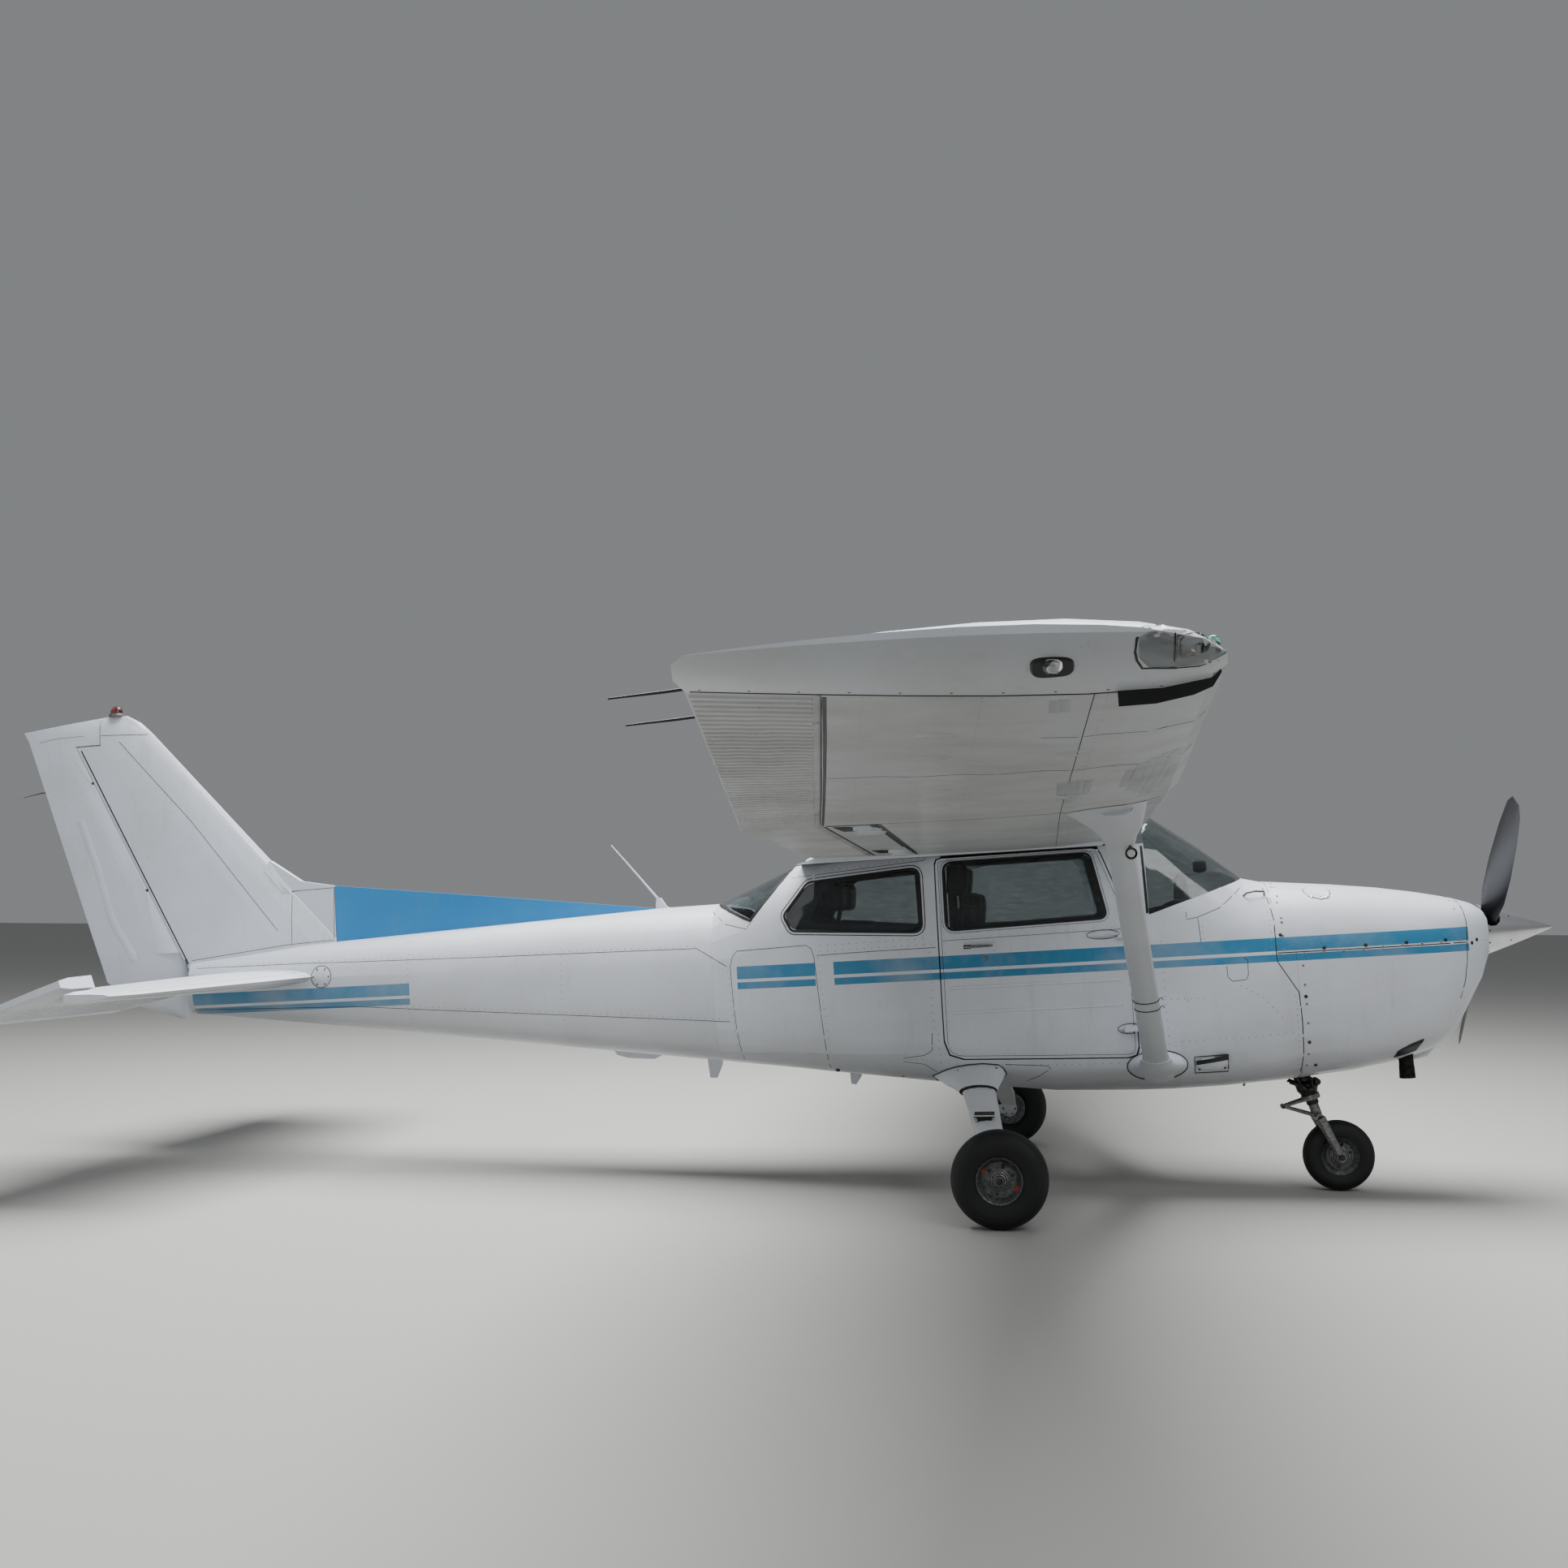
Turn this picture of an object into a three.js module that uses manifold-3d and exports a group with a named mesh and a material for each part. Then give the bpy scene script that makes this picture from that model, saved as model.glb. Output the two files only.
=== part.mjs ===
// Light aircraft: a four-seat high-wing single with strut-braced wings and fixed tricycle gear.
// Millimetres. Body axes: x forward from the firewall datum, y to port, z up, y = 0 at the centre.
// The finished body is turned nose-up about the main axle, as it stands on its three wheels.

import * as THREE from 'three';
import { mergeVertices } from 'three/addons/utils/BufferGeometryUtils.js';
import Module from 'manifold-3d';

const wasm = await Module();
wasm.setup();

// Driving dimensions

const STANCE = THREE.MathUtils.degToRad(3.7);
const SEAM = 0.4;
const SWING_GAP = 6;
const WALL = 40;
const GLASS = 6;
const GLASS_INSET = 3;
const FLOOR_TOP = 585;
const SIDE_TOP = 1668;
const REAR_FRAME_X = -2880;
const WING_ROOT_Y = 546;
const WING_BREAK_Y = 2540;
const WING_TIP_Y = 5283;
const CONTROL_GAP = 7;
const FLAP_GAP = 10;
const SPINNER_AXIS_Z = 1143;
const PROPELLER_X = 958;
const PROPELLER_RADIUS = 951;
const PROPELLER_TURN = THREE.MathUtils.degToRad(50.5);
const MAIN_AXLE = { x: -1478, y: 1276, z: 216, radius: 15 };
const PIVOT_Z = 213;
const NOSE_AXLE_X = 166;
const NOSE_AXLE_RADIUS = 12;
const NOSE_STRUT = { x: 40, z: 413, top: 560, foot: 372, rake: THREE.MathUtils.degToRad(15) };
const MAIN_TYRE = { radius: 216, half: 78, bead: 98, beadHalf: 58 };
const NOSE_TYRE = { radius: 173, half: 60, bead: 86, beadHalf: 44 };
const DOOR_HINGE = { x: -790, y: 562, depth: 46, heights: [785, 1235] };
const HOLD_HINGE = { x: -2412, y: 516, depth: 54, heights: [860, 1180] };
const FLAP = { x: -2035, y0: 604, y1: 2533 };
const AILERON = { x0: -2035, y0: 2547, x1: -1665, y1: 5274 };
const RUDDER = { x0: -5984, z0: 1400, x1: -6614, z1: 2657, hornX: -6425, hornZ: 2612 };
const ELEVATOR = { x: -5860, tube: 16, droop: -17, hornX: -5630, hornY: 1450, sweep: 98 };
const TRIM_TAB = { y0: -1290, y1: -330, chord: 92 };
const END_GAP = 6;
const WHEEL_SIDES = 24;
const HORN_GAP = 8;
const COWL_REAR_X = -115.5;
const COWL_WALL = 14;
const COWL_SPLIT_Z = 1108;
const COWL_FRONT_X = 900;
const EXHAUST = { x: 478, y: -250, radius: 35, bottom: 462 };
const ENGINE = { x0: 90, x1: 690, half: 372, z0: 800, z1: 1222 };
const BEACON = { x: -6330, z: 2768.4 };
const TAIL_WALL = 8;
const TAIL_SKIN = 6;
const VENT_RADIUS = 8;

// Cross-sections of the fuselage, front to back.
const FUSELAGE = [
  // x, bottom z, widest z, top z, half width, lower power, upper power
  [-30, 478, 1040, 1441, 508, 4.0, 3.2],
  [-120, 472, 1040, 1450, 513, 4.2, 3.2],
  [-220, 468, 1050, 1475, 518, 4.5, 3.2],
  [-420, 460, 1080, 1645, 527, 5.0, 3.4],
  [-640, 456, 1100, 1806, 536, 5.0, 4.0],
  [-800, 458, 1100, 1820, 541, 5.0, 5.0],
  [-1200, 474, 1100, 1820, 546, 5.0, 5.0],
  [-1720, 532, 1100, 1800, 544, 4.6, 5.0],
  [-2330, 612, 1110, 1735, 512, 4.2, 4.2],
  [-2500, 635, 1110, 1655, 487, 4.0, 3.6],
  [-2880, 682, 1110, 1500, 425, 3.6, 3.0],
  [-3230, 725, 1120, 1497, 378, 3.4, 2.8],
  [-4330, 868, 1165, 1452, 262, 3.0, 2.5],
  [-5240, 985, 1205, 1415, 168, 2.8, 2.3],
  [-5900, 1065, 1215, 1362, 92, 2.6, 2.2],
];

// Cross-sections of the engine cowling, back to front.
const COWLING = [
  // x, bottom z, widest z, top z, half width, lower power, upper power
  [COWL_REAR_X, 472.3, 1040, 1449.6, 512.8, 4.19, 3.2],
  [-30, 478, 1040, 1441, 508, 4.0, 3.2],
  [230, 504, 1060, 1414, 500, 4.0, 3.2],
  [450, 540, 1080, 1385, 484, 3.8, 3.1],
  [600, 582, 1090, 1358, 462, 3.6, 3.0],
  [697, 625, 1105, 1336, 436, 3.4, 3.0],
  [777, 750, 1120, 1316, 400, 3.2, 3.0],
  [860, 885, 1130, 1288, 340, 3.0, 3.0],
  [900, 985, 1135, 1262, 285, 3.0, 3.0],
];

// Wing sections, root to tip rib.
const WING = [
  // y, leading edge x, trailing edge x, quarter chord z, incidence in degrees, thickness share
  [WING_ROOT_Y, -690, -2320, 1746, 2.2, 1],
  [WING_BREAK_Y, -690, -2320, 1811, 2.2, 1],
  [WING_TIP_Y, -812, -1937, 1900, -1.7, 1],
];
const WING_TIP = [
  [WING_TIP_Y + SEAM, -812, -1937, 1900, -1.7, 1],
  [5390, -824, -1938, 1909, -1.7, 0.86],
  [5465, -872, -1925, 1928, -1.7, 0.55],
  [5500, -960, -1890, 1945, -1.7, 0.16],
];

// Fin and tailplane sections of a symmetric profile.
const FIN = [
  // z, leading edge x, trailing edge x, half thickness
  [1320, -4918, -6449, 60],
  [2660, -6117, -6873, 30],
  [2722, -6182, -6906, 23],
  [2768, -6262, -6928, 9],
];
const RUDDER_FOOT = [
  [1045, -5930, -5995, 12],
  [1136, -5934, -6272, 20],
  [1269, -5940, -6432, 26],
  [1420, -5975, -6479, 30],
];
const TAILPLANE = [
  // y, leading edge x, trailing edge x, half thickness
  [0, -5115, -6330, 52],
  [1640, -5305, -6250, 27],
  [1722, -5400, -6215, 16],
];
const TAILPLANE_Z = 1240;

// Materials: colour, roughness, metalness.
const PAINTS = {
  white: [0xd8dbdf, 0.38, 0.05],
  cabin: [0x8d8478, 0.8, 0],
  blue: [0x3f93cb, 0.4, 0.05],
  dull: [0xb9bab8, 0.55, 0.05],
  glass: [0x2b3236, 0.08, 0],
  rubber: [0x232425, 0.85, 0],
  alloy: [0xa4a7aa, 0.45, 0.7],
  polished: [0xc9ccd0, 0.22, 0.9],
  blade: [0x2b2d31, 0.45, 0.1],
  steel: [0x5b5d60, 0.5, 0.6],
  trim: [0x2a2c2e, 0.75, 0],
};

// Geometry helpers

function solidOf(geometry) {
  const bare = geometry.index ? geometry.clone() : mergeVertices(geometry);
  bare.deleteAttribute('normal');
  bare.deleteAttribute('uv');
  const welded = mergeVertices(bare, 1e-3);
  const [corners, order] = [welded.attributes.position.array, Array.from(welded.index.array)];
  const point = (index) => new THREE.Vector3().fromArray(corners, 3 * index);
  let volume = 0;
  for (let i = 0; i < order.length; i += 3) {
    volume += point(order[i]).dot(point(order[i + 1]).cross(point(order[i + 2])));
  }
  return new wasm.Manifold(new wasm.Mesh({
    numProp: 3,
    vertProperties: new Float32Array(corners),
    triVerts: new Uint32Array(volume < 0 ? order.reverse() : order),
  }));
}

function geometryOf(solid) {
  const mesh = solid.getMesh();
  const geometry = new THREE.BufferGeometry();
  geometry.setAttribute('position', new THREE.BufferAttribute(mesh.vertProperties, 3));
  geometry.setIndex(new THREE.BufferAttribute(mesh.triVerts, 1));
  geometry.computeVertexNormals();
  return geometry;
}

function join(...solids) {
  return solids.reduce((whole, next) => whole.add(next));
}

function cut(solid, ...tools) {
  return tools.reduce((rest, tool) => rest.subtract(tool), solid);
}

// Faces that close a ring, laid out in the plane of its two widest extents, in the ring's order.
function capOf(ring) {
  const size = new THREE.Box3().setFromPoints(ring).getSize(new THREE.Vector3());
  const axes = ['x', 'y', 'z'].sort((a, b) => size[b] - size[a]).slice(0, 2);
  const flat = ring.map((point) => new THREE.Vector2(point[axes[0]], point[axes[1]]));
  const forward = THREE.ShapeUtils.area(flat) > 0;
  return THREE.ShapeUtils.triangulateShape(flat, []).map(([a, b, c]) => {
    const { x, y } = flat[b].clone().sub(flat[a]);
    const across = flat[c].clone().sub(flat[a]);
    const positive = x * across.y - y * across.x > 0;
    return positive === forward ? [a, b, c] : [a, c, b];
  });
}

// Skin over rings of equal point count, closed at both ends.
function loft(rings) {
  const count = rings[0].length;
  const points = rings.flat();
  const faces = [];
  for (let r = 0; r < rings.length - 1; r += 1) {
    for (let k = 0; k < count; k += 1) {
      const next = (k + 1) % count;
      const low = r * count;
      const high = low + count;
      faces.push([low + k, low + next, high + next], [low + k, high + next, high + k]);
    }
  }
  // The wall runs along each first ring edge from k to k + 1, so its cap runs back.
  const last = (rings.length - 1) * count;
  capOf(rings[0]).forEach(([a, b, c]) => faces.push([c, b, a]));
  capOf(rings.at(-1)).forEach((face) => faces.push(face.map((index) => index + last)));
  const geometry = new THREE.BufferGeometry().setFromPoints(points);
  geometry.setIndex(faces.flat());
  return solidOf(geometry);
}

function box([x0, x1], [y0, y1], [z0, z1]) {
  const geometry = new THREE.BoxGeometry(x1 - x0, y1 - y0, z1 - z0);
  return solidOf(geometry.translate((x0 + x1) / 2, (y0 + y1) / 2, (z0 + z1) / 2));
}

// Round bar between two points.
function bar(from, to, radius, endRadius = radius, sides = 8) {
  const start = new THREE.Vector3(...from);
  const end = new THREE.Vector3(...to);
  const along = end.clone().sub(start);
  const geometry = new THREE.CylinderGeometry(endRadius, radius, along.length(), sides);
  const turn = new THREE.Quaternion().setFromUnitVectors(new THREE.Vector3(0, 1, 0),
    along.clone().normalize());
  geometry.applyQuaternion(turn);
  const middle = start.add(end).multiplyScalar(0.5);
  return solidOf(geometry.translate(middle.x, middle.y, middle.z));
}

// Outline with rounded corners; each point may carry its own radius as a third value.
function outline(points, radius = 0, steps = 2) {
  const corners = points.map(([x, y, own]) => ({ at: new THREE.Vector2(x, y), r: own ?? radius }));
  const path = [];
  corners.forEach(({ at, r }, i) => {
    if (r <= 0) {
      path.push(at);
      return;
    }
    const before = corners.at(i - 1).at;
    const after = corners[(i + 1) % corners.length].at;
    const from = at.clone().add(before.clone().sub(at).setLength(r));
    const to = at.clone().add(after.clone().sub(at).setLength(r));
    path.push(...new THREE.QuadraticBezierCurve(from, at, to).getPoints(steps));
  });
  return new THREE.Shape(path);
}

// Side-view outline (x, z) carried across from y0 to y1.
function sidePrism(shape, y0, y1) {
  const geometry = new THREE.ExtrudeGeometry(shape, { depth: y1 - y0, bevelEnabled: false });
  return solidOf(geometry.rotateX(Math.PI / 2).translate(0, y1, 0));
}

// Convex outline moved outward by a distance, keeping each corner's own radius.
function grown(points, distance) {
  const centre = points.reduce((sum, [x, z]) => [sum[0] + x, sum[1] + z], [0, 0])
    .map((value) => value / points.length);
  const edges = points.map(([x, z], i) => {
    const [nextX, nextZ] = points[(i + 1) % points.length];
    const normal = new THREE.Vector2(nextZ - z, x - nextX).normalize();
    const outward = normal.dot(new THREE.Vector2(x - centre[0], z - centre[1])) > 0 ? 1 : -1;
    normal.multiplyScalar(outward);
    return { normal, reach: normal.x * x + normal.y * z + distance };
  });
  return points.map(([, , own], i) => {
    const { normal: a, reach: p } = edges.at(i - 1);
    const { normal: b, reach: q } = edges[i];
    const span = a.x * b.y - a.y * b.x;
    return [(p * b.y - q * a.y) / span, (a.x * q - b.x * p) / span, own];
  });
}

// Ring of a fuselage section: half ellipses of a chosen power above and below the widest line.
function hullRing([x, bottom, widest, top, width, lower, upper], inset, count = 26) {
  return Array.from({ length: count }, (_, k) => {
    const turn = (2 * Math.PI * (k + 0.5)) / count;
    const across = Math.cos(turn);
    const rise = Math.sin(turn);
    const power = 2 / (rise > 0 ? upper : lower);
    const height = rise > 0 ? top - inset - widest : widest - bottom - inset;
    const y = (width - inset) * Math.sign(across) * Math.abs(across) ** power;
    const z = widest + height * Math.sign(rise) * Math.abs(rise) ** power;
    return new THREE.Vector3(x, y, z);
  });
}

function hull(table, inset = 0) {
  return loft(table.map((row) => hullRing(row, inset)));
}

// Cambered profile of 12 % thickness, from the trailing edge over the top and back underneath.
const CAMBER = 0.02;
const CAMBER_AT = 0.4;
const PROFILE_STEPS = 9;
const EDGE_HALF = 2.5;

function meanLine(share) {
  if (share < CAMBER_AT) {
    return (CAMBER / CAMBER_AT ** 2) * (2 * CAMBER_AT * share - share ** 2);
  }
  return (CAMBER / (1 - CAMBER_AT) ** 2) * (1 - 2 * CAMBER_AT + 2 * CAMBER_AT * share - share ** 2);
}

function halfThickness(share) {
  return 0.6 * (0.2969 * Math.sqrt(share) - 0.126 * share - 0.3516 * share ** 2
    + 0.2843 * share ** 3 - 0.1036 * share ** 4);
}

function shares() {
  return Array.from({ length: PROFILE_STEPS + 1 },
    (_, k) => (1 - Math.cos((Math.PI * k) / PROFILE_STEPS)) / 2);
}

function wingPoint([y, lead, trail, quarterZ, incidence, thick], share, side) {
  const chord = lead - trail;
  const tilt = THREE.MathUtils.degToRad(incidence);
  const fromQuarter = (0.25 - share) * chord;
  const half = halfThickness(share) * chord * thick + EDGE_HALF * share * thick;
  const rise = meanLine(share) * chord + side * half;
  const quarterX = lead - 0.25 * chord;
  return new THREE.Vector3(
    quarterX + fromQuarter * Math.cos(tilt) - rise * Math.sin(tilt),
    y,
    quarterZ + fromQuarter * Math.sin(tilt) + rise * Math.cos(tilt),
  );
}

function wingRing(row) {
  const steps = shares();
  const top = steps.slice().reverse().map((share) => wingPoint(row, share, 1));
  const below = steps.slice(1).map((share) => wingPoint(row, share, -1));
  return [...top, ...below];
}

// Wing section values at any span position.
function wingRow(y) {
  const outer = Math.max(1, WING.findIndex((row) => row[0] >= y));
  const [a, b] = [WING[outer - 1], WING[outer]];
  const share = (y - a[0]) / (b[0] - a[0]);
  return a.map((value, i) => value + share * (b[i] - value));
}

// Hinge point on the wing's mean line at a span position, with the profile's half height there.
function wingHinge(y, x) {
  const row = wingRow(y);
  const share = (row[1] - x) / (row[1] - row[2]);
  const above = wingPoint(row, share, 1);
  const below = wingPoint(row, share, -1);
  return { at: [x, y, (above.z + below.z) / 2], radius: (above.z - below.z) / 2 };
}

function mirrored(solid) {
  return solid.mirror([0, 1, 0]);
}

// Control surfaces: the part of a wing, fin or tailplane behind a hinge line, with a round nose.

const NOSE_STEPS = 6;
const MASK_REACH = 900;
const MASK_HEIGHT = 130;

// Ring of a mask at one hinge point; up is the direction of the surface's thickness.
function maskRing({ at, radius }, up, gap) {
  const hinge = new THREE.Vector3(...at);
  const aft = new THREE.Vector3(-1, 0, 0);
  const place = (back, height) => hinge.clone().addScaledVector(aft, back).addScaledVector(up, height);
  const nose = Array.from({ length: NOSE_STEPS + 1 }, (_, k) => {
    const turn = Math.PI * (0.5 - k / NOSE_STEPS);
    return place(-(radius + gap) * Math.cos(turn), (radius + gap) * Math.sin(turn));
  });
  return [place(0, MASK_HEIGHT), ...nose, place(0, -MASK_HEIGHT), place(MASK_REACH, -MASK_HEIGHT),
    place(MASK_REACH, MASK_HEIGHT)];
}

function mask(inner, outer, up, gap = 0) {
  return loft([maskRing(inner, up, gap), maskRing(outer, up, gap)]);
}

// Hinge bracket on a hinge line: fixed web with a round end, slot and pin stubs on the moving side.
const RIB_HALF = 24;
const RIB_RADIUS = 62;
const BRACKET = { half: 4, slotHalf: 9, web: 9, boss: 10, clear: 16, pin: 5 };

function bracket(inner, outer, share, webReach = 30) {
  const start = new THREE.Vector3(...inner.at);
  const end = new THREE.Vector3(...outer.at);
  const centre = start.clone().lerp(end, share);
  const along = end.clone().sub(start).normalize();
  const forward = new THREE.Vector3(1, 0, 0);
  forward.addScaledVector(along, -forward.dot(along)).normalize();
  const side = new THREE.Vector3().crossVectors(forward, along);
  const radius = inner.radius + share * (outer.radius - inner.radius);
  const place = new THREE.Matrix4().makeBasis(forward, along, side).setPosition(centre);
  const block = (lengths, offsets) => solidOf(new THREE.BoxGeometry(...lengths)
    .translate(...offsets).applyMatrix4(place));
  const round = (r, length, offset) => solidOf(new THREE.CylinderGeometry(r, r, length, 8)
    .translate(0, offset, 0).applyMatrix4(place));
  const { half, slotHalf, web, boss, clear, pin } = BRACKET;
  const reach = radius + webReach;
  const stub = slotHalf + 8 - (half + SEAM);
  const stubAt = half + SEAM + stub / 2;
  return {
    fixed: join(block([reach, 2 * half, 2 * web], [reach / 2, 0, 0]), round(boss, 2 * half, 0)),
    slot: join(block([radius + 20, 2 * slotHalf, 2 * radius + 24], [(radius + 20) / 2, 0, 0]),
      round(clear, 2 * slotHalf, 0)),
    stubs: join(round(pin, stub, stubAt), round(pin, stub, -stubAt)),
  };
}

// Splits a solid into the fixed part and the surface behind its hinge line. A core hollows both,
// leaving them solid at the brackets and open into the hinge gap through a vent.
function hinged(whole, inner, outer, up, gap, endGap, brackets, core) {
  const span = new THREE.Vector3(...outer.at).sub(new THREE.Vector3(...inner.at));
  const step = span.clone().setLength(endGap);
  const moved = (point, sign) => ({
    at: new THREE.Vector3(...point.at).addScaledVector(step, sign).toArray(),
    radius: point.radius,
  });
  let surface = whole.intersect(mask(inner, outer, up));
  let fixed = whole.subtract(mask(moved(inner, -1), moved(outer, 1), up, gap));
  if (core) {
    const at = (share) => new THREE.Vector3(...inner.at).lerp(new THREE.Vector3(...outer.at), share);
    const rib = span.clone().setLength(RIB_HALF);
    const ribs = brackets.map((share) => bar(at(share).sub(rib), at(share).add(rib), RIB_RADIUS,
      RIB_RADIUS, 16));
    const room = cut(core, ...ribs);
    const vent = bar(at(0.5).add(new THREE.Vector3(-RIB_RADIUS, 0, 0)),
      at(0.5).add(new THREE.Vector3(2 * RIB_RADIUS, 0, 0)), VENT_RADIUS);
    fixed = cut(fixed, room.subtract(mask(inner, outer, up, gap + TAIL_SKIN)), vent);
    surface = cut(surface, room.intersect(mask(inner, outer, up, -TAIL_SKIN)), vent);
  }
  for (const share of brackets) {
    const parts = bracket(inner, outer, share, gap + 22);
    surface = join(surface.subtract(parts.slot), parts.stubs);
    fixed = fixed.add(parts.fixed);
  }
  return { fixed, surface };
}

// External strap hinge with an upright pin; side is 1 to port, -1 to starboard.
function strapHinge({ x, y, heights, depth }, side) {
  const knuckle = 7;
  const leaf = 5;
  const strap = (length, z0, z1) => box(length > 0 ? [x, x + length] : [x + length, x - 12],
    side > 0 ? [y - depth, y - leaf] : [-y + leaf, -y + depth], [z0, z1]);
  const neck = (length, z0, z1) => box(length > 0 ? [x, x + length] : [x + length, x],
    side > 0 ? [y - leaf - 1, y + 2] : [-y - 2, -y + leaf + 1], [z0, z1]);
  const pin = (z0, z1) => bar([x, side * y, z0], [x, side * y, z1], knuckle);
  const moving = [];
  const fixed = [];
  for (const z of heights) {
    moving.push(pin(z - 14, z + 14), neck(-70, z - 14, z + 14), strap(-70, z - 14, z + 14));
    for (const [z0, z1] of [[z - 28, z - 14 - SEAM], [z + 14 + SEAM, z + 28]]) {
      fixed.push(pin(z0, z1), neck(34, z0, z1), strap(34, z0, z1));
    }
  }
  return { moving: join(...moving), fixed: join(...fixed) };
}

// Cabin outlines in side view (x, z, corner radius).
const DOOR_OUTLINE = [[-800, 645, 50], [-800, 1300, 40], [-925, 1658, 30], [-1716, 1654, 30],
  [-1724, 676, 90]];
const DOOR_WINDOW = [[-907, 1322, 30], [-970, 1632, 30], [-1674, 1628, 40], [-1677, 1304, 40]];
const REAR_SIDE_WINDOW = [[-1802, 1303, 40], [-1802, 1613, 40], [-2362, 1574, 45],
  [-2490, 1420, 30], [-2452, 1345, 30]];
const HOLD_DOOR_OUTLINE = [[-2425, 780, 40], [-2425, 1270, 40], [-2800, 1270, 40], [-2800, 800, 40]];
const WINDSHIELD_REGION = [[-60, 1522], [-705, 1322], [-705, 1950], [-60, 1950]];
const REAR_WINDOW_REGION = [[-2400, 1722], [-2670, 1410], [-2862, 1500], [-2862, 1900],
  [-2400, 1900]];
const HALF_SPACE = 900;

function region(points, side) {
  const [y0, y1] = side > 0 ? [SEAM / 2, HALF_SPACE] : [-HALF_SPACE, -SEAM / 2];
  return sidePrism(outline(points), side ? y0 : -HALF_SPACE, side ? y1 : HALF_SPACE);
}

// Skin of glass that follows the hull inside an outline.
function pane(points, side) {
  const skin = hull(FUSELAGE, GLASS_INSET).subtract(hull(FUSELAGE, GLASS_INSET + GLASS));
  return skin.intersect(region(points, side));
}

function cabin() {
  const outer = hull(FUSELAGE);
  const inside = hull(FUSELAGE, WALL)
    .intersect(box([REAR_FRAME_X, 100], [-HALF_SPACE, HALF_SPACE], [FLOOR_TOP, 2000]));
  const shell = outer.subtract(inside);
  const roofProfile = wingRing([0, -690, -2320, 1746, 2.2, 1]);
  const shift = (y) => roofProfile.map((point) => point.clone().setY(y));
  const roofWing = loft([shift(-WING_ROOT_Y + SEAM), shift(WING_ROOT_Y - SEAM)]);
  const header = sidePrism(outline([[-905, SIDE_TOP + SEAM], [-840, 1710], [-2250, 1712],
    [-2405, SIDE_TOP + SEAM]]), -WING_ROOT_Y + SEAM, WING_ROOT_Y - SEAM);
  const rearDeck = outer.intersect(region([[-2280, SIDE_TOP + SEAM], [-2280, 1900],
    [-2400 + SEAM, 1900], [-2400 + SEAM, SIDE_TOP + SEAM]], 0));
  const headroom = sidePrism(outline([[-760, 1600], [-760, 1716], [-900, 1742], [-1500, 1750],
    [-2150, 1716], [-2150, 1600]]), -450, 450);
  const behindWindow = sidePrism(outline([[-2405, 1640], [-2150, 1640], [-2150, 1690],
    [-2405, 1668]]), -400, 400);
  const roof = cut(join(roofWing, header, rearDeck), headroom, behindWindow,
    region(grown(REAR_WINDOW_REGION, SEAM), 0).intersect(box([-2600, -2400],
      [-HALF_SPACE, HALF_SPACE], [1400, 1900])));

  const openings = join(
    region(grown(DOOR_OUTLINE, SWING_GAP), 0),
    region(WINDSHIELD_REGION, 0),
  );
  const forward = shell.intersect(region([[-30 - SEAM, 300], [-800, 300], [-800, 1300],
    [-925, SIDE_TOP], [COWL_REAR_X - SEAM, SIDE_TOP], [COWL_REAR_X - SEAM, COWL_SPLIT_Z - SEAM / 2],
    [-30 - SEAM, COWL_SPLIT_Z - SEAM / 2]], 0)).subtract(openings);
  const floor = shell.intersect(region([[-800 - SEAM, 300], [-800 - SEAM, 700], [-1735, 700],
    [REAR_FRAME_X + SEAM, 745], [REAR_FRAME_X + SEAM, 300]], 0)).subtract(openings);
  const sides = {};
  const doors = {};
  for (const side of [1, -1]) {
    const hinge = strapHinge(DOOR_HINGE, side);
    doors[side] = shell.intersect(sidePrism(outline(DOOR_OUTLINE), side > 0 ? 300 : -HALF_SPACE,
      side > 0 ? HALF_SPACE : -300)).subtract(region(DOOR_WINDOW, side));
    doors[side] = doors[side].subtract(sidePrism(outline(DOOR_WINDOW), -HALF_SPACE, HALF_SPACE));
    doors[side] = doors[side].add(hinge.moving);
    sides[side] = cut(shell.intersect(region([[-1690, 700 + SEAM], [-1735, 700 + SEAM],
      [REAR_FRAME_X + SEAM, 745 + SEAM], [REAR_FRAME_X + SEAM, SIDE_TOP], [-1690, SIDE_TOP]], side)),
    openings, sidePrism(outline(REAR_SIDE_WINDOW), -HALF_SPACE, HALF_SPACE),
    region(REAR_WINDOW_REGION, 0));
  }
  const hold = strapHinge(HOLD_HINGE, 1);
  const holdCut = sidePrism(outline(grown(HOLD_DOOR_OUTLINE, SWING_GAP)), 200, HALF_SPACE);
  const holdDoor = shell.intersect(sidePrism(outline(HOLD_DOOR_OUTLINE), 200, HALF_SPACE));
  sides[1] = join(sides[1].subtract(holdCut), hold.fixed);
  const fixedHinges = join(strapHinge(DOOR_HINGE, 1).fixed, strapHinge(DOOR_HINGE, -1).fixed);
  const glassTrim = (points) => grown(points, -SEAM);
  return {
    outer,
    roof,
    forward: forward.add(fixedHinges),
    floor,
    sides,
    doors,
    holdDoor: holdDoor.add(hold.moving),
    windshield: pane(glassTrim(WINDSHIELD_REGION), 0).subtract(roof.translate([0, 0, SEAM]))
      .subtract(roof.translate([SEAM, 0, 0])).subtract(roof),
    rearWindow: pane(glassTrim(REAR_WINDOW_REGION), 0),
    doorGlass: (side) => pane(glassTrim(DOOR_WINDOW), side),
    sideGlass: (side) => pane(glassTrim(REAR_SIDE_WINDOW), side),
  };
}

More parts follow.
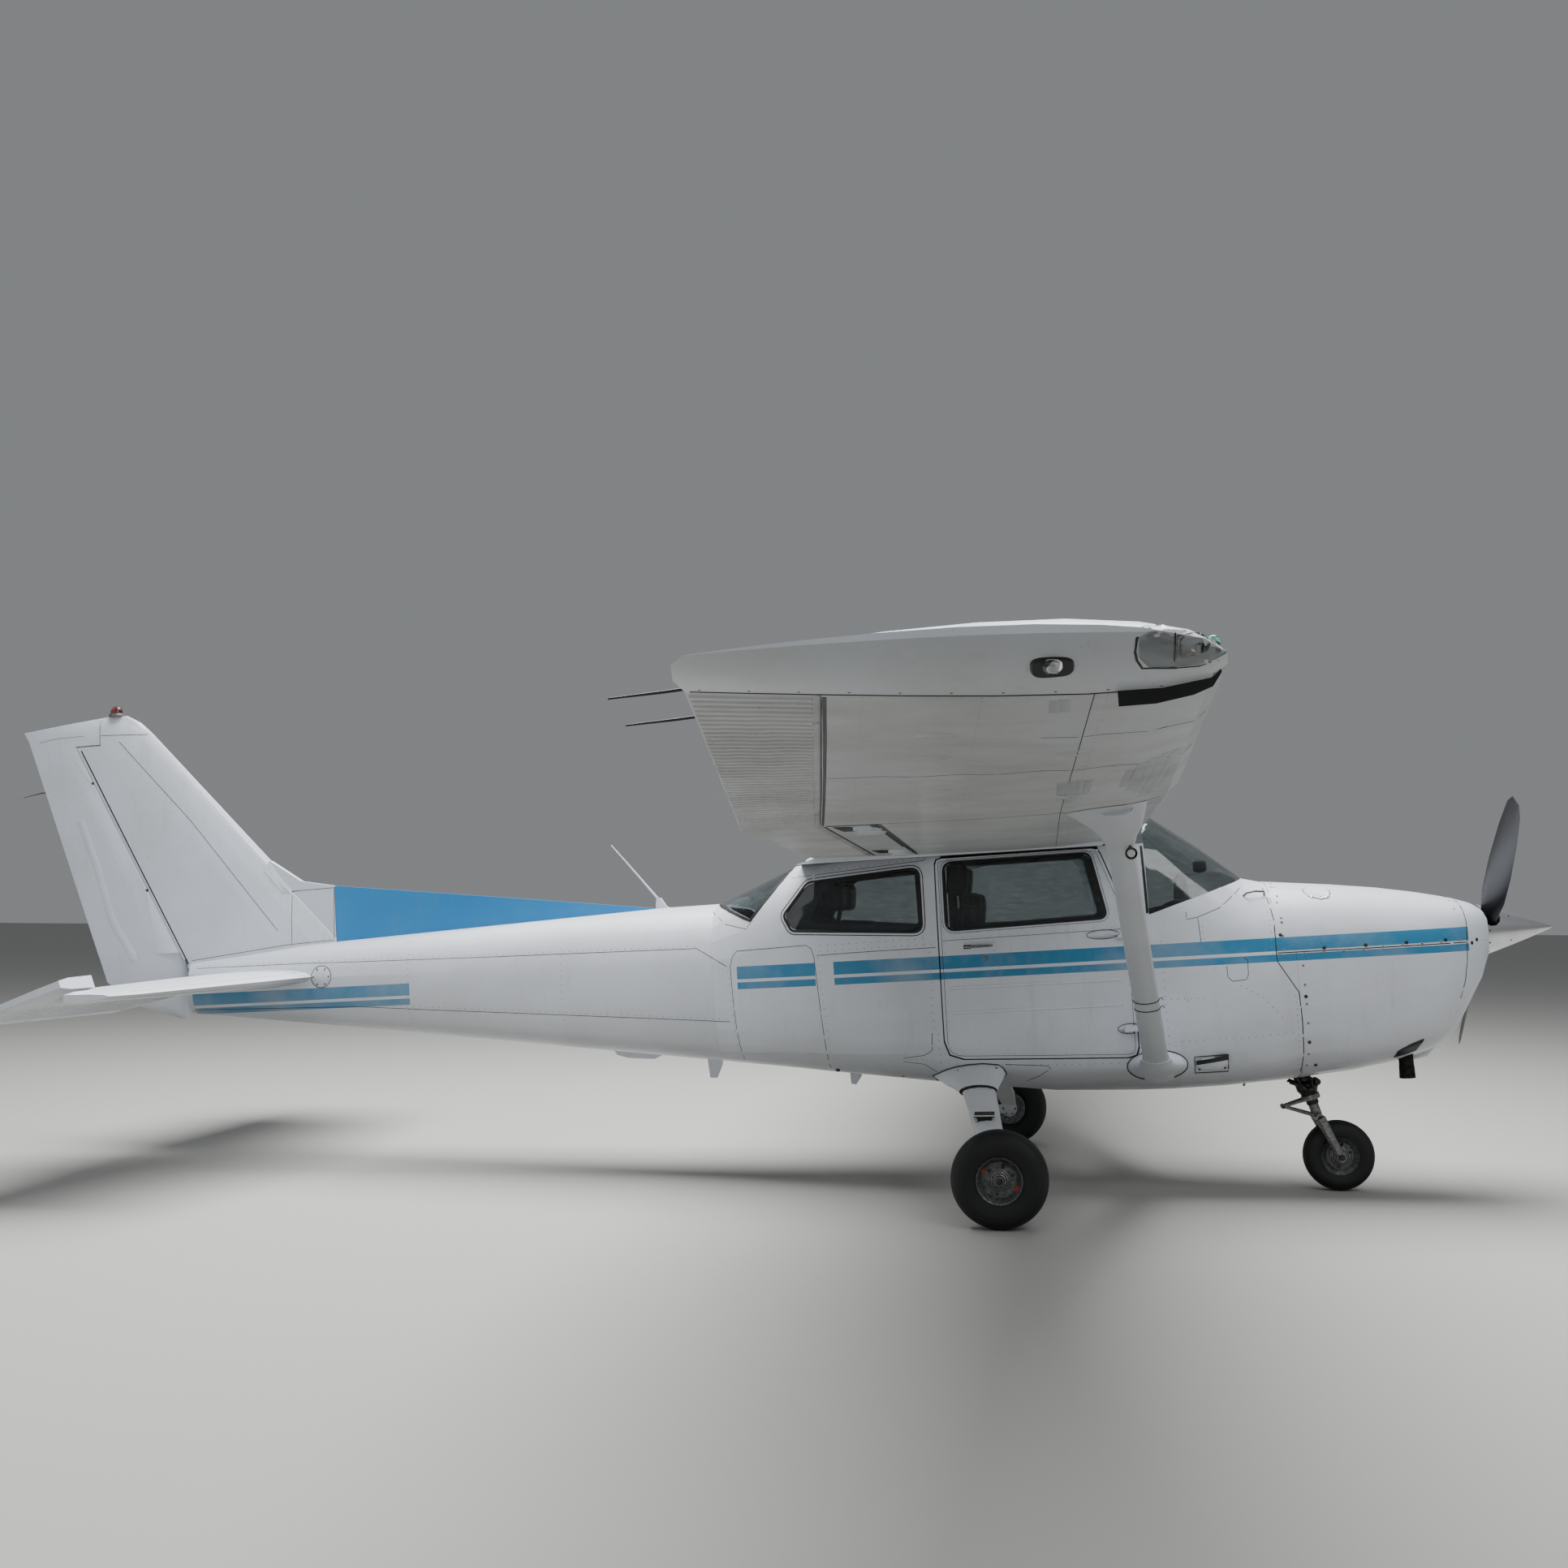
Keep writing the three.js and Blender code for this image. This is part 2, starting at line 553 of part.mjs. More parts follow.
// Wing with its flap, aileron and tip, built to port and mirrored to starboard.
function wings(side) {
  const up = new THREE.Vector3(0, 0, 1);
  const flap = hinged(loft(WING.map(wingRing)), wingHinge(FLAP.y0, FLAP.x),
    wingHinge(FLAP.y1, FLAP.x), up, FLAP_GAP, END_GAP, [0.12, 0.88]);
  const aileron = hinged(flap.fixed, wingHinge(AILERON.y0, AILERON.x0),
    wingHinge(AILERON.y1, AILERON.x1), up, CONTROL_GAP, END_GAP, [0.14, 0.86]);
  const tip = loft(WING_TIP.map(wingRing));
  const pieces = [aileron.fixed, flap.surface, aileron.surface, tip];
  return side > 0 ? pieces : pieces.map(mirrored);
}

// Symmetric profile ring; place turns a chord position and a thickness into a point.
function symmetricRing([position, lead, trail, half], place) {
  const steps = shares();
  const at = (share, sign) => {
    const thick = half * (halfThickness(share) / halfThickness(0.3)) + EDGE_HALF * share;
    return place(position, lead + (trail - lead) * share, sign * thick);
  };
  return [...steps.slice().reverse().map((share) => at(share, 1)),
    ...steps.slice(1).map((share) => at(share, -1))];
}

function uprightRing(row) {
  return symmetricRing(row, (z, x, y) => new THREE.Vector3(x, y, z));
}

function levelRing(row, sign) {
  return symmetricRing(row, (y, x, z) => new THREE.Vector3(x, sign * y, TAILPLANE_Z + z));
}

// Hinge point on a symmetric surface, with the half thickness there.
function symmetricHinge(table, position, x, at) {
  const outer = Math.max(1, table.findIndex((row) => row[0] >= position));
  const [a, b] = [table[outer - 1], table[outer]];
  const blend = (position - a[0]) / (b[0] - a[0]);
  const [, lead, trail, half] = a.map((value, i) => value + blend * (b[i] - value));
  const share = (lead - x) / (lead - trail);
  return { at, radius: half * (halfThickness(share) / halfThickness(0.3)) + EDGE_HALF * share };
}

function rudderHinge(z) {
  const slope = (RUDDER.x1 - RUDDER.x0) / (RUDDER.z1 - RUDDER.z0);
  const x = RUDDER.x0 + slope * (z - RUDDER.z0);
  return symmetricHinge(FIN, Math.min(z, RUDDER.z1), Math.max(x, RUDDER.x1), [x, 0, z]);
}

// Rows of a symmetric surface moved in from its skin and edges.
function inward(rows) {
  return rows.map(([position, lead, trail, half]) => [position, lead - 45, trail + 60,
    half - TAIL_SKIN]);
}

function verticalTail(crown) {
  const sideways = new THREE.Vector3(0, 1, 0);
  const capSlope = sidePrism(outline([[-6376, 2768.2], [-6376, 2900], [-7100, 2900], [-7100, 2695]]),
    -200, 200);
  const whole = loft(FIN.map(uprightRing)).subtract(capSlope);
  const core = loft(inward(FIN.slice(0, 2)).map(uprightRing))
    .intersect(box([-7100, -5085], [-200, 200], [1465, 2585]));
  const top = FIN.at(-1)[0] + 40;
  const bottom = FIN[0][0];
  const horn = (gap) => box([-7100, RUDDER.hornX + gap], [-200, 200], [RUDDER.hornZ - gap, top]);
  const split = hinged(whole, rudderHinge(bottom - 1), rudderHinge(top), sideways, CONTROL_GAP, 0,
    [0.3, 0.72], core);
  const blade = split.surface.intersect(box([-7100, -5000], [-200, 200], [1412, top]));
  const foot = loft(RUDDER_FOOT.map(uprightRing));
  const rudder = join(blade, whole.intersect(horn(0)), foot);
  const fillet = sidePrism(outline([[-5057, 1380], [-5057, 1728], [-5250, 1765], [-5430, 1890],
    [-5600, 1700], [-5400, 1380]]), -20, 20);
  const dorsal = sidePrism(outline([[-3270, 1400], [-3270, 1501], [-4010, 1596], [-5054, 1728],
    [-5054, 1380]]), -20, 20);
  const seat = join(crown, crown.translate([0, 0, SEAM]), crown.translate([-SEAM, 0, 0]));
  const fin = cut(join(split.fixed, fillet), horn(HORN_GAP), seat,
    box([-7100, RUDDER.x0 + 60], [-200, 200], [1300, 1372]),
    box([-5054 - 2 * SEAM, -4000], [-300, 300], [1300, 2000]));
  return { fin, rudder, dorsal: cut(dorsal, seat) };
}

function droop(solid) {
  return solid.translate([-ELEVATOR.x, 0, -TAILPLANE_Z]).rotate([0, ELEVATOR.droop, 0])
    .translate([ELEVATOR.x, 0, TAILPLANE_Z]);
}

function horizontalTail() {
  const up = new THREE.Vector3(0, 0, 1);
  const span = TAILPLANE.at(-1)[0] + 1;
  const ends = TAILPLANE.slice(1);
  const whole = loft([...ends.slice().reverse().map((row) => levelRing(row, -1)),
    ...TAILPLANE.map((row) => levelRing(row, 1))]);
  const hinge = (y) => symmetricHinge(TAILPLANE, Math.min(Math.abs(y), span - 1), ELEVATOR.x,
    [ELEVATOR.x, y, TAILPLANE_Z]);
  const horn = (sign, gap) => box([-7100, ELEVATOR.hornX + gap], sign > 0
    ? [ELEVATOR.hornY - gap, span + 10] : [-span - 10, gap - ELEVATOR.hornY], [1100, 1400]);
  const halves = [];
  const tipRib = TAILPLANE[1][0];
  const core = (sign) => loft(inward(TAILPLANE.slice(0, 2)).map((row) => levelRing(row, sign)))
    .intersect(box([-6175, -5100], sign > 0 ? [150, 1425] : [-1425, -150], [1100, 1400]));
  let fixed = whole;
  for (const sign of [1, -1]) {
    const split = hinged(fixed, hinge(0), hinge(sign * tipRib), up, CONTROL_GAP, 0, [0.3, 0.7],
      core(sign));
    fixed = split.fixed.subtract(horn(sign, HORN_GAP));
    halves.push(split.surface.intersect(box([-7100, -5000],
      sign > 0 ? [0, span + 20] : [-span - 20, 0], [1000, 1500])), whole.intersect(horn(sign, 0)));
  }
  const sweep = ELEVATOR.sweep;
  const gap = new THREE.ExtrudeGeometry(outline([[-5780, -sweep], [-5990, -sweep],
    [-6500, -2.3 * sweep], [-6500, 2.3 * sweep], [-5990, sweep], [-5780, sweep]]),
  { depth: 600, bevelEnabled: false });
  const rudderRoom = solidOf(gap.translate(0, 0, 950));
  const tube = bar([ELEVATOR.x, -sweep - 30, TAILPLANE_Z], [ELEVATOR.x, sweep + 30, TAILPLANE_Z],
    ELEVATOR.tube);
  const elevator = join(...halves).subtract(rudderRoom).add(tube);
  const tabRegion = (inset) => {
    const [y0, y1] = [TRIM_TAB.y0 + inset, TRIM_TAB.y1 - inset];
    const inner = -6330 + TRIM_TAB.chord;
    return box([-6500, inner - inset + 26], [y0, y1], [1100, 1400]);
  };
  return {
    tailplane: fixed.subtract(box([-6500, -5846], [-sweep, sweep], [1100, 1400])),
    elevator: droop(elevator.subtract(tabRegion(0))),
    trimTab: droop(elevator.intersect(tabRegion(SEAM))),
    slot: join(whole, ...[[0, 0, SEAM], [0, 0, -SEAM], [SEAM, 0, 0]].map((step) => whole.translate(step))),
  };
}

// Ellipse ring around a path point; across is its thin direction.
function ovalRing(at, halfChord, halfThick, across, count = 12) {
  return Array.from({ length: count }, (_, k) => {
    const turn = (2 * Math.PI * k) / count;
    return new THREE.Vector3(...at).addScaledVector(across, halfThick * Math.sin(turn))
      .add(new THREE.Vector3(halfChord * Math.cos(turn), 0, 0));
  });
}

function strut(wing, outer, side) {
  const path = [
    // x, y, z, half chord, half thickness
    [-712, 470, 545, 76, 34],
    [-724, 590, 614, 72, 32],
    [-736, 700, 677, 58, 21],
    [-905, 2330, 1615, 52, 20],
    [-914, 2440, 1678, 66, 30],
    [-926, 2560, 1747, 70, 34],
  ];
  const across = new THREE.Vector3(0, -0.5, 0.866);
  const whole = loft(path.map(([x, y, z, chord, thick]) => ovalRing([x, y, z], chord, thick, across)));
  const near = whole.subtract(outer.translate([0, SEAM, 0])).subtract(outer);
  const port = near.subtract(wing.translate([0, 0, -SEAM])).subtract(wing)
    .subtract(box([-2000, 0], [0, 5000], [1790, 2500]));
  return side > 0 ? port : mirrored(port);
}

function mainGear(outer, side) {
  const path = [
    // x, y, z, half chord, half thickness
    [-1580, 420, 590, 104, 44],
    [-1580, 560, 556, 90, 34],
    [-1566, 680, 518, 79, 25],
    [-1530, 940, 414, 66, 23],
    [-1496, 1120, 316, 56, 20],
    [-1480, 1176, 246, 42, 14],
  ];
  const across = new THREE.Vector3(0, 0.42, 0.907);
  const down = new THREE.Vector3(0, 0.75, 0.66);
  const rings = path.map(([x, y, z, chord, thick], i) => ovalRing([x, y, z], chord, thick,
    i < 4 ? across : down));
  const { x, y, z, radius } = MAIN_AXLE;
  const axle = bar([x, y - 112, z], [x, y + 66, z], radius);
  const plate = bar([x, y - 108, z], [x, y - 94, z], 46, 46, 16);
  const caliper = join(box([x - 135, x - 62], [y - 104, y - 88], [z - 34, z + 40]),
    box([x - 62, x], [y - 106, y - 94], [z - 26, z + 26]));
  const port = join(loft(rings).subtract(outer.translate([0, SEAM, -SEAM])).subtract(outer),
    box([x - 30, x + 30], [y - 112, y - 86], [z - 30, z + 44]), axle, plate, caliper);
  return side > 0 ? port : mirrored(port);
}

// Closed profile of a tyre (radius, width), from bead to tread and back.
function tyre({ radius, half, bead, beadHalf }, [x, y, z]) {
  const mid = bead + 0.45 * (radius - bead);
  const arc = Array.from({ length: 7 }, (_, k) => {
    const turn = (Math.PI * k) / 6;
    const width = -half * Math.sign(Math.cos(turn)) * Math.abs(Math.cos(turn)) ** 0.8;
    return new THREE.Vector2(mid + (radius - mid) * Math.sin(turn) ** 0.8, width);
  });
  const points = [new THREE.Vector2(bead, -beadHalf), ...arc, new THREE.Vector2(bead, beadHalf),
    new THREE.Vector2(bead, -beadHalf)];
  const geometry = new THREE.LatheGeometry(points, WHEEL_SIDES);
  return solidOf(geometry.rotateY(STANCE).translate(x, y, z));
}

// Wheel with a flange each side and a brake disc inboard; side is the outboard direction.
function hub({ bead, beadHalf }, [x, y, z], bore, side, disc) {
  const seat = bead - SEAM;
  const flange = beadHalf + SEAM;
  const rim = [
    [bore, 44], [30, 44], [34, 30], [seat - 18, 30], [bead + 7, flange + 7], [bead + 7, flange + 4],
    [seat, flange], [seat, -flange], [bead + 7, -flange - 4], [bead + 7, -flange - 7],
    [seat - 18, -30], [34, -30], [30, -44], [bore, -44], [bore, 44],
  ];
  const wheel = solidOf(new THREE.LatheGeometry(rim.map(([r, w]) => new THREE.Vector2(r, w)), WHEEL_SIDES)
    .rotateY(STANCE).translate(x, y, z));
  if (!disc) {
    return wheel;
  }
  const plate = [[20, 40], [20, 82], [92, 82], [92, 76], [28, 76], [28, 40], [20, 40]];
  const rotor = solidOf(new THREE.LatheGeometry(plate.map(([r, w]) => new THREE.Vector2(r, -side * w)),
    WHEEL_SIDES).translate(x, y, z));
  return join(wheel, rotor);
}

// Height in body axes at which a wheel of this radius touches the floor once the body is nose-up.
function axleHeight(x, radius) {
  const rise = radius - PIVOT_Z - (x - MAIN_AXLE.x) * Math.sin(STANCE);
  return PIVOT_Z + rise / Math.cos(STANCE);
}

const NOSE_AXLE_Z = axleHeight(NOSE_AXLE_X, NOSE_TYRE.radius);

// Point on the nose strut's axis at a height.
function onStrut(z, y = 0) {
  return [NOSE_STRUT.x + (NOSE_STRUT.z - z) * Math.tan(NOSE_STRUT.rake), y, z];
}

function noseLeg(cowl) {
  const { top, foot } = NOSE_STRUT;
  const tube = bar(onStrut(foot), onStrut(top), 36, 36, 16);
  const cuff = bar(onStrut(foot + 20), onStrut(foot + 128), 92, 104, 16);
  return join(tube, cut(cuff, cowl, cowl.translate([0, 0, -SEAM])))
    .subtract(box([-200, -30], [-200, 200], [300, 800]));
}

function noseFork() {
  const ring = bar(onStrut(NOSE_STRUT.foot - 24), onStrut(NOSE_STRUT.foot - SEAM), 46, 46, 16);
  const piston = bar(onStrut(266), onStrut(NOSE_STRUT.foot - SEAM), 25, 25, 12);
  const crown = bar(onStrut(262, -94), onStrut(262, 94), 22, 22, 12);
  const arms = [-84, 84].map((y) => {
    const blade = bar(onStrut(262, y), [NOSE_AXLE_X, y, NOSE_AXLE_Z], 26, 20, 10);
    return join(blade, bar([NOSE_AXLE_X, y - 11, NOSE_AXLE_Z], [NOSE_AXLE_X, y + 11, NOSE_AXLE_Z], 24));
  });
  const axle = bar([NOSE_AXLE_X, -94, NOSE_AXLE_Z], [NOSE_AXLE_X, 94, NOSE_AXLE_Z], NOSE_AXLE_RADIUS);
  const apex = [-84, 318];
  const links = [-1, 1].map((side) => join(
    bar([onStrut(350)[0] - 30, side * 26, 350], [apex[0], side * 12, apex[1]], 9, 8, 8),
    bar([apex[0], side * 12, apex[1]], [onStrut(268)[0] - 12, side * 26, 268], 8, 9, 8),
  ));
  const knee = bar([apex[0], -22, apex[1]], [apex[0], 22, apex[1]], 12);
  return join(ring, piston, crown, ...arms, axle, ...links, knee);
}

// Propeller blade sections from root to tip.
const BLADE = [
  // radius, chord, thickness, pitch in degrees
  [40, 84, 52, 48],
  [150, 96, 40, 44],
  [260, 132, 26, 36],
  [480, 156, 18, 25],
  [720, 150, 12, 18],
  [890, 118, 8, 14.5],
  [PROPELLER_RADIUS, 62, 5, 13.5],
];

function bladeRing([radius, chord, thick, pitch]) {
  const angle = THREE.MathUtils.degToRad(pitch);
  const along = new THREE.Vector3(Math.sin(angle), -Math.cos(angle), 0);
  const normal = new THREE.Vector3(Math.cos(angle), Math.sin(angle), 0);
  return Array.from({ length: 10 }, (_, k) => {
    const turn = (2 * Math.PI * k) / 10;
    return new THREE.Vector3(0, 0, radius).addScaledVector(along, (chord / 2) * Math.cos(turn))
      .addScaledVector(normal, (thick / 2) * Math.sin(turn));
  });
}

function propeller() {
  const blade = loft(BLADE.map(bladeRing));
  const hubBody = bar([-50, 0, 0], [34, 0, 0], 58, 58, 16);
  const { base, plate: reach, taper } = SPINNER;
  const plate = bar([base, 0, 0], [base + 6, 0, 0], reach, reach - taper, WHEEL_SIDES);
  return join(blade, blade.rotate([180, 0, 0]), hubBody, plate);
}

const SPINNER = { radius: 127, wall: 4, base: -24, length: 346, plate: 122.6, taper: 2, bulge: 0.9 };
const SPINNER_SHARES = [0, 0.12, 0.28, 0.46, 0.64, 0.8, 0.92, 0.98, 1];

// Hollow pointed cone, slightly bulged, with an opening for each blade.
function spinner() {
  const { radius, wall, base, length, bulge } = SPINNER;
  const curve = (thick, nose) => SPINNER_SHARES.map((share) => new THREE.Vector2(
    (radius - thick) * (1 - share) ** bulge, (length - nose) * share));
  const shell = [...curve(0, 0), ...curve(wall, 4 * wall).reverse(), new THREE.Vector2(radius, 0)];
  const dome = solidOf(new THREE.LatheGeometry(shell, WHEEL_SIDES).rotateZ(-Math.PI / 2).translate(base, 0, 0));
  const ports = [0, 180].map((turn) => bar([0, 0, 60], [0, 0, 140], 56, 58, 12).rotate([turn, 0, 0]));
  return cut(dome, ...ports);
}

function atHub(solid) {
  return solid.rotate([THREE.MathUtils.radToDeg(PROPELLER_TURN), 0, 0])
    .translate([PROPELLER_X, 0, SPINNER_AXIS_Z]);
}

function cowling() {
  const outer = hull(COWLING);
  const inner = hull([[-200, ...COWLING[0].slice(1)], ...COWLING], COWL_WALL)
    .intersect(box([-300, COWL_FRONT_X - COWL_WALL], [-HALF_SPACE, HALF_SPACE], [0, 2000]));
  const inlet = (side) => {
    const shape = outline([[118, 1078], [258, 1078], [258, 1212], [118, 1200]], 42);
    const tunnel = new THREE.ExtrudeGeometry(shape, { depth: 300, bevelEnabled: false });
    tunnel.applyMatrix4(new THREE.Matrix4().makeBasis(new THREE.Vector3(0, 1, 0),
      new THREE.Vector3(0, 0, 1), new THREE.Vector3(1, 0, 0)).setPosition(780, 0, 0));
    const solid = solidOf(tunnel);
    return side > 0 ? solid : mirrored(solid);
  };
  const shaft = bar([840, 0, SPINNER_AXIS_Z], [960, 0, SPINNER_AXIS_Z], 78, 78, 24);
  const legHole = bar(onStrut(392), onStrut(700), 44, 44, 16);
  const pipe = bar([EXHAUST.x, EXHAUST.y, 400], [EXHAUST.x, EXHAUST.y, 800], EXHAUST.radius + 4, EXHAUST.radius + 4, 16);
  const shell = cut(outer, inner, inlet(1), inlet(-1), shaft, legHole, pipe);
  const upperRegion = sidePrism(outline([[COWL_REAR_X, COWL_SPLIT_Z + SEAM / 2],
    [1000, COWL_SPLIT_Z + SEAM / 2], [1000, 1600], [COWL_REAR_X, 1600]]), -HALF_SPACE, HALF_SPACE);
  const lowerRegion = sidePrism(outline([[-30 + SEAM, 300], [-30 + SEAM, COWL_SPLIT_Z - SEAM / 2],
    [1000, COWL_SPLIT_Z - SEAM / 2], [1000, 300]]), -HALF_SPACE, HALF_SPACE);
  return { outer, upper: shell.intersect(upperRegion), lower: shell.intersect(lowerRegion) };
}

function engine() {
  const { x0, x1, half, z0, z1 } = ENGINE;
  const block = box([x0, x1], [-half, half], [z0, z1]);
  const shaft = bar([x1 - 20, 0, SPINNER_AXIS_Z], [PROPELLER_X - 50 - SEAM, 0, SPINNER_AXIS_Z], 34, 34, 16);
  const mounts = [[-230, 900], [230, 900], [-230, 1230], [230, 1230]].map(([y, z]) => bar(
    [-49.6, y, z], [x0 + 20, y, z], 13));
  return join(block, shaft, ...mounts);
}

function exhaust() {
  const { x, y, radius, bottom } = EXHAUST;
  const pipe = bar([x, y, bottom], [x, y, ENGINE.z0 - SEAM], radius, radius, 16);
  return pipe.subtract(bar([x, y, bottom - 10], [x, y, bottom + 120], radius - 4, radius - 4, 16));
}

// Cabin fittings

function seat(points, y0, y1) {
  return sidePrism(outline(points, 30), y0, y1);
}

const SEAT_INNER = 40;
const SEAT_OUTER = 450;
const HEADREST_HALF = 125;
const FRONT_SEAT = [[-1130, FLOOR_TOP + SEAM, 0], [-1130, 800], [-1060, 830], [-1060, 930],
  [-1490, 910], [-1590, 1330], [-1585, 1440], [-1660, 1450], [-1690, 1330], [-1620, 880],
  [-1560, 800], [-1560, FLOOR_TOP + SEAM, 0]];
const REAR_SEAT = [[-1990, FLOOR_TOP + SEAM, 0], [-1990, 800], [-1930, 840], [-1930, 940],
  [-2280, 925], [-2320, 1330], [-2400, 1330], [-2400, 860], [-2330, 700, 0], [-2200, FLOOR_TOP + 40, 0],
  [-2100, FLOOR_TOP + SEAM, 0]];

function roomFor(inset) {
  return hull(FUSELAGE, WALL + inset).intersect(box([REAR_FRAME_X, 0], [-HALF_SPACE, HALF_SPACE],
    [FLOOR_TOP + SEAM, 2000]));
}

// Head cushion centred at y on a seat back.
function headrest([x0, x1], y, [z0, z1]) {
  return box([x0, x1], [y - HEADREST_HALF, y + HEADREST_HALF], [z0, z1]);
}

function frontSeat(side, inside) {
  const y = side * (SEAT_INNER + SEAT_OUTER) / 2;
  const inner = side > 0 ? SEAT_INNER : -SEAT_OUTER;
  const body = seat(FRONT_SEAT, inner, inner + SEAT_OUTER - SEAT_INNER);
  return join(body, headrest([-1680, -1605], y, [1420, 1575])).intersect(inside);
}

function rearSeat(inside) {
  const rests = [-220, 220].map((y) => headrest([-2365, -2270], y, [1310, 1562]));
  return join(seat(REAR_SEAT, -440, 440), ...rests).intersect(inside);
}

function panel() {
  const board = sidePrism(outline([[-445, 1010], [-445, 1345], [-262, 1398], [-262, 1412],
    [-530, 1378], [-530, 1350], [-492, 1345], [-492, 1010]]), -500, 500);
  const yokes = [-230, 230].map((y) => join(
    bar([-480, y, 1110], [-640, y, 1110], 13, 13, 10),
    box([-652, -628], [y - 95, y + 95], [1096, 1124]),
    box([-652, -628], [y - 95, y - 68], [1110, 1215]),
    box([-652, -628], [y + 68, y + 95], [1110, 1215]),
  ));
  const fitted = board.intersect(hull(FUSELAGE, WALL + SEAM));
  return join(fitted, ...yokes);
}

function beacon() {
  const dome = [[0, 0], [36, 0], [40, 14], [33, 18], [33, 34], [24, 52], [0, 62]];
  return solidOf(new THREE.LatheGeometry(dome.map(([r, h]) => new THREE.Vector2(r, h)), 16)
    .rotateX(Math.PI / 2).translate(BEACON.x, 0, BEACON.z));
}

// Assembly

const group = new THREE.Group();
const level = new THREE.Group();
const turned = new THREE.Group();
turned.rotation.y = -STANCE;
turned.position.set(MAIN_AXLE.x, 0, PIVOT_Z);
level.position.set(-MAIN_AXLE.x, 0, -PIVOT_Z);
turned.add(level);
group.add(turned);

function place(name, paint, solid) {
  const [color, roughness, metalness] = PAINTS[paint];
  const material = new THREE.MeshStandardMaterial({ color, roughness, metalness });
  const mesh = new THREE.Mesh(geometryOf(solid), material);
  mesh.name = name;
  level.add(mesh);
}

const room = cabin();
const cowl = cowling();
const hollow = roomFor(SEAM);
const tail = hull(FUSELAGE).intersect(box([-5900, REAR_FRAME_X], [-HALF_SPACE, HALF_SPACE], [0, 2000]));
const upright = verticalTail(tail);
const across = horizontalTail();
const tubeRoom = box([-5901, ELEVATOR.x + 30], [-200, 200], [TAILPLANE_Z - 40, TAILPLANE_Z + 40]);
const tailRoom = hull(FUSELAGE, TAIL_WALL).intersect(box([-5060, REAR_FRAME_X - TAIL_WALL],
  [-HALF_SPACE, HALF_SPACE], [0, 2000]));
const manhole = bar([REAR_FRAME_X - 2 * TAIL_WALL, 0, 1090], [REAR_FRAME_X + 10, 0, 1090], 130, 130, 16);
const SIDES = [['left', 1], ['right', -1]];

place('upper_cowl', 'white', cowl.upper);
place('lower_cowl', 'white', cowl.lower);
place('engine', 'steel', engine());
place('exhaust_pipe', 'steel', exhaust());
place('firewall', 'alloy', roomFor(SEAM).intersect(box([-60, -50], [-HALF_SPACE, HALF_SPACE],
  [0, 2000])));
place('forward_fuselage', 'white', room.forward);
place('cabin_floor', 'white', room.floor);
place('cabin_roof', 'white', room.roof);
place('tailcone', 'white', cut(tail, across.slot, tubeRoom, tailRoom, manhole));
place('windshield', 'glass', room.windshield);
place('rear_window', 'glass', room.rearWindow);
place('instrument_panel', 'trim', panel());
place('rear_seat', 'cabin', rearSeat(hollow));
place('fin', 'white', upright.fin);
place('dorsal_fin', 'blue', upright.dorsal);
place('rudder', 'white', upright.rudder);
place('tailplane', 'white', across.tailplane);
place('elevator', 'white', across.elevator);
place('trim_tab', 'white', across.trimTab);
place('beacon', 'glass', beacon());
place('nose_leg', 'steel', noseLeg(cowl.outer));
place('nose_fork', 'steel', noseFork());
place('nose_tyre', 'rubber', tyre(NOSE_TYRE, [NOSE_AXLE_X, 0, NOSE_AXLE_Z]));
place('nose_wheel', 'alloy', hub(NOSE_TYRE, [NOSE_AXLE_X, 0, NOSE_AXLE_Z], NOSE_AXLE_RADIUS + 0.5, -1,
  false));
place('propeller', 'blade', atHub(propeller()));
place('spinner', 'polished', atHub(spinner()));
place('baggage_door', 'white', room.holdDoor);

for (const [name, side] of SIDES) {
  const [wing, flap, aileron, tip] = wings(side);
  const wheelAt = [MAIN_AXLE.x, side * MAIN_AXLE.y, MAIN_AXLE.z];
  place(`${name}_cabin_side`, 'white', room.sides[side]);
  place(`${name}_door`, 'white', room.doors[side]);
  place(`${name}_door_window`, 'glass', room.doorGlass(side));
  place(`${name}_rear_side_window`, 'glass', room.sideGlass(side));
  place(`${name}_front_seat`, 'cabin', frontSeat(side, hollow));
  place(`${name}_wing`, 'dull', wing);
  place(`${name}_wing_tip`, 'white', tip);
  place(`${name}_flap`, 'dull', flap);
  place(`${name}_aileron`, 'dull', aileron);
  place(`${name}_wing_strut`, 'white', strut(wings(1)[0], room.outer, side));
  place(`${name}_main_gear`, 'white', mainGear(room.outer, side));
  place(`${name}_main_tyre`, 'rubber', tyre(MAIN_TYRE, wheelAt));
  place(`${name}_main_wheel`, 'alloy', hub(MAIN_TYRE, wheelAt, MAIN_AXLE.radius + 0.5, side, true));
}

group.updateMatrixWorld(true);
const bounds = new THREE.Box3().setFromObject(group, true);
turned.position.x -= (bounds.min.x + bounds.max.x) / 2;

export default group;
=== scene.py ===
"""Looks of a strut-braced light aircraft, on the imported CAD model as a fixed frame.

Lengths are in metres. Most places are written in airframe axes (x forward from the engine
bulkhead, y to port, z up along the fuselage), and the Stance class turns them into the row
frame, where the aircraft stands nose-up on its wheels.
"""

from __future__ import annotations

import bmesh  # noqa: E402
import logging  # noqa: E402
import math  # noqa: E402
from dataclasses import dataclass  # noqa: E402
from enum import Enum  # noqa: E402
from typing import Callable, Iterable, Sequence  # noqa: E402

import bpy  # noqa: E402
from mathutils import Matrix, Vector  # noqa: E402
from mathutils.bvhtree import BVHTree  # noqa: E402


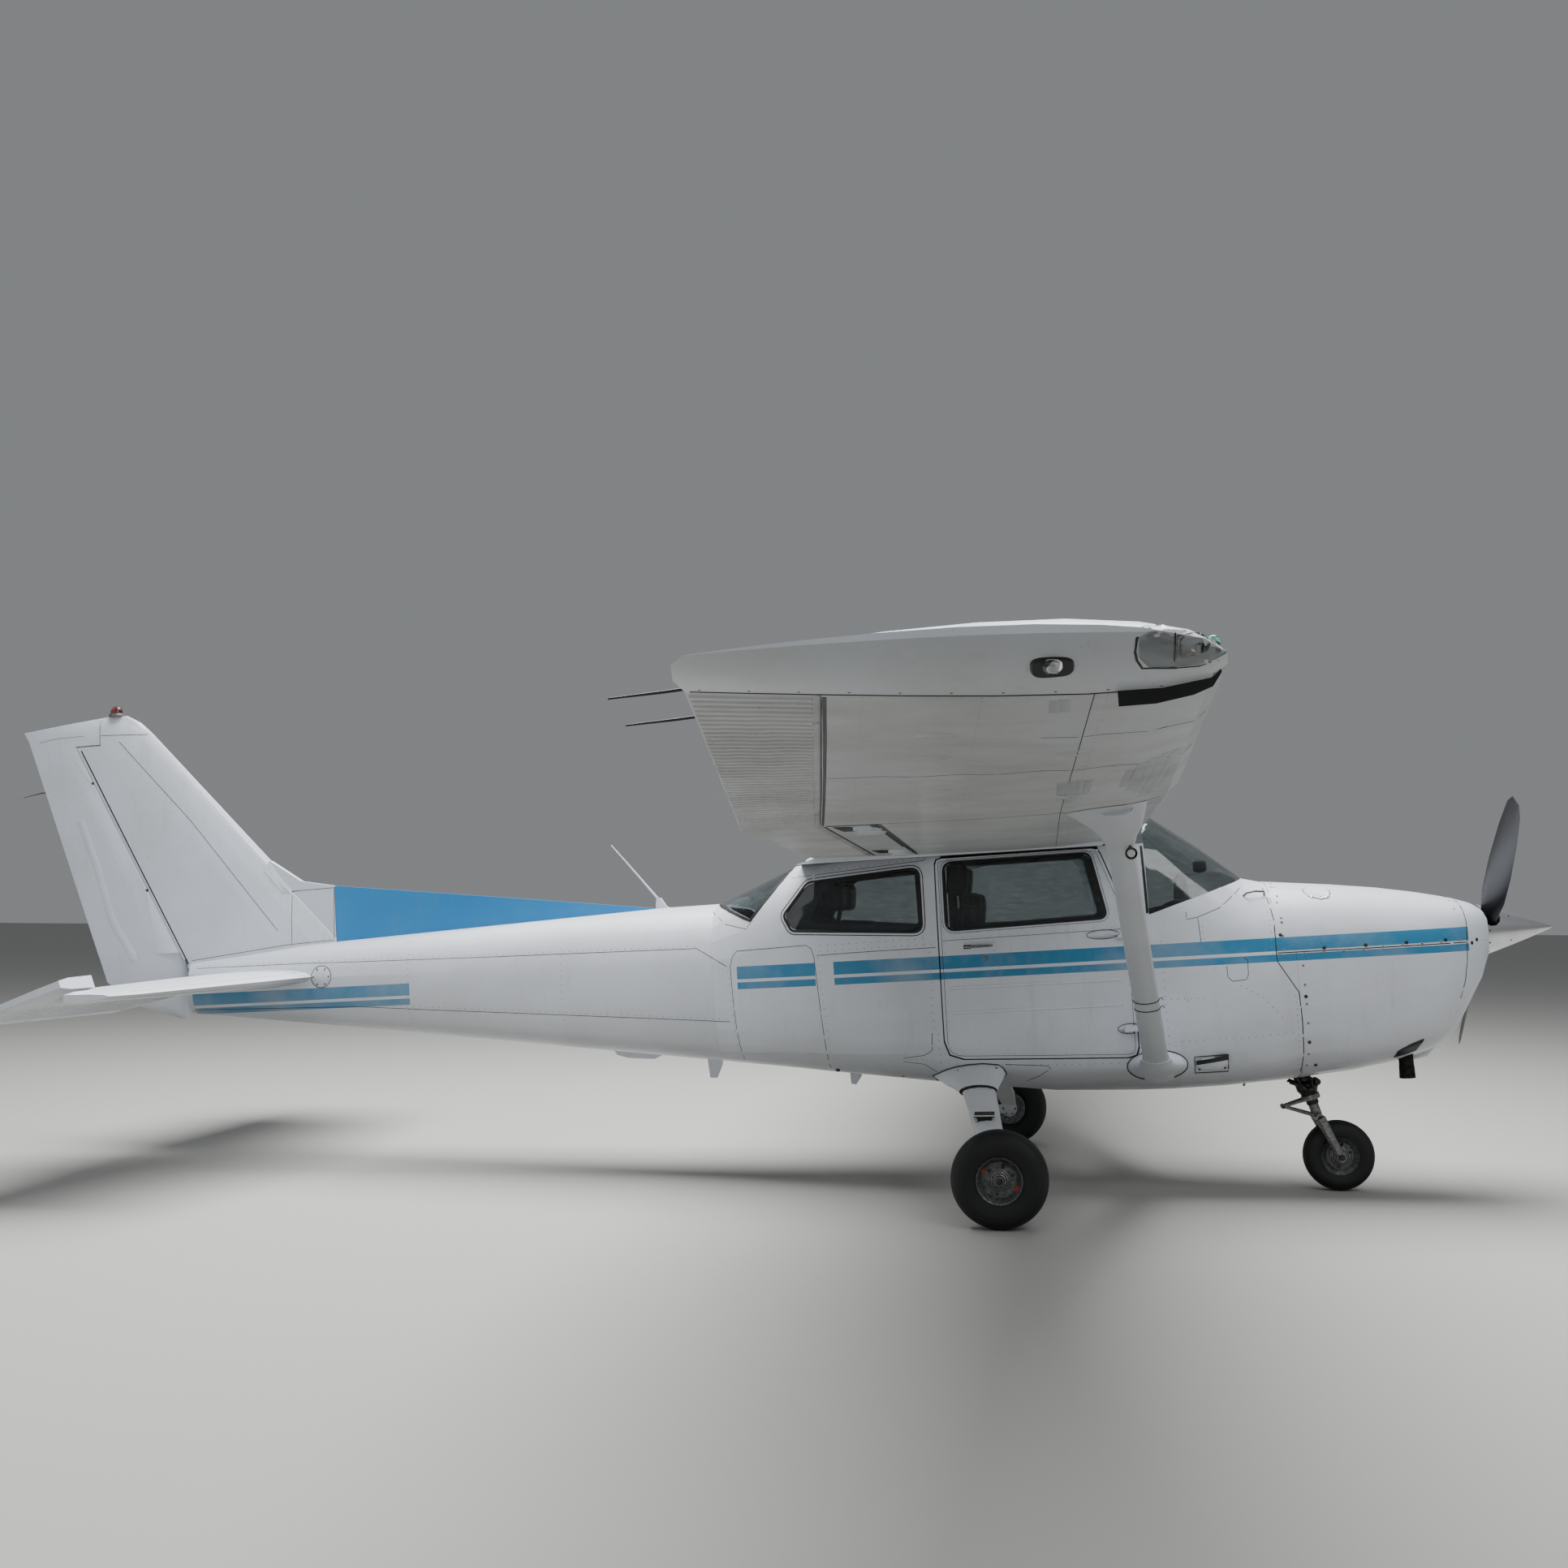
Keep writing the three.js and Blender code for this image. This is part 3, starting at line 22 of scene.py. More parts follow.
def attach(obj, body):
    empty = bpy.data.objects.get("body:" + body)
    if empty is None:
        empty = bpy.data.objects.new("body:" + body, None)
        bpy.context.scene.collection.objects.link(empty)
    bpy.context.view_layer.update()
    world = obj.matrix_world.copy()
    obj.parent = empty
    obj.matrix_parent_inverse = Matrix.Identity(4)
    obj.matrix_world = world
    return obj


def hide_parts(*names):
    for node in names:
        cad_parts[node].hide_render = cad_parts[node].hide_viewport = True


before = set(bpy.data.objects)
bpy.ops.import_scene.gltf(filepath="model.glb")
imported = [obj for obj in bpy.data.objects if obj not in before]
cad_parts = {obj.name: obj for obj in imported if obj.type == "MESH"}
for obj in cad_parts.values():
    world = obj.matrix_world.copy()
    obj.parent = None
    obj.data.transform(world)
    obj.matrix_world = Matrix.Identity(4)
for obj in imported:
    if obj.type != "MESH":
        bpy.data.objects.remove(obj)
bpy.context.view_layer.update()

LOG = logging.getLogger("aircraft")
Point2 = tuple[float, float]
Point3 = tuple[float, float, float]
Spot = tuple[Vector, Vector]

SIDES = {"left": 1, "right": -1}
HULL = ("upper_cowl", "lower_cowl", "forward_fuselage", "cabin_floor", "cabin_roof", "tailcone",
        "left_cabin_side", "right_cabin_side")


# Places


@dataclass(frozen=True)
class Stance:
    """How the airframe axes stand in the row frame: nose-up on the main wheels."""

    nose_up: float = math.radians(3.7)
    pivot_x: float = -1.478
    pivot_z: float = 0.213
    row_x: float = 1.44109

    def point(self, x: float, y: float, z: float) -> Vector:
        """Turns a point in airframe axes into the row frame.

        Args:
            x: the distance ahead of the engine bulkhead.
            y: the distance to port.
            z: the height along the fuselage.

        Returns:
            The same place in the row frame.
        """
        ahead, above = x - self.pivot_x, z - self.pivot_z
        cos, sin = math.cos(self.nose_up), math.sin(self.nose_up)
        return Vector((
            self.row_x + ahead * cos - above * sin,
            y,
            self.pivot_z + ahead * sin + above * cos,
        ))

    def turn(self, x: float, y: float, z: float) -> Vector:
        """Turns a direction in airframe axes into the row frame."""
        cos, sin = math.cos(self.nose_up), math.sin(self.nose_up)
        return Vector((x * cos - z * sin, y, x * sin + z * cos))

    def mapping(self) -> tuple[Point3, Point3]:
        """Gives the location and rotation of a Mapping node from row to airframe axes.

        Returns:
            The location and the rotation in radians.
        """
        cos, sin = math.cos(self.nose_up), math.sin(self.nose_up)
        shift_x = self.pivot_x - self.row_x * cos - self.pivot_z * sin
        shift_z = self.pivot_z + self.row_x * sin - self.pivot_z * cos
        return (shift_x, 0.0, shift_z), (0.0, self.nose_up, 0.0)


STANCE = Stance()
AHEAD, AFT = STANCE.turn(1, 0, 0), STANCE.turn(-1, 0, 0)
UP, DOWN = STANCE.turn(0, 0, 1), STANCE.turn(0, 0, -1)
PORT = Vector((0, 1, 0))


# Materials


class Slot(Enum):
    """The record's material slots."""

    WHITE = "white_paint"
    LEG = "leg_paint"
    BLUE = "blue_paint"
    DULL = "dull_white_paint"
    ALLOY = "bare_alloy"
    STEEL = "bare_steel"
    POLISHED = "polished_alloy"
    BLADE = "blade_paint"
    WINDOW = "window"
    BEACON = "beacon_lens"
    TYRE = "tyre"
    CLOTH = "upholstery"
    TRIM = "panel_trim"


def linear(colour: str, alpha: float = 1.0) -> tuple[float, float, float, float]:
    """Turns an sRGB hex colour into linear values.

    Args:
        colour: six hex digits after a hash sign.
        alpha: the fourth value.

    Returns:
        Linear red, green, blue and alpha.
    """
    parts = [int(colour[i:i + 2], 16) / 255 for i in (1, 3, 5)]
    light = [p / 12.92 if p <= 0.04045 else ((p + 0.055) / 1.055) ** 2.4 for p in parts]
    return light[0], light[1], light[2], alpha


Socket = bpy.types.NodeSocket


class Graph:
    """The node tree of one new material."""

    def __init__(self, name: str) -> None:
        """Starts an empty tree under a material's name.

        Args:
            name: the material's name.
        """
        self.material = bpy.data.materials.new(name)
        self.material.use_nodes = True
        self.tree = self.material.node_tree
        self.tree.nodes.clear()

    def add(
        self, kind: str, settings: dict | None = None, links: dict | None = None,
        out: int | str = 0,
    ) -> Socket:
        """Adds one node with its settings and links.

        Args:
            kind: the node type without its ShaderNode prefix.
            settings: node properties, input values by socket, and "stops" for a ramp.
            links: output sockets by the input socket that they feed.
            out: the output to give back.

        Returns:
            The chosen output socket.
        """
        node = self.tree.nodes.new("ShaderNode" + kind)
        for key, value in (settings or {}).items():
            if key == "stops":
                elements = node.color_ramp.elements
                while len(elements) < len(value):
                    elements.new(0.5)
                for element, (place, colour) in zip(elements, value):
                    element.position = place
                    element.color = colour if isinstance(colour, tuple) else (colour,) * 3 + (1,)
            elif key == "interpolation":
                node.color_ramp.interpolation = value
            elif isinstance(key, str) and hasattr(node, key):
                setattr(node, key, value)
            else:
                node.inputs[key].default_value = value
        for key, socket in (links or {}).items():
            self.tree.links.new(socket, node.inputs[key])
        return node.outputs[out] if len(node.outputs) else None

    def own(self) -> Socket:
        """Gives the point of the surface in its object's axes."""
        return self.add("TexCoord", out="Object")

    def places(self) -> Socket:
        """Gives the point of the surface in airframe axes.

        Returns:
            The socket that carries the point.
        """
        location, rotation = STANCE.mapping()
        return self.add(
            "Mapping", {"Location": location, "Rotation": rotation}, {"Vector": self.own()}
        )

    def noise(self, place: Socket, scale: float, detail: float, rough: float = 0.5) -> Socket:
        """Adds noise of a scale, a detail and a roughness."""
        settings = {"Scale": scale, "Detail": detail, "Roughness": rough}
        return self.add("TexNoise", settings, {"Vector": place})

    def remap(
        self, value: Socket, low: float, high: float, top: float, foot: float = 0.0
    ) -> Socket:
        """Maps the stretch from low to high onto foot to top, and holds it beyond."""
        ends = {"From Min": low, "From Max": high, "To Min": foot, "To Max": top}
        return self.add("MapRange", ends, {"Value": value})

    def join(self, operation: str, first: Socket, second: Socket | float) -> Socket:
        """Joins a value with another value or a number.

        Args:
            operation: the Math node's operation.
            first: the first value.
            second: the second value, a socket or a number.

        Returns:
            The socket of the result.
        """
        if isinstance(second, Socket):
            return self.add("Math", {"operation": operation}, {0: first, 1: second})
        return self.add("Math", {"operation": operation, 1: second}, {0: first})

    def blend(self, share: Socket, first: Socket | str, second: Socket | str) -> Socket:
        """Mixes two colours, each a socket or hex digits.

        Args:
            share: how much of the second colour shows.
            first: the first colour.
            second: the second colour.

        Returns:
            The socket of the mixed colour.
        """
        settings, links = {"data_type": "RGBA"}, {0: share}
        for key, colour in ((6, first), (7, second)):
            if isinstance(colour, str):
                settings[key] = linear(colour)
            else:
                links[key] = colour
        return self.add("Mix", settings, links, 2)

    def tones(self, value: Socket, low: float, first: str, high: float, second: str) -> Socket:
        """Runs from one hex colour to another between two levels of a value."""
        stops = [(low, linear(first)), (high, linear(second))]
        return self.add("ValToRGB", {"stops": stops}, {"Fac": value})

    def relief(self, height: Socket, strength: float, depth: float) -> Socket:
        """Turns a height into bumps of a strength and a depth in metres."""
        return self.add("Bump", {"Strength": strength, "Distance": depth}, {"Height": height})

    def finish(self, settings: dict, links: dict) -> bpy.types.Material:
        """Closes the tree with a Principled shader.

        Args:
            settings: constant shader values by socket name.
            links: output sockets by shader socket name.

        Returns:
            The material.
        """
        shader = self.add("BsdfPrincipled", settings, links)
        self.add("OutputMaterial", links={"Surface": shader})
        return self.material


# Paint stripes in airframe axes: where each runs along x, and the bands of the livery in z.
STRIPE_RUNS = ((-5.90, -4.565), (-2.781, -2.370), (-2.255, 0.762))
STRIPE_BANDS = ((1.063, 1.097), (1.113, 1.177))
STRIPE_SPAN_X = (-6.5, 1.5)
STRIPE_SPAN_Z = (0.9, 1.3)
# The cabin inside: the height of its axis and floor, and its ends along x.
CABIN_AXIS_Z = 1.1
CABIN_FLOOR_Z = 0.60
CABIN_ENDS = (-2.875, -0.125)
# Faces count as inner where their normal leans this far towards the cabin's axis.
INWARD = -0.03
# The share of a wave texture's unit that one yarn takes.
YARN_WAVE = 0.31


@dataclass(frozen=True)
class SheetEnamel:
    """Enamel sprayed on riveted alloy sheet: an old, thin gloss over slightly wavy panels."""

    name: str
    colour: str
    stain: str
    striped: bool = False
    lined: bool = False
    roughness: float = 0.34
    stained: float = 0.45
    grime_top: float = 0.62
    # how far faces that look down are greyed: part dirt film, part painted shade
    under: float = 0.35
    streak: Point3 = (5.0, 5.0, 0.7)
    dents: Point2 = (3.1, 0.006)

    def marked(
        self, graph: Graph, value: Socket, span: Point2, runs: Sequence[Point2]
    ) -> Socket:
        """Marks the stretches of a coordinate that lie in given runs.

        Args:
            graph: the material's graph.
            value: the coordinate.
            span: the lowest and highest coordinate of the ramp.
            runs: start and end of each marked run.

        Returns:
            One inside the runs and zero outside.
        """
        stops = [(0.0, 0.0)]
        for run in runs:
            stops += [((edge - span[0]) / (span[1] - span[0]), level)
                      for edge, level in zip(run, (1.0, 0.0))]
        share = graph.remap(value, *span, 1.0)
        return graph.add(
            "ValToRGB", {"interpolation": "CONSTANT", "stops": stops}, {"Fac": share}
        )

    def lining(
        self, graph: Graph, place: Socket, axes: Sequence[Socket], outside: Socket
    ) -> Socket:
        """Colours the faces that look into the cabin: grey vinyl walls and dark carpet.

        Args:
            graph: the material's graph.
            place: the point in airframe axes.
            axes: its three coordinates.
            outside: the colour of the outer faces.

        Returns:
            The colour of both.
        """
        from_axis = graph.add(
            "VectorMath",
            {"operation": "MULTIPLY_ADD", 1: (0.0, 1.0, 1.0), 2: (0.0, 0.0, -CABIN_AXIS_Z)},
            {0: place},
        )
        facing = graph.add(
            "VectorMath", {"operation": "DOT_PRODUCT"},
            {0: graph.add("TexCoord", out="Normal"), 1: from_axis}, "Value",
        )
        ahead = graph.join("GREATER_THAN", axes[0], CABIN_ENDS[0])
        behind = graph.join("LESS_THAN", axes[0], CABIN_ENDS[1])
        between = graph.join("MULTIPLY", ahead, behind)
        lined = graph.join("MULTIPLY", graph.join("LESS_THAN", facing, INWARD), between)
        vinyl = graph.tones(graph.noise(place, 14.0, 6.0), 0.3, "#3f3e3d", 0.75, "#62615e")
        low = graph.join("LESS_THAN", axes[2], CABIN_FLOOR_Z)
        return graph.blend(lined, outside, graph.blend(low, vinyl, "#262526"))

    def build(self) -> bpy.types.Material:
        """Makes the material.

        Returns:
            The material.
        """
        graph = Graph(self.name)
        place = graph.places()
        axes = graph.add("SeparateXYZ", links={0: place}).node.outputs
        colour = self.colour
        if self.striped:
            along = self.marked(graph, axes[0], STRIPE_SPAN_X, STRIPE_RUNS)
            up = self.marked(graph, axes[2], STRIPE_SPAN_Z, STRIPE_BANDS)
            colour = graph.blend(graph.join("MULTIPLY", along, up), colour, "#2480ad")
        # Old enamel yellows and greys in soft clouds some 0.4 m across.
        clouds = graph.noise(place, 2.4, 5.0, 0.6)
        colour = graph.blend(graph.remap(clouds, 0.42, 0.75, self.stained), colour, self.stain)
        # Rain leaves streaks that run down the sheet, about 30 mm apart.
        stretched = graph.add("Mapping", {"Scale": self.streak}, {"Vector": place})
        rain = graph.remap(graph.noise(stretched, 3.2, 6.0, 0.7), 0.56, 0.86, 0.30)
        colour = graph.blend(rain, colour, "#8d8a83")
        # Road dirt and exhaust soot sit low on the belly.
        low = graph.remap(axes[2], self.grime_top, self.grime_top - 0.22, 0.75)
        soot = graph.join("MULTIPLY", low, graph.noise(place, 7.0, 8.0, 0.65))
        colour = graph.blend(soot, colour, "#5d5a54")
        # Specks of bitumen and insects, a few millimetres each.
        specks = graph.remap(graph.noise(place, 95.0, 2.0), 0.72, 0.76, 0.55)
        colour = graph.blend(specks, colour, "#6d6961")
        # Faces that look down are greyed. Part of this is a film of dirt that rain never washes
        # off, and part is painted shade on the undersides.
        facing = graph.add("SeparateXYZ", links={0: graph.add("TexCoord", out="Normal")}, out=2)
        colour = graph.blend(graph.remap(facing, 0.15, -0.7, self.under), colour, "#75746f")
        if self.lined:
            colour = self.lining(graph, place, axes, colour)
        rough = graph.remap(clouds, 0.3, 0.8, self.roughness + 0.22, self.roughness)
        dented = graph.relief(graph.noise(place, self.dents[0], 1.0), 0.35, self.dents[1])
        return graph.finish(
            {"Coat Weight": 0.15, "Coat Roughness": 0.12, "IOR": 1.5},
            {"Base Color": colour, "Roughness": rough, "Normal": dented},
        )


@dataclass(frozen=True)
class BareMetal:
    """Unpainted metal: cast, machined or polished, dulled by handling and dust."""

    name: str
    colour: str
    stain: str
    roughness: float = 0.38
    spread: float = 0.2
    scale: float = 60.0

    def build(self) -> bpy.types.Material:
        """Makes the material.

        Returns:
            The material.
        """
        graph = Graph(self.name)
        marks = graph.noise(graph.own(), self.scale, 6.0, 0.65)
        colour = graph.tones(marks, 0.35, self.stain, 0.7, self.colour)
        rough = graph.remap(marks, 0.3, 0.75, self.roughness, self.roughness + self.spread)
        scratches = graph.relief(marks, 0.12, 0.0004)
        return graph.finish(
            {"Metallic": 1.0}, {"Base Color": colour, "Roughness": rough, "Normal": scratches}
        )


@dataclass(frozen=True)
class Rubber:
    """Moulded rubber with a film of dust: tyres, seals and the beads around windows."""

    name: str
    colour: str
    dust: str
    dusted: float
    roughness: float

    def build(self) -> bpy.types.Material:
        """Makes the material.

        Returns:
            The material.
        """
        graph = Graph(self.name)
        place = graph.own()
        film = graph.remap(graph.noise(place, 22.0, 8.0, 0.7), 0.4, 0.8, self.dusted)
        colour = graph.blend(film, self.colour, self.dust)
        grain = graph.relief(graph.noise(place, 420.0, 3.0), 0.25, 0.0006)
        return graph.finish(
            {"Roughness": self.roughness, "IOR": 1.52}, {"Base Color": colour, "Normal": grain}
        )


@dataclass(frozen=True)
class ClearSheet:
    """Cast acrylic or glass: clear, a little tinted, with wipe marks."""

    name: str
    tint: str = "#cfd6d6"
    roughness: float = 0.015
    ior: float = 1.49

    def build(self) -> bpy.types.Material:
        """Makes the material.

        Returns:
            The material.
        """
        graph = Graph(self.name)
        stretched = graph.add("Mapping", {"Scale": (3.0, 3.0, 14.0)}, {"Vector": graph.own()})
        wiped = graph.noise(stretched, 5.0, 6.0)
        haze = graph.remap(wiped, 0.5, 0.85, self.roughness + 0.1, self.roughness)
        colour = graph.tones(wiped, 0.3, self.tint, 0.9, "#a9b2b3")
        return graph.finish(
            {"Transmission Weight": 1.0, "IOR": self.ior},
            {"Base Color": colour, "Roughness": haze},
        )


@dataclass(frozen=True)
class WovenCloth:
    """Woven seat cloth of thick yarn, drawn at 5 mm so that it shows."""

    name: str
    colour: str
    shade: str
    yarn: float = 0.005

    def build(self) -> bpy.types.Material:
        """Makes the material.

        Returns:
            The material.
        """
        graph = Graph(self.name)
        place = graph.own()
        weft, warp = (
            graph.add(
                "TexWave",
                {"Scale": YARN_WAVE / self.yarn, "bands_direction": run, "Distortion": 1.2},
                {"Vector": place},
            )
            for run in "ZY"
        )
        weave = graph.join("MULTIPLY", weft, warp)
        tone = graph.add(
            "Math", {"operation": "MULTIPLY_ADD", 1: 0.5},
            {0: weave, 2: graph.noise(place, 9.0, 5.0)},
        )
        colour = graph.tones(tone, 0.3, self.shade, 1.0, self.colour)
        return graph.finish(
            {"Roughness": 0.9, "Sheen Weight": 0.25, "Sheen Roughness": 0.5},
            {"Base Color": colour, "Normal": graph.relief(weave, 0.5, 0.001)},
        )


@dataclass(frozen=True)
class MouldedPlastic:
    """Moulded or crackle-painted trim with a fine grain."""

    name: str
    colour: str
    shade: str
    roughness: float = 0.55
    grain: float = 300.0

    def build(self) -> bpy.types.Material:
        """Makes the material.

        Returns:
            The material.
        """
        graph = Graph(self.name)
        place = graph.own()
        colour = graph.tones(graph.noise(place, 11.0, 6.0), 0.3, self.shade, 0.75, self.colour)
        crackle = graph.add("TexVoronoi", {"Scale": self.grain}, {"Vector": place})
        return graph.finish(
            {"Roughness": self.roughness},
            {"Base Color": colour, "Normal": graph.relief(crackle, 0.3, 0.0005)},
        )


class Finishes:
    """Every finish of the aircraft, each made once."""

    def __init__(self) -> None:
        """Makes the materials."""
        self.white = SheetEnamel("white_enamel_on_sheet", "#d9dee8", "#bfc1c3", striped=True,
                                 under=0.5).build()
        self.plain = SheetEnamel("plain_white_enamel", "#dae0ea", "#c0c2c3", grime_top=0.5,
                                 under=0.5).build()
        self.cabin = SheetEnamel(
            "white_enamel_on_lined_sheet", "#d9dee8", "#bfc1c3", striped=True, lined=True,
            under=0.5,
        ).build()
        self.blue = SheetEnamel("blue_enamel_on_sheet", "#1c84c6", "#3d92c2", stained=0.3).build()
        self.wing = SheetEnamel(
            "dull_enamel_on_wing", "#d0d2d5", "#a5a5a1", stained=0.7, under=0.55,
            dents=(7.0, 0.020), roughness=0.46,
            grime_top=-1.0, streak=(0.8, 6.0, 5.0),
        ).build()
        self.leg = SheetEnamel(
            "enamel_on_spring_steel", "#d3d6db", "#b2b1ad", stained=0.5, grime_top=0.35
        ).build()
        self.alloy = BareMetal("cast_alloy", "#a1a3a4", "#767673", roughness=0.46).build()
        self.steel = BareMetal("greasy_steel", "#5d5c5a", "#262523", roughness=0.42).build()
        self.rim = BareMetal("sprayed_wheel_casting", "#86888b", "#585857", roughness=0.5).build()
        self.polished = BareMetal(
            "spun_polished_alloy", "#dcdde0", "#c4c5c6", roughness=0.27, spread=0.06,
            scale=5.0,
        ).build()
        self.sooty = BareMetal("sooty_steel_pipe", "#3a3735", "#171615", roughness=0.5).build()
        self.blade = MouldedPlastic(
            "satin_blade_paint", "#1d1e23", "#15161a", roughness=0.42, grain=120.0
        ).build()
        self.trimming = MouldedPlastic(
            "vinyl_window_trim", "#3a3c43", "#2c2d31", roughness=0.55, grain=150.0
        ).build()
        self.tyre = Rubber("tyre_rubber", "#050608", "#141415", 0.3, 0.62).build()
        self.seal = Rubber("window_rubber", "#0d0d0e", "#2c2b29", 0.3, 0.5).build()
        self.sealant = Rubber("dirt_in_seam", "#2a2926", "#55524c", 0.4, 0.85).build()
        # Rivet heads, screw heads and the door windows' frame lines are a darker grey than the
        # sheet. Part of this is dirt round them, and part is painted shade of their small drop
        # shadows.
        self.rivet = SheetEnamel(
            "enamel_on_rivets", "#8f9090", "#666561", stained=0.8, grime_top=-1.0
        ).build()
        self.worn = SheetEnamel(
            "worn_enamel_on_wing", "#aeb0b4", "#929397", stained=0.8, under=0.5, grime_top=-1.0
        ).build()
        self.window = ClearSheet("acrylic_window", roughness=0.035).build()
        self.lens = ClearSheet("clear_lens", "#f2f4f4", 0.01, 1.5).build()
        self.red_lens = ClearSheet("red_lens", "#c4160f", 0.03, 1.5).build()
        self.green_lens = ClearSheet("green_lens", "#0c8a4a", 0.03, 1.5).build()
        self.cloth = WovenCloth("grey_seat_cloth", "#62656b", "#33353a").build()
        self.vinyl = MouldedPlastic("seat_vinyl", "#3c3e43", "#26272b", 0.5, 220.0).build()
        self.crackle = MouldedPlastic("crackle_panel_paint", "#1c1c1e", "#101011").build()
        self.lining = MouldedPlastic("cabin_lining", "#6f6e6b", "#4b4a48", 0.7, 160.0).build()
        self.carpet = WovenCloth("floor_carpet", "#3d3c3c", "#201f20", 0.006).build()
        self.dial = MouldedPlastic("dial_face", "#0b0b0c", "#060607", 0.3, 500.0).build()
        self.marks = MouldedPlastic("dial_marks", "#e8e8e2", "#d5d5cf", 0.5, 500.0).build()
        self.red_paint = MouldedPlastic("slip_mark_paint", "#b3261c", "#8c2119", 0.5).build()


PAINT: Finishes


def show(piece: bpy.types.Object, material: bpy.types.Material) -> None:
    """Gives an object one material."""
    piece.data.materials.clear()
    piece.data.materials.append(material)


def smooth(piece: bpy.types.Object, angle: float = 30.0) -> None:
    """Shades a CAD node smoothly between its real edges, with modifiers alone.

    Args:
        piece: the node's object.
        angle: the angle of a real edge, in degrees.
    """
    mesh = piece.data
    mesh.polygons.foreach_set("use_smooth", [True] * len(mesh.polygons))
    if "custom_normal" in mesh.attributes:
        mesh.attributes.remove(mesh.attributes["custom_normal"])
    weld = piece.modifiers.new("weld", "WELD")
    weld.merge_threshold = 2e-5
    edges = piece.modifiers.new("edges", "EDGE_SPLIT")
    edges.split_angle = math.radians(angle)
    edges.use_edge_sharp = False
    mesh.update()


# Mesh tools

# How far strips, plates and studs sink into the skin, and how far flat trim stands off it.
STRIP_SINK = 0.0008
PLATE_SINK = 0.001
STUD_SINK = 0.0006
SEAM_RISE = 0.0006
RIVET_RISE = 0.0013
# The share of a strip's width that its upper face takes.
STRIP_TOP = 0.7
# Edges sharper than this stay sharp on smooth pieces.
SHARP = math.radians(42)


def circle(count: int, start: float = 0.0) -> list[Point2]:
    """Gives the cosines and sines of even steps around a circle."""
    turns = [start + 2 * math.pi * k / count for k in range(count)]
    return [(math.cos(turn), math.sin(turn)) for turn in turns]


def raised(spot: Spot, rise: float) -> Spot:
    """Lifts a surface point along its normal."""
    return spot[0] + spot[1] * rise, spot[1]


class Pen:
    """Collects small closed shapes in the row frame and makes one piece of them."""

    def __init__(self) -> None:
        """Starts empty."""
        self.points: list[Vector] = []
        self.faces: list[list[int]] = []

    def shape(self, points: Iterable[Vector], faces: Iterable[Sequence[int]]) -> None:
        """Adds points and the faces among them.

        Args:
            points: the shape's points.
            faces: the numbers of the points of each face.
        """
        base = len(self.points)
        self.points.extend(points)
        self.faces.extend([base + k for k in face] for face in faces)

    def rings(self, rings: Sequence[Sequence[Vector]], closed: bool = False) -> None:
        """Skins a row of equal rings, with flat ends unless the row closes on itself.

        Args:
            rings: the rings, each with the same number of points.
            closed: whether the last ring joins the first one.
        """
        count = len(rings[0])
        faces: list[list[int]] = []
        last = len(rings) if closed else len(rings) - 1
        for k in range(last):
            a, b = k * count, (k + 1) % len(rings) * count
            for i in range(count):
                j = (i + 1) % count
                faces.append([a + i, a + j, b + j, b + i])
        if not closed:
            faces.append(list(range(count))[::-1])
            end = (len(rings) - 1) * count
            faces.append([end + i for i in range(count)])
        self.shape([point for ring in rings for point in ring], faces)

    def ribbon(
        self, spots: Sequence[Spot], width: float, height: float, closed: bool = False
    ) -> None:
        """Lays a flat strip along points on a surface.

        Args:
            spots: surface points with their normals, in order.
            width: the strip's width.
            height: how far it stands off the surface.
            closed: whether its end meets its start.
        """
        if len(spots) < 2:
            return
        rings = []
        for k, (point, normal) in enumerate(spots):
            before = spots[k - 1][0] if k or closed else point
            after = spots[(k + 1) % len(spots)][0] if k + 1 < len(spots) or closed else point
            along = (after - before).normalized()
            across = normal.cross(along).normalized() * (width / 2)
            low, high = point - normal * STRIP_SINK, point + normal * height
            rings.append([low - across, low + across,
                          high + across * STRIP_TOP, high - across * STRIP_TOP])
        self.rings(rings, closed)

    def stud(
        self, spot: Spot, radius: float, height: float, sides: int = 6, flat: float = 0.0
    ) -> None:
        """Sets a rivet, screw or disc on a surface.

        Args:
            spot: the surface point and its normal.
            radius: the radius of its foot.
            height: how far it stands up.
            sides: the number of its sides.
            flat: the share of the radius that is flat on top.
        """
        point, normal = spot
        side = normal.orthogonal().normalized()
        other = normal.cross(side)
        ring = [side * cos + other * sin for cos, sin in circle(sides)]
        foot = [point - normal * STUD_SINK + r * radius for r in ring]
        if not flat:
            faces = [list(range(sides))[::-1]]
            faces += [[k, (k + 1) % sides, sides] for k in range(sides)]
            self.shape([*foot, point + normal * height], faces)
            return
        top = [point + normal * height + r * radius * flat for r in ring]
        waist = [point + normal * height * 0.6 + r * radius for r in ring]
        self.rings([foot, waist, top])

    def plate(self, spots: Sequence[Spot], height: float, edge: float = 0.86) -> None:
        """Covers a closed outline on a surface with a thin plate that slopes at its rim.

        Args:
            spots: the outline's points and normals, without a repeated end.
            height: how far the plate stands up.
            edge: the share of the outline that its flat top fills.
        """
        if len(spots) < 3:
            return
        middle = sum((point for point, _ in spots), Vector()) / len(spots)
        normal = sum((n for _, n in spots), Vector()).normalized()
        foot = [point - n * PLATE_SINK for point, n in spots]
        top = [middle + (point - middle) * edge + n * height for point, n in spots]
        count = len(spots)
        faces = [[k, (k + 1) % count, count + (k + 1) % count, count + k] for k in range(count)]
        faces += [[count + k, count + (k + 1) % count, 2 * count] for k in range(count)]
        faces += [[(k + 1) % count, k, 2 * count + 1] for k in range(count)]
        rise = sum(((p - middle).dot(normal) for p in top), 0.0) / count
        self.shape([*foot, *top, middle + normal * rise, middle - normal * 0.002], faces)

    def ring(
        self, centre: Vector, axis: Vector, radius: float, wire: float, sides: int = 20
    ) -> None:
        """Bends a round wire into a ring."""
        profile = [(radius + wire * cos, wire * sin) for cos, sin in circle(8)]
        self.lathe(centre, axis, profile, sides)

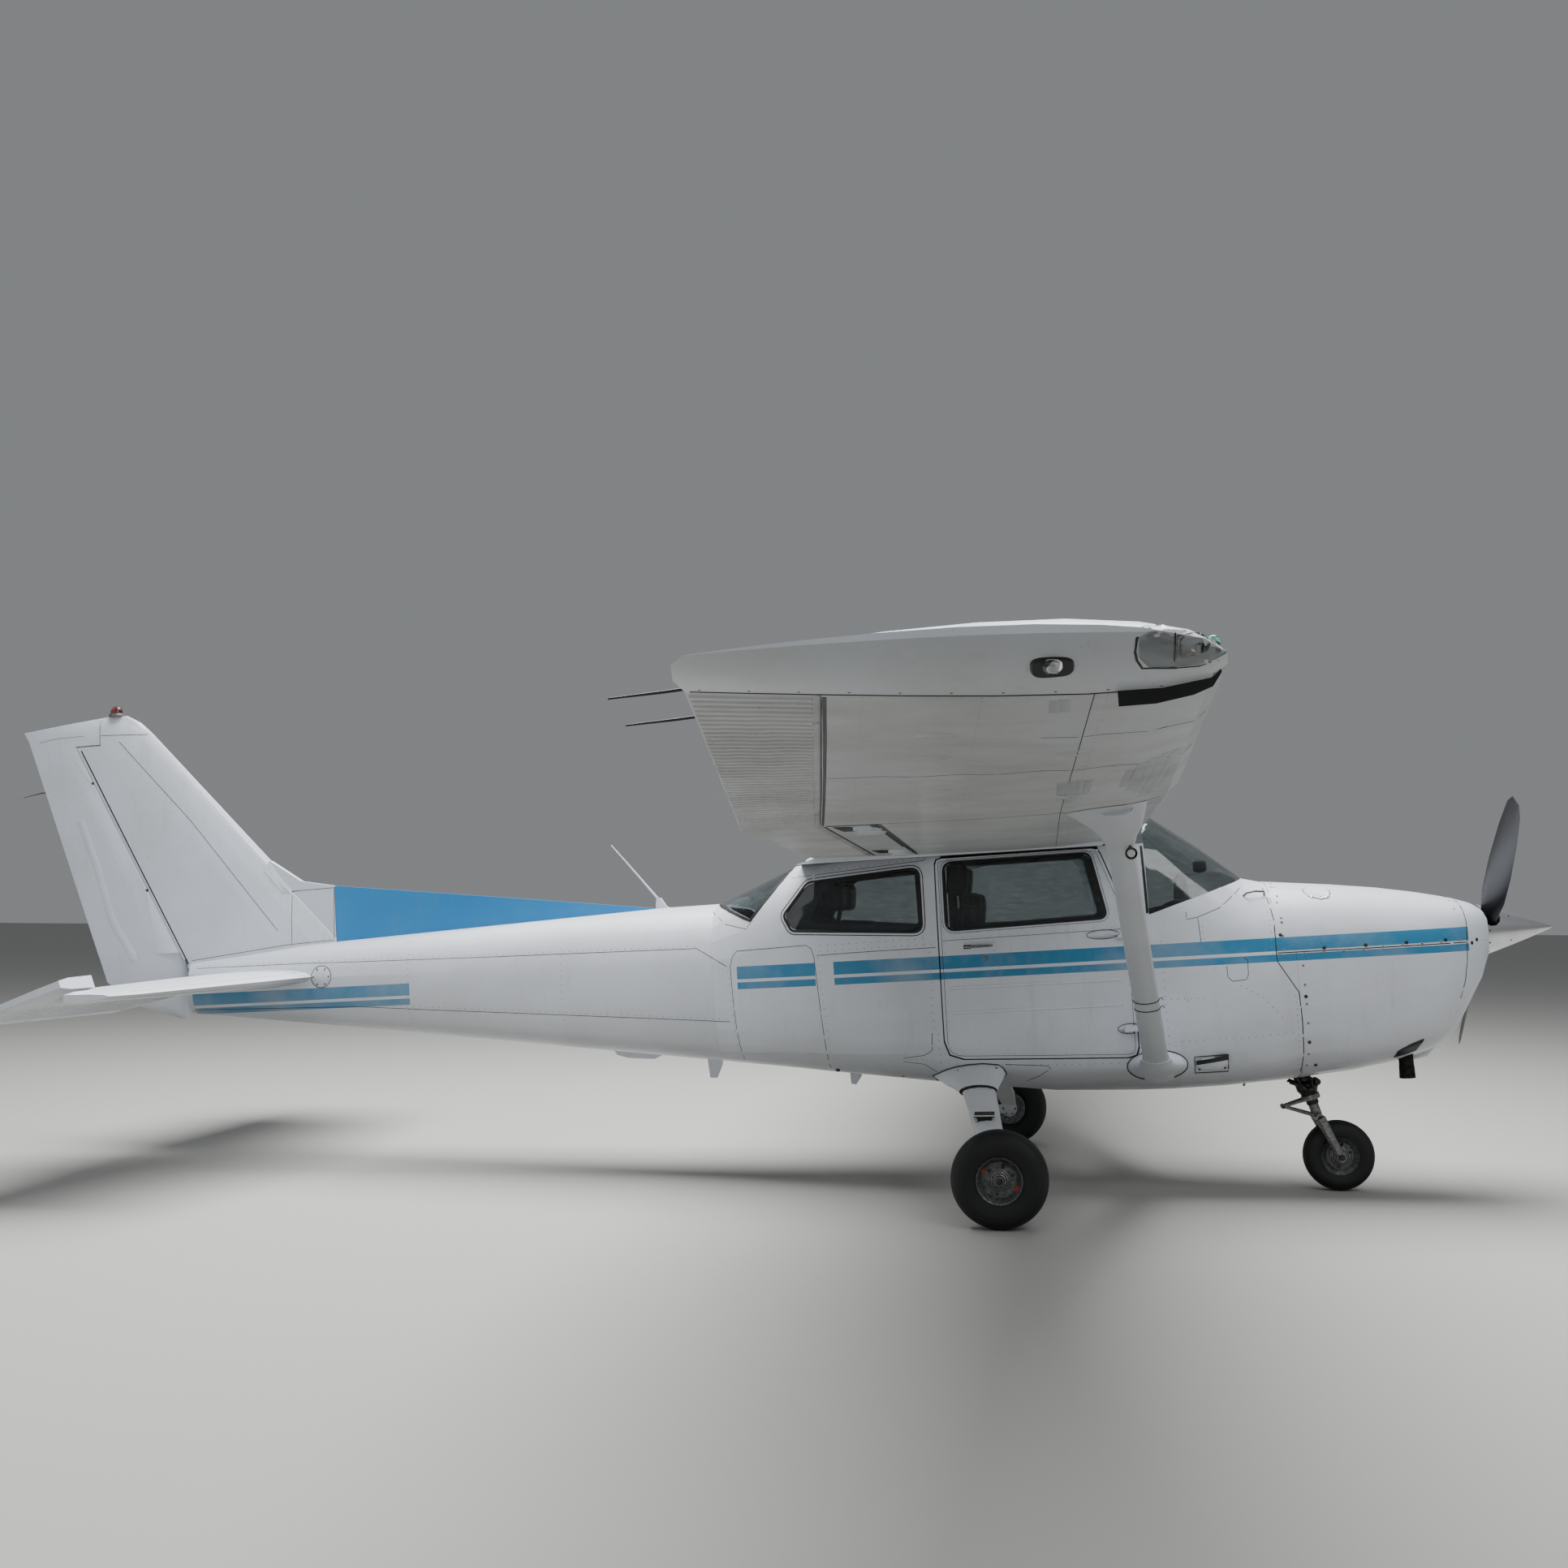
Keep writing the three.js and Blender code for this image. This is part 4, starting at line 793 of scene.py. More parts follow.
    def tube(
        self, path: Sequence[Vector], radius: float | Sequence[float], sides: int = 8
    ) -> None:
        """Runs a round bar along a path.

        Args:
            path: the points of its axis.
            radius: one radius, or one for each point.
            sides: the number of its sides.
        """
        radii = [radius] * len(path) if isinstance(radius, (int, float)) else list(radius)
        rings = []
        side = None
        for k, point in enumerate(path):
            along = (path[min(k + 1, len(path) - 1)] - path[max(k - 1, 0)]).normalized()
            if side is None:
                side = along.orthogonal().normalized()
            side = (side - along * side.dot(along)).normalized()
            other = along.cross(side)
            rings.append([point + (side * cos + other * sin) * radii[k]
                          for cos, sin in circle(sides)])
        self.rings(rings)

    def lathe(
        self, centre: Vector, axis: Vector, profile: Sequence[Point2], sides: int = 48
    ) -> None:
        """Turns a closed profile around an axis.

        Args:
            centre: a point on the axis.
            axis: the axis's direction.
            profile: radius and distance along the axis, all around a closed section.
            sides: the number of steps around.
        """
        axis = axis.normalized()
        side = axis.orthogonal().normalized()
        other = axis.cross(side)
        outs = [side * cos + other * sin for cos, sin in circle(sides)]
        self.rings([[centre + out * r + axis * w for r, w in profile] for out in outs],
                   closed=True)

    def block(
        self, centre: Vector, axes: Sequence[Vector], size: Point3, bevel: float = 0.0
    ) -> None:
        """Adds a box with chamfered ends along its third axis.

        Args:
            centre: its middle.
            axes: three directions.
            size: full lengths along them.
            bevel: the chamfer.
        """
        x, y, z = [axis.normalized() for axis in axes]
        a, b, c = [length / 2 for length in size]
        rings = []
        for depth, inset in ((-c, bevel), (-c + bevel, 0), (c - bevel, 0), (c, bevel)):
            if not bevel and abs(depth) < c:
                continue
            rings.append([
                centre + x * sx * (a - inset) + y * sy * (b - inset) + z * depth
                for sx, sy in ((1, 1), (-1, 1), (-1, -1), (1, -1))
            ])
        self.rings(rings if bevel else [rings[0], rings[-1]])

    def make(
        self, name: str, slot: Slot, material: bpy.types.Material, body: str = "airframe",
        soft: bool = True,
    ) -> bpy.types.Object | None:
        """Args:
            name: its name.
            slot: its material slot; not used.
            material: its finish.
            body: the body that it rides on.
            soft: whether it is shaded smoothly.

        Returns:
            The new object, or None if nothing was drawn.
        """
        if not self.faces:
            return None
        mesh = bpy.data.meshes.new(name)
        mesh.from_pydata([tuple(p) for p in self.points], [], self.faces)
        self.points, self.faces = [], []
        mesh.validate()
        piece = bpy.data.objects.new(name, mesh)
        bpy.context.scene.collection.objects.link(piece)
        outward(mesh)
        if soft:
            mesh.polygons.foreach_set("use_smooth", [True] * len(mesh.polygons))
            mesh.set_sharp_from_angle(angle=SHARP)
        show(piece, material)
        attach(piece, body)
        LOG.info("%s: %d faces on %s", name, len(mesh.polygons), body)
        return piece


def outward(mesh: bpy.types.Mesh) -> None:
    """Turns every face of closed shells outward.

    Args:
        mesh: the mesh that is changed.
    """
    shell = bmesh.new()
    shell.from_mesh(mesh)
    bmesh.ops.recalc_face_normals(shell, faces=shell.faces)
    shell.to_mesh(mesh)
    shell.free()


class Skin:
    """The outer surface of some CAD nodes, on which trim is laid."""

    def __init__(self, *nodes: str) -> None:
        """Gathers the nodes' faces into one search tree."""
        points: list[Vector] = []
        faces: list[tuple[int, ...]] = []
        for name in nodes:
            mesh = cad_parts[name].data
            base = len(points)
            points.extend(v.co.copy() for v in mesh.vertices)
            faces.extend(tuple(base + k for k in p.vertices) for p in mesh.polygons)
        self.tree = BVHTree.FromPolygons(points, faces)

    def cast(self, start: Vector, direction: Vector) -> Spot | None:
        """Finds where a ray first meets the skin.

        Args:
            start: where the ray starts.
            direction: the way it goes.

        Returns:
            The point and its normal, or None where the ray misses.
        """
        point, normal, _, _ = self.tree.ray_cast(start, direction)
        if point is None:
            return None
        return point, normal if normal.dot(direction) < 0 else -normal

    def beside(self, x: float, z: float, side: int) -> Spot | None:
        """Meets the skin from one side at a place in airframe axes."""
        return self.cast(STANCE.point(x, side * 7.0, z), PORT * -side)

    def under(self, x: float, y: float) -> Spot | None:
        """Meets the skin from below at a place in airframe axes."""
        return self.cast(STANCE.point(x, y, -1.0), UP)

    def over(self, x: float, y: float) -> Spot | None:
        """Meets the skin from above at a place in airframe axes."""
        return self.cast(STANCE.point(x, y, 4.0), DOWN)

    def follow(
        self,
        meet: Callable[..., Spot | None],
        path: Sequence[Point2],
        *where: int,
        step: float = 0.03,
    ) -> list[Spot]:
        """Lays a path of straight stretches on the skin.

        Args:
            meet: how each point meets the skin.
            path: the path's corners in two airframe coordinates.
            where: further arguments of meet.
            step: the longest distance between points.

        Returns:
            The points on the skin with their normals.
        """
        spots = []
        for k, (a, b) in enumerate(zip(path, path[1:])):
            count = max(1, math.ceil(math.dist(a, b) / step))
            for i in range(0 if k == 0 else 1, count + 1):
                t = i / count
                spot = meet(a[0] + (b[0] - a[0]) * t, a[1] + (b[1] - a[1]) * t, *where)
                if spot:
                    spots.append(spot)
        return spots


def grown(path: Sequence[Point2], distance: float) -> list[Point2]:
    """Moves a closed convex outline outward, given with its first point repeated.

    Args:
        path: the outline.
        distance: how far outward, or inward where it is negative.

    Returns:
        The moved outline.
    """
    points = list(path[:-1])
    cx = sum(x for x, _ in points) / len(points)
    cz = sum(z for _, z in points) / len(points)
    moved = []
    for k, (x, z) in enumerate(points):
        before, after = points[k - 1], points[(k + 1) % len(points)]
        normal = Vector((after[1] - before[1], before[0] - after[0])).normalized()
        if normal.dot(Vector((x - cx, z - cz))) < 0:
            normal = -normal
        moved.append((x + normal.x * distance, z + normal.y * distance))
    return [*moved, moved[0]]


def oval(x: float, z: float, a: float, b: float, steps: int = 28) -> list[Point2]:
    """Gives the points of an ellipse, its first one repeated at the end."""
    points = [(x + a * cos, z + b * sin) for cos, sin in circle(steps)]
    return [*points, points[0]]


def rounded(corners: Sequence[tuple[float, float, float]], steps: int = 4) -> list[Point2]:
    """Rounds the corners of a closed outline.

    Args:
        corners: x, z and radius of each corner.
        steps: the number of steps around a corner.

    Returns:
        The outline's points, its first one repeated at the end.
    """
    points: list[Point2] = []
    for k, (x, z, radius) in enumerate(corners):
        here = Vector((x, z))
        back = (Vector(corners[k - 1][:2]) - here).normalized()
        ahead = (Vector(corners[(k + 1) % len(corners)][:2]) - here).normalized()
        angle = back.angle(ahead)
        reach = radius / math.tan(angle / 2)
        start, end = here + back * reach, here + ahead * reach
        for i in range(steps + 1):
            t = i / steps
            bend = start * (1 - t) ** 2 + here * 2 * t * (1 - t) + end * t ** 2
            points.append((bend.x, bend.y))
    return [*points, points[0]]


def lay(
    pen: Pen, skin: Skin, meet: str, paths: Iterable[Sequence[Point2]], width: float,
    height: float, *where: int, closed: bool = False,
) -> None:
    """Lays a strip along each path.

    Args:
        pen: what draws it.
        skin: the surface.
        meet: the name of the skin's method that meets it.
        paths: the paths in two airframe coordinates.
        width: the strip's width.
        height: how far it stands up.
        where: further arguments of the method.
        closed: whether each path closes on itself.
    """
    for path in paths:
        spots = skin.follow(getattr(skin, meet), path, *where)
        pen.ribbon(spots[:-1] if closed else spots, width, height, closed)


def rivet(
    pen: Pen, skin: Skin, meet: str, paths: Iterable[Sequence[Point2]], pitch: float,
    *where: int, radius: float = 0.0034, height: float = RIVET_RISE,
) -> None:
    """Sets rivet heads along each path.

    Args:
        pen: what draws them.
        skin: the surface.
        meet: the name of the skin's method that meets it.
        paths: the paths in two airframe coordinates.
        pitch: the distance between rivets.
        where: further arguments of the method.
        radius: the radius of a head.
        height: how far it stands up.
    """
    for path in paths:
        for spot in skin.follow(getattr(skin, meet), path, *where, step=pitch):
            pen.stud(spot, radius, height)


def cover(
    pen: Pen, skin: Skin, meet: str, outline: Sequence[Point2], height: float, edge: float,
    *where: int, step: float = 0.03,
) -> None:
    """Covers an outline with a thin plate.

    Args:
        pen: what draws it.
        skin: the surface.
        meet: the name of the skin's method that meets it.
        outline: the outline in two airframe coordinates, its first point repeated.
        height: how far the plate stands up.
        edge: the share of the outline that its flat top fills.
        where: further arguments of the method.
        step: the longest distance between points.
    """
    pen.plate(skin.follow(getattr(skin, meet), outline, *where, step=step)[:-1], height, edge)


# Sub-assemblies


@dataclass
class Airframe:
    """The fuselage: its sheet seams and rivets."""

    seam_width: float = 0.0036
    nose_seam_width: float = 0.0056
    nose_x: float = -0.15
    rivet_radius: float = 0.0045
    rivet_pitch: float = 0.038
    seams: tuple = (
        # the corners of each lap in x and z
        ((-5.85, 1.318), (-5.19, 1.314), (-4.87, 1.307), (-4.10, 1.294), (-2.96, 1.280),
         (-2.80, 1.180)),
        ((-5.85, 1.09), (-4.876, 1.067), (-4.40, 1.028), (-3.795, 0.981), (-2.80, 0.903)),
        ((-2.784, 1.180), (-2.779, 1.04), (-2.772, 0.895), (-2.757, 0.70)),
        ((-2.346, 1.209), (-2.332, 1.0), (-2.319, 0.80), (-2.310, 0.645)),
        ((-2.331, 1.214), (-2.13, 1.2185), (-1.738, 1.222)),
        ((-2.889, 1.461), (-2.802, 1.393), (-2.691, 1.363), (-2.657, 1.411)),
        ((-2.458, 1.607), (-2.321, 1.614), (-1.77, 1.6515), (-1.764, 1.664)),
        ((-1.783, 0.8065), (-1.79, 0.7216), (-1.83, 0.698), (-1.933, 0.688), (-1.934, 0.67),
         (-1.834, 0.653), (-1.776, 0.611)),
        ((-0.530, 1.325), (-0.530, 1.288), (-0.477, 1.297), (-0.369, 1.336), (-0.250, 1.430)),
        ((-0.477, 1.293), (-0.470, 1.178)),
        ((-0.145, 1.436), (-0.142, 1.418), (-0.120, 1.262), (-0.124, 1.09), (-0.119, 1.061),
         (-0.033, 0.915), (-0.027, 0.774), (-0.028, 0.622), (-0.039, 0.529)),
        ((-0.119, 1.105), (0.10, 1.105), (0.48, 1.105), (0.765, 1.105)),
        ((-0.359, 1.057), (-0.357, 1.004), (-0.336, 0.983), (-0.272, 0.988), (-0.261, 1.011),
         (-0.259, 1.0815), (-0.276, 1.091)),
        ((0.770, 1.30), (0.776, 1.256), (0.778, 1.196), (0.765, 1.019), (0.749, 0.925),
         (0.72, 0.84)),
        ((-1.438, 0.637), (-1.240, 0.622), (-1.222, 0.608), (-1.275, 0.574), (-1.343, 0.546)),
    )

    rivets: tuple = (
        # the ends and corners of each row in x and z
        ((-5.85, 1.330), (-4.87, 1.319), (-4.10, 1.306), (-2.97, 1.292)),
        ((-4.95, 1.083), (-4.40, 1.042), (-3.795, 0.995), (-2.82, 0.917)),
        ((-4.565, 1.40), (-4.575, 1.04)),
        ((-4.575, 1.02), (-4.575, 0.93)),
        ((-3.70, 1.46), (-3.70, 0.80)),
        ((-2.797, 1.16), (-2.772, 0.71)),
        ((-2.326, 1.20), (-2.290, 0.66)),
        ((-2.31, 1.232), (-1.76, 1.240)),
        ((-2.31, 1.262), (-1.80, 1.268)),
        ((-2.45, 1.618), (-1.80, 1.662)),
        ((-1.768, 1.20), (-1.772, 0.83)),
        ((-1.752, 0.80), (-1.752, 0.66)),
        ((-1.90, 0.679), (-1.84, 0.676)),
        ((-1.60, 0.635), (-0.86, 0.618)),
        ((-1.56, 0.668), (-0.87, 0.642)),
        ((-0.631, 0.912), (-0.475, 0.910)),
        ((-0.594, 0.709), (-0.282, 0.712), (-0.075, 0.726)),
        ((-0.050, 0.90), (-0.047, 0.774), (-0.048, 0.622), (-0.058, 0.54)),
        ((-0.139, 1.24), (-0.143, 1.10)),
        ((-0.162, 1.41), (-0.139, 1.262)),
        ((-0.46, 1.25), (-0.455, 1.19)),
        ((-0.66, 1.23), (-0.655, 0.70)),
        ((-0.30, 0.96), (-0.20, 0.90), (-0.12, 0.80)),
    )

    starboard: tuple = (
        # the lap where the port side has its baggage door, and the oil door's edge
        ((-2.784, 1.180), (-2.767, 1.232), (-2.745, 1.256), (-2.384, 1.267), (-2.359, 1.250),
         (-2.346, 1.209)),
        ((0.041, 1.400), (0.074, 1.381), (0.119, 1.360), (0.166, 1.3696), (0.1736, 1.387)),
    )

    def build(self) -> None:
        """Lays the dirt-filled laps and sets the rivets of both sides."""
        skin = Skin(*HULL, "baggage_door")
        seams, rivets = Pen(), Pen()
        for side in SIDES.values():
            for path in self.seams:
                width = self.nose_seam_width if path[0][0] > self.nose_x else self.seam_width
                lay(seams, skin, "beside", [path], width, SEAM_RISE, side)
            rivet(rivets, skin, "beside", self.rivets, self.rivet_pitch, side,
                  radius=self.rivet_radius)
        seams.make("fuselage_seams", Slot.WHITE, PAINT.sealant)
        rivets.make("fuselage_rivets", Slot.WHITE, PAINT.rivet)
        lay(seams, skin, "beside", self.starboard, self.seam_width, SEAM_RISE, SIDES["right"])
        seams.make("starboard_panel_seams", Slot.WHITE, PAINT.sealant)


DOOR = ((-0.800, 0.645, 0.05), (-0.800, 1.300, 0.04), (-0.925, 1.658, 0.03),
        (-1.716, 1.654, 0.03), (-1.724, 0.676, 0.09))
DOOR_WINDOW = ((-0.907, 1.322, 0.03), (-0.970, 1.632, 0.03), (-1.674, 1.628, 0.04),
               (-1.677, 1.304, 0.04))
REAR_SIDE_WINDOW = ((-1.802, 1.303, 0.04), (-1.802, 1.613, 0.04), (-2.362, 1.574, 0.045),
                    (-2.490, 1.420, 0.03), (-2.452, 1.345, 0.03))


# The middle of the oval where a wing strut meets the fuselage.
STRUT_FOOT = (-0.716, 0.599)
# The line of the windshield's foot in the middle plane, from its side corners to its front.
WINDSHIELD_FOOT = ((-0.705, 1.322), (-0.060, 1.522))


@dataclass
class Glazing:
    """The rubber beads and frames round the windows."""

    bead: float = 0.013
    stand: float = 0.0028
    fan: float = math.radians(86)
    rays: int = 90

    def build(self) -> None:
        """Lays a bead round each window."""
        for name, side in SIDES.items():
            self.side_window(Skin(f"{name}_door", f"{name}_door_window"), side,
                             f"{name}_door_window", DOOR_WINDOW, f"{name}_door")
            self.side_window(Skin(f"{name}_cabin_side", f"{name}_rear_side_window"), side,
                             f"{name}_side_window", REAR_SIDE_WINDOW, "airframe")
        self.windshield()
        self.rear_window()
        self.roof()

    def side_window(
        self, skin: Skin, side: int, name: str, corners: Sequence[Point3], body: str
    ) -> None:
        """Lays the rubber bead and the line of the frame round a side window.

        Args:
            skin: the wall and its glass.
            side: 1 to port, -1 to starboard.
            name: the start of the pieces' names.
            corners: the window's outline.
            body: the body that they ride on.
        """
        pen, window = Pen(), rounded(corners)
        lay(pen, skin, "beside", [grown(window, 0.004)], self.bead, self.stand, side, closed=True)
        pen.make(f"{name}_rubber", Slot.TRIM, PAINT.seal, body)
        door = body != "airframe"
        away, width, height = (0.019, 0.004, 0.0012) if door else (0.021, 0.005, 0.0014)
        lay(pen, skin, "beside", [grown(window, away)], width, height, side, closed=True)
        if door:
            rivet(pen, skin, "beside", [grown(window, 0.024)], 0.055, side, radius=0.003)
        pen.make(f"{name}_frame", Slot.WHITE, PAINT.rivet if door else PAINT.sealant, body)

    def roof(self) -> None:
        """Draws the lap joints and rivets of the roof skin."""
        roof = Skin("cabin_roof")
        joints = [[(x, -0.52), (x, 0.52)] for x in (-0.860, -1.300, -1.740)]
        pen = Pen()
        lay(pen, roof, "over", joints, 0.004, 0.0010)
        pen.make("roof_seams", Slot.TRIM, PAINT.sealant)
        rivet(pen, roof, "over", [[(x + 0.012, y) for x, y in line] for line in joints], 0.045,
              radius=0.003)
        pen.make("roof_rivets", Slot.WHITE, PAINT.rivet)

    def windshield(self) -> None:
        """Lays the bead and the dark band along the windshield's foot and sides."""
        skin = Skin("windshield", "forward_fuselage")
        (x0, z0), (x1, z1) = WINDSHIELD_FOOT
        along = STANCE.turn(x1 - x0, 0, z1 - z0).normalized()
        middle = STANCE.point(x0, 0, z0)
        spots = []
        for k in range(self.rays + 1):
            turn = self.fan * (2 * k / self.rays - 1)
            way = along * math.cos(turn) + Vector((0, math.sin(turn), 0))
            spot = skin.cast(middle + way * 1.5, -way)
            if spot:
                spots.append(spot)
        pen = Pen()
        pen.ribbon(spots, 0.010, 0.0024)
        for side in SIDES.values():
            lay(pen, skin, "beside", [((-0.712, 1.330), (-0.716, 1.655))], 0.014, 0.003, side)
        pen.make("windshield_rubber", Slot.TRIM, PAINT.seal)

    def rear_window(self) -> None:
        """Lays the bead round the rear window."""
        skin = Skin("rear_window", "left_cabin_side", "right_cabin_side", "cabin_roof", "tailcone")
        pen = Pen()
        edge = ((-2.404, 1.715), (-2.672, 1.405), (-2.866, 1.496))
        for side in SIDES.values():
            lay(pen, skin, "beside", [edge], 0.018, 0.003, side)
        ends = [((x, -half), (x, half)) for x, half in ((-2.868, 0.12), (-2.398, 0.26))]
        lay(pen, skin, "over", ends, 0.018, 0.003)
        pen.make("rear_window_rubber", Slot.TRIM, PAINT.seal)


@dataclass
class Doors:
    """The cabin doors: lap lines, pressed beads, handles and locks."""

    handle_x: tuple[float, float] = (-1.61, -1.44)
    handle_z: float = 1.216
    blisters: tuple = (
        # x, z and half sizes
        (-0.930, 1.240, 0.075, 0.020), (-0.832, 0.783, 0.057, 0.022),
    )

    def build(self) -> None:
        """Dresses both cabin doors and the baggage door."""
        for name, side in SIDES.items():
            self.skin_lines(name, side)
            self.handle(name, side)
        self.baggage()

    def skin_lines(self, name: str, side: int) -> None:
        """Draws the door skin's edge lap, its beads and its rivets.

        Args:
            name: the side, left or right.
            side: 1 for port, -1 for starboard.
        """
        body = f"{name}_door"
        skin, pen, outline = Skin(body), Pen(), rounded(DOOR)
        beads = [((-0.86, z), (-1.68, z)) for z in (1.02, 0.90)]
        lay(pen, skin, "beside", beads, 0.016, 0.003, side)
        for x, z, half, high in self.blisters:
            cover(pen, skin, "beside", oval(x, z, half, high), 0.010, 0.5, side)
        pen.make(f"{body}_beads", Slot.WHITE, PAINT.plain, body)
        lay(pen, skin, "beside", [grown(outline, -0.014)], 0.0026, SEAM_RISE, side, closed=True)
        lay(pen, skin, "beside", [((-0.83, 1.262), (-1.70, 1.252))], 0.0026, SEAM_RISE, side)
        edges = [oval(x, z, half + 0.002, high + 0.002) for x, z, half, high in self.blisters]
        lay(pen, skin, "beside", edges, 0.0036, 0.0016, side, closed=True)
        pen.make(f"{body}_seams", Slot.WHITE, PAINT.sealant, body)
        rivet(pen, skin, "beside", [grown(outline, -0.024)], 0.05, side, radius=0.003)
        rivet(pen, skin, "beside", [((-0.84, 1.272), (-1.69, 1.264))], 0.045, side, radius=0.003)
        pen.make(f"{body}_rivets", Slot.WHITE, PAINT.rivet, body)

    def handle(self, name: str, side: int) -> None:
        """Adds the pull handle with its plate, a dark block of painted shade for its recess, and
        the key lock.

        Args:
            name: the side, left or right.
            side: 1 for port, -1 for starboard.
        """
        body = f"{name}_door"
        skin, pen = Skin(body), Pen()
        (low, high), z = self.handle_x, self.handle_z
        plate = rounded(((low, z - 0.021, 0.01), (low, z + 0.018, 0.01),
                         (high, z + 0.022, 0.01), (high, z - 0.026, 0.01)))
        cover(pen, skin, "beside", plate, 0.003, 0.93, side)
        pen.make(f"{body}_handle_plate", Slot.WHITE, PAINT.plain, body)
        spot = skin.beside(low + 0.026, z, side)
        # A thin dark block on the plate: painted shade in the handle's recess.
        pen.block(raised(spot, 0.0032)[0], (AHEAD, UP, spot[1]), (0.036, 0.020, 0.0016), 0.0006)
        pen.make(f"{body}_handle_pocket_shade", Slot.TRIM, PAINT.seal, body)
        path = [skin.beside(x, z, side)[0] + PORT * side * lift
                for x, lift in ((low + 0.012, 0.004), (low + 0.03, 0.013), (low + 0.09, 0.015),
                                (high - 0.02, 0.013))]
        pen.tube(path, [0.004, 0.0065, 0.0065, 0.0045], 10)
        pen.stud(skin.beside(-1.50, 1.155, side), 0.011, 0.004, 20, 0.85)
        pen.make(f"{body}_handle", Slot.ALLOY, PAINT.alloy, body)

    def baggage(self) -> None:
        """Adds the baggage door's rivets and latch."""
        body = "baggage_door"
        skin, pen = Skin(body), Pen()
        outline = rounded(((-2.425, 0.780, 0.04), (-2.425, 1.270, 0.04), (-2.800, 1.270, 0.04),
                           (-2.800, 0.800, 0.04)))
        rivet(pen, skin, "beside", [grown(outline, -0.018)], 0.045, 1, radius=0.003)
        pen.make("baggage_door_rivets", Slot.WHITE, PAINT.rivet, body)
        spot = skin.beside(-2.765, 1.04, 1)
        pen.stud(spot, 0.020, 0.003, 24, 0.9)
        pen.block(raised(spot, 0.006)[0], (AHEAD, UP, spot[1]), (0.034, 0.009, 0.008), 0.002)
        pen.make("baggage_door_latch", Slot.POLISHED, PAINT.polished, body)


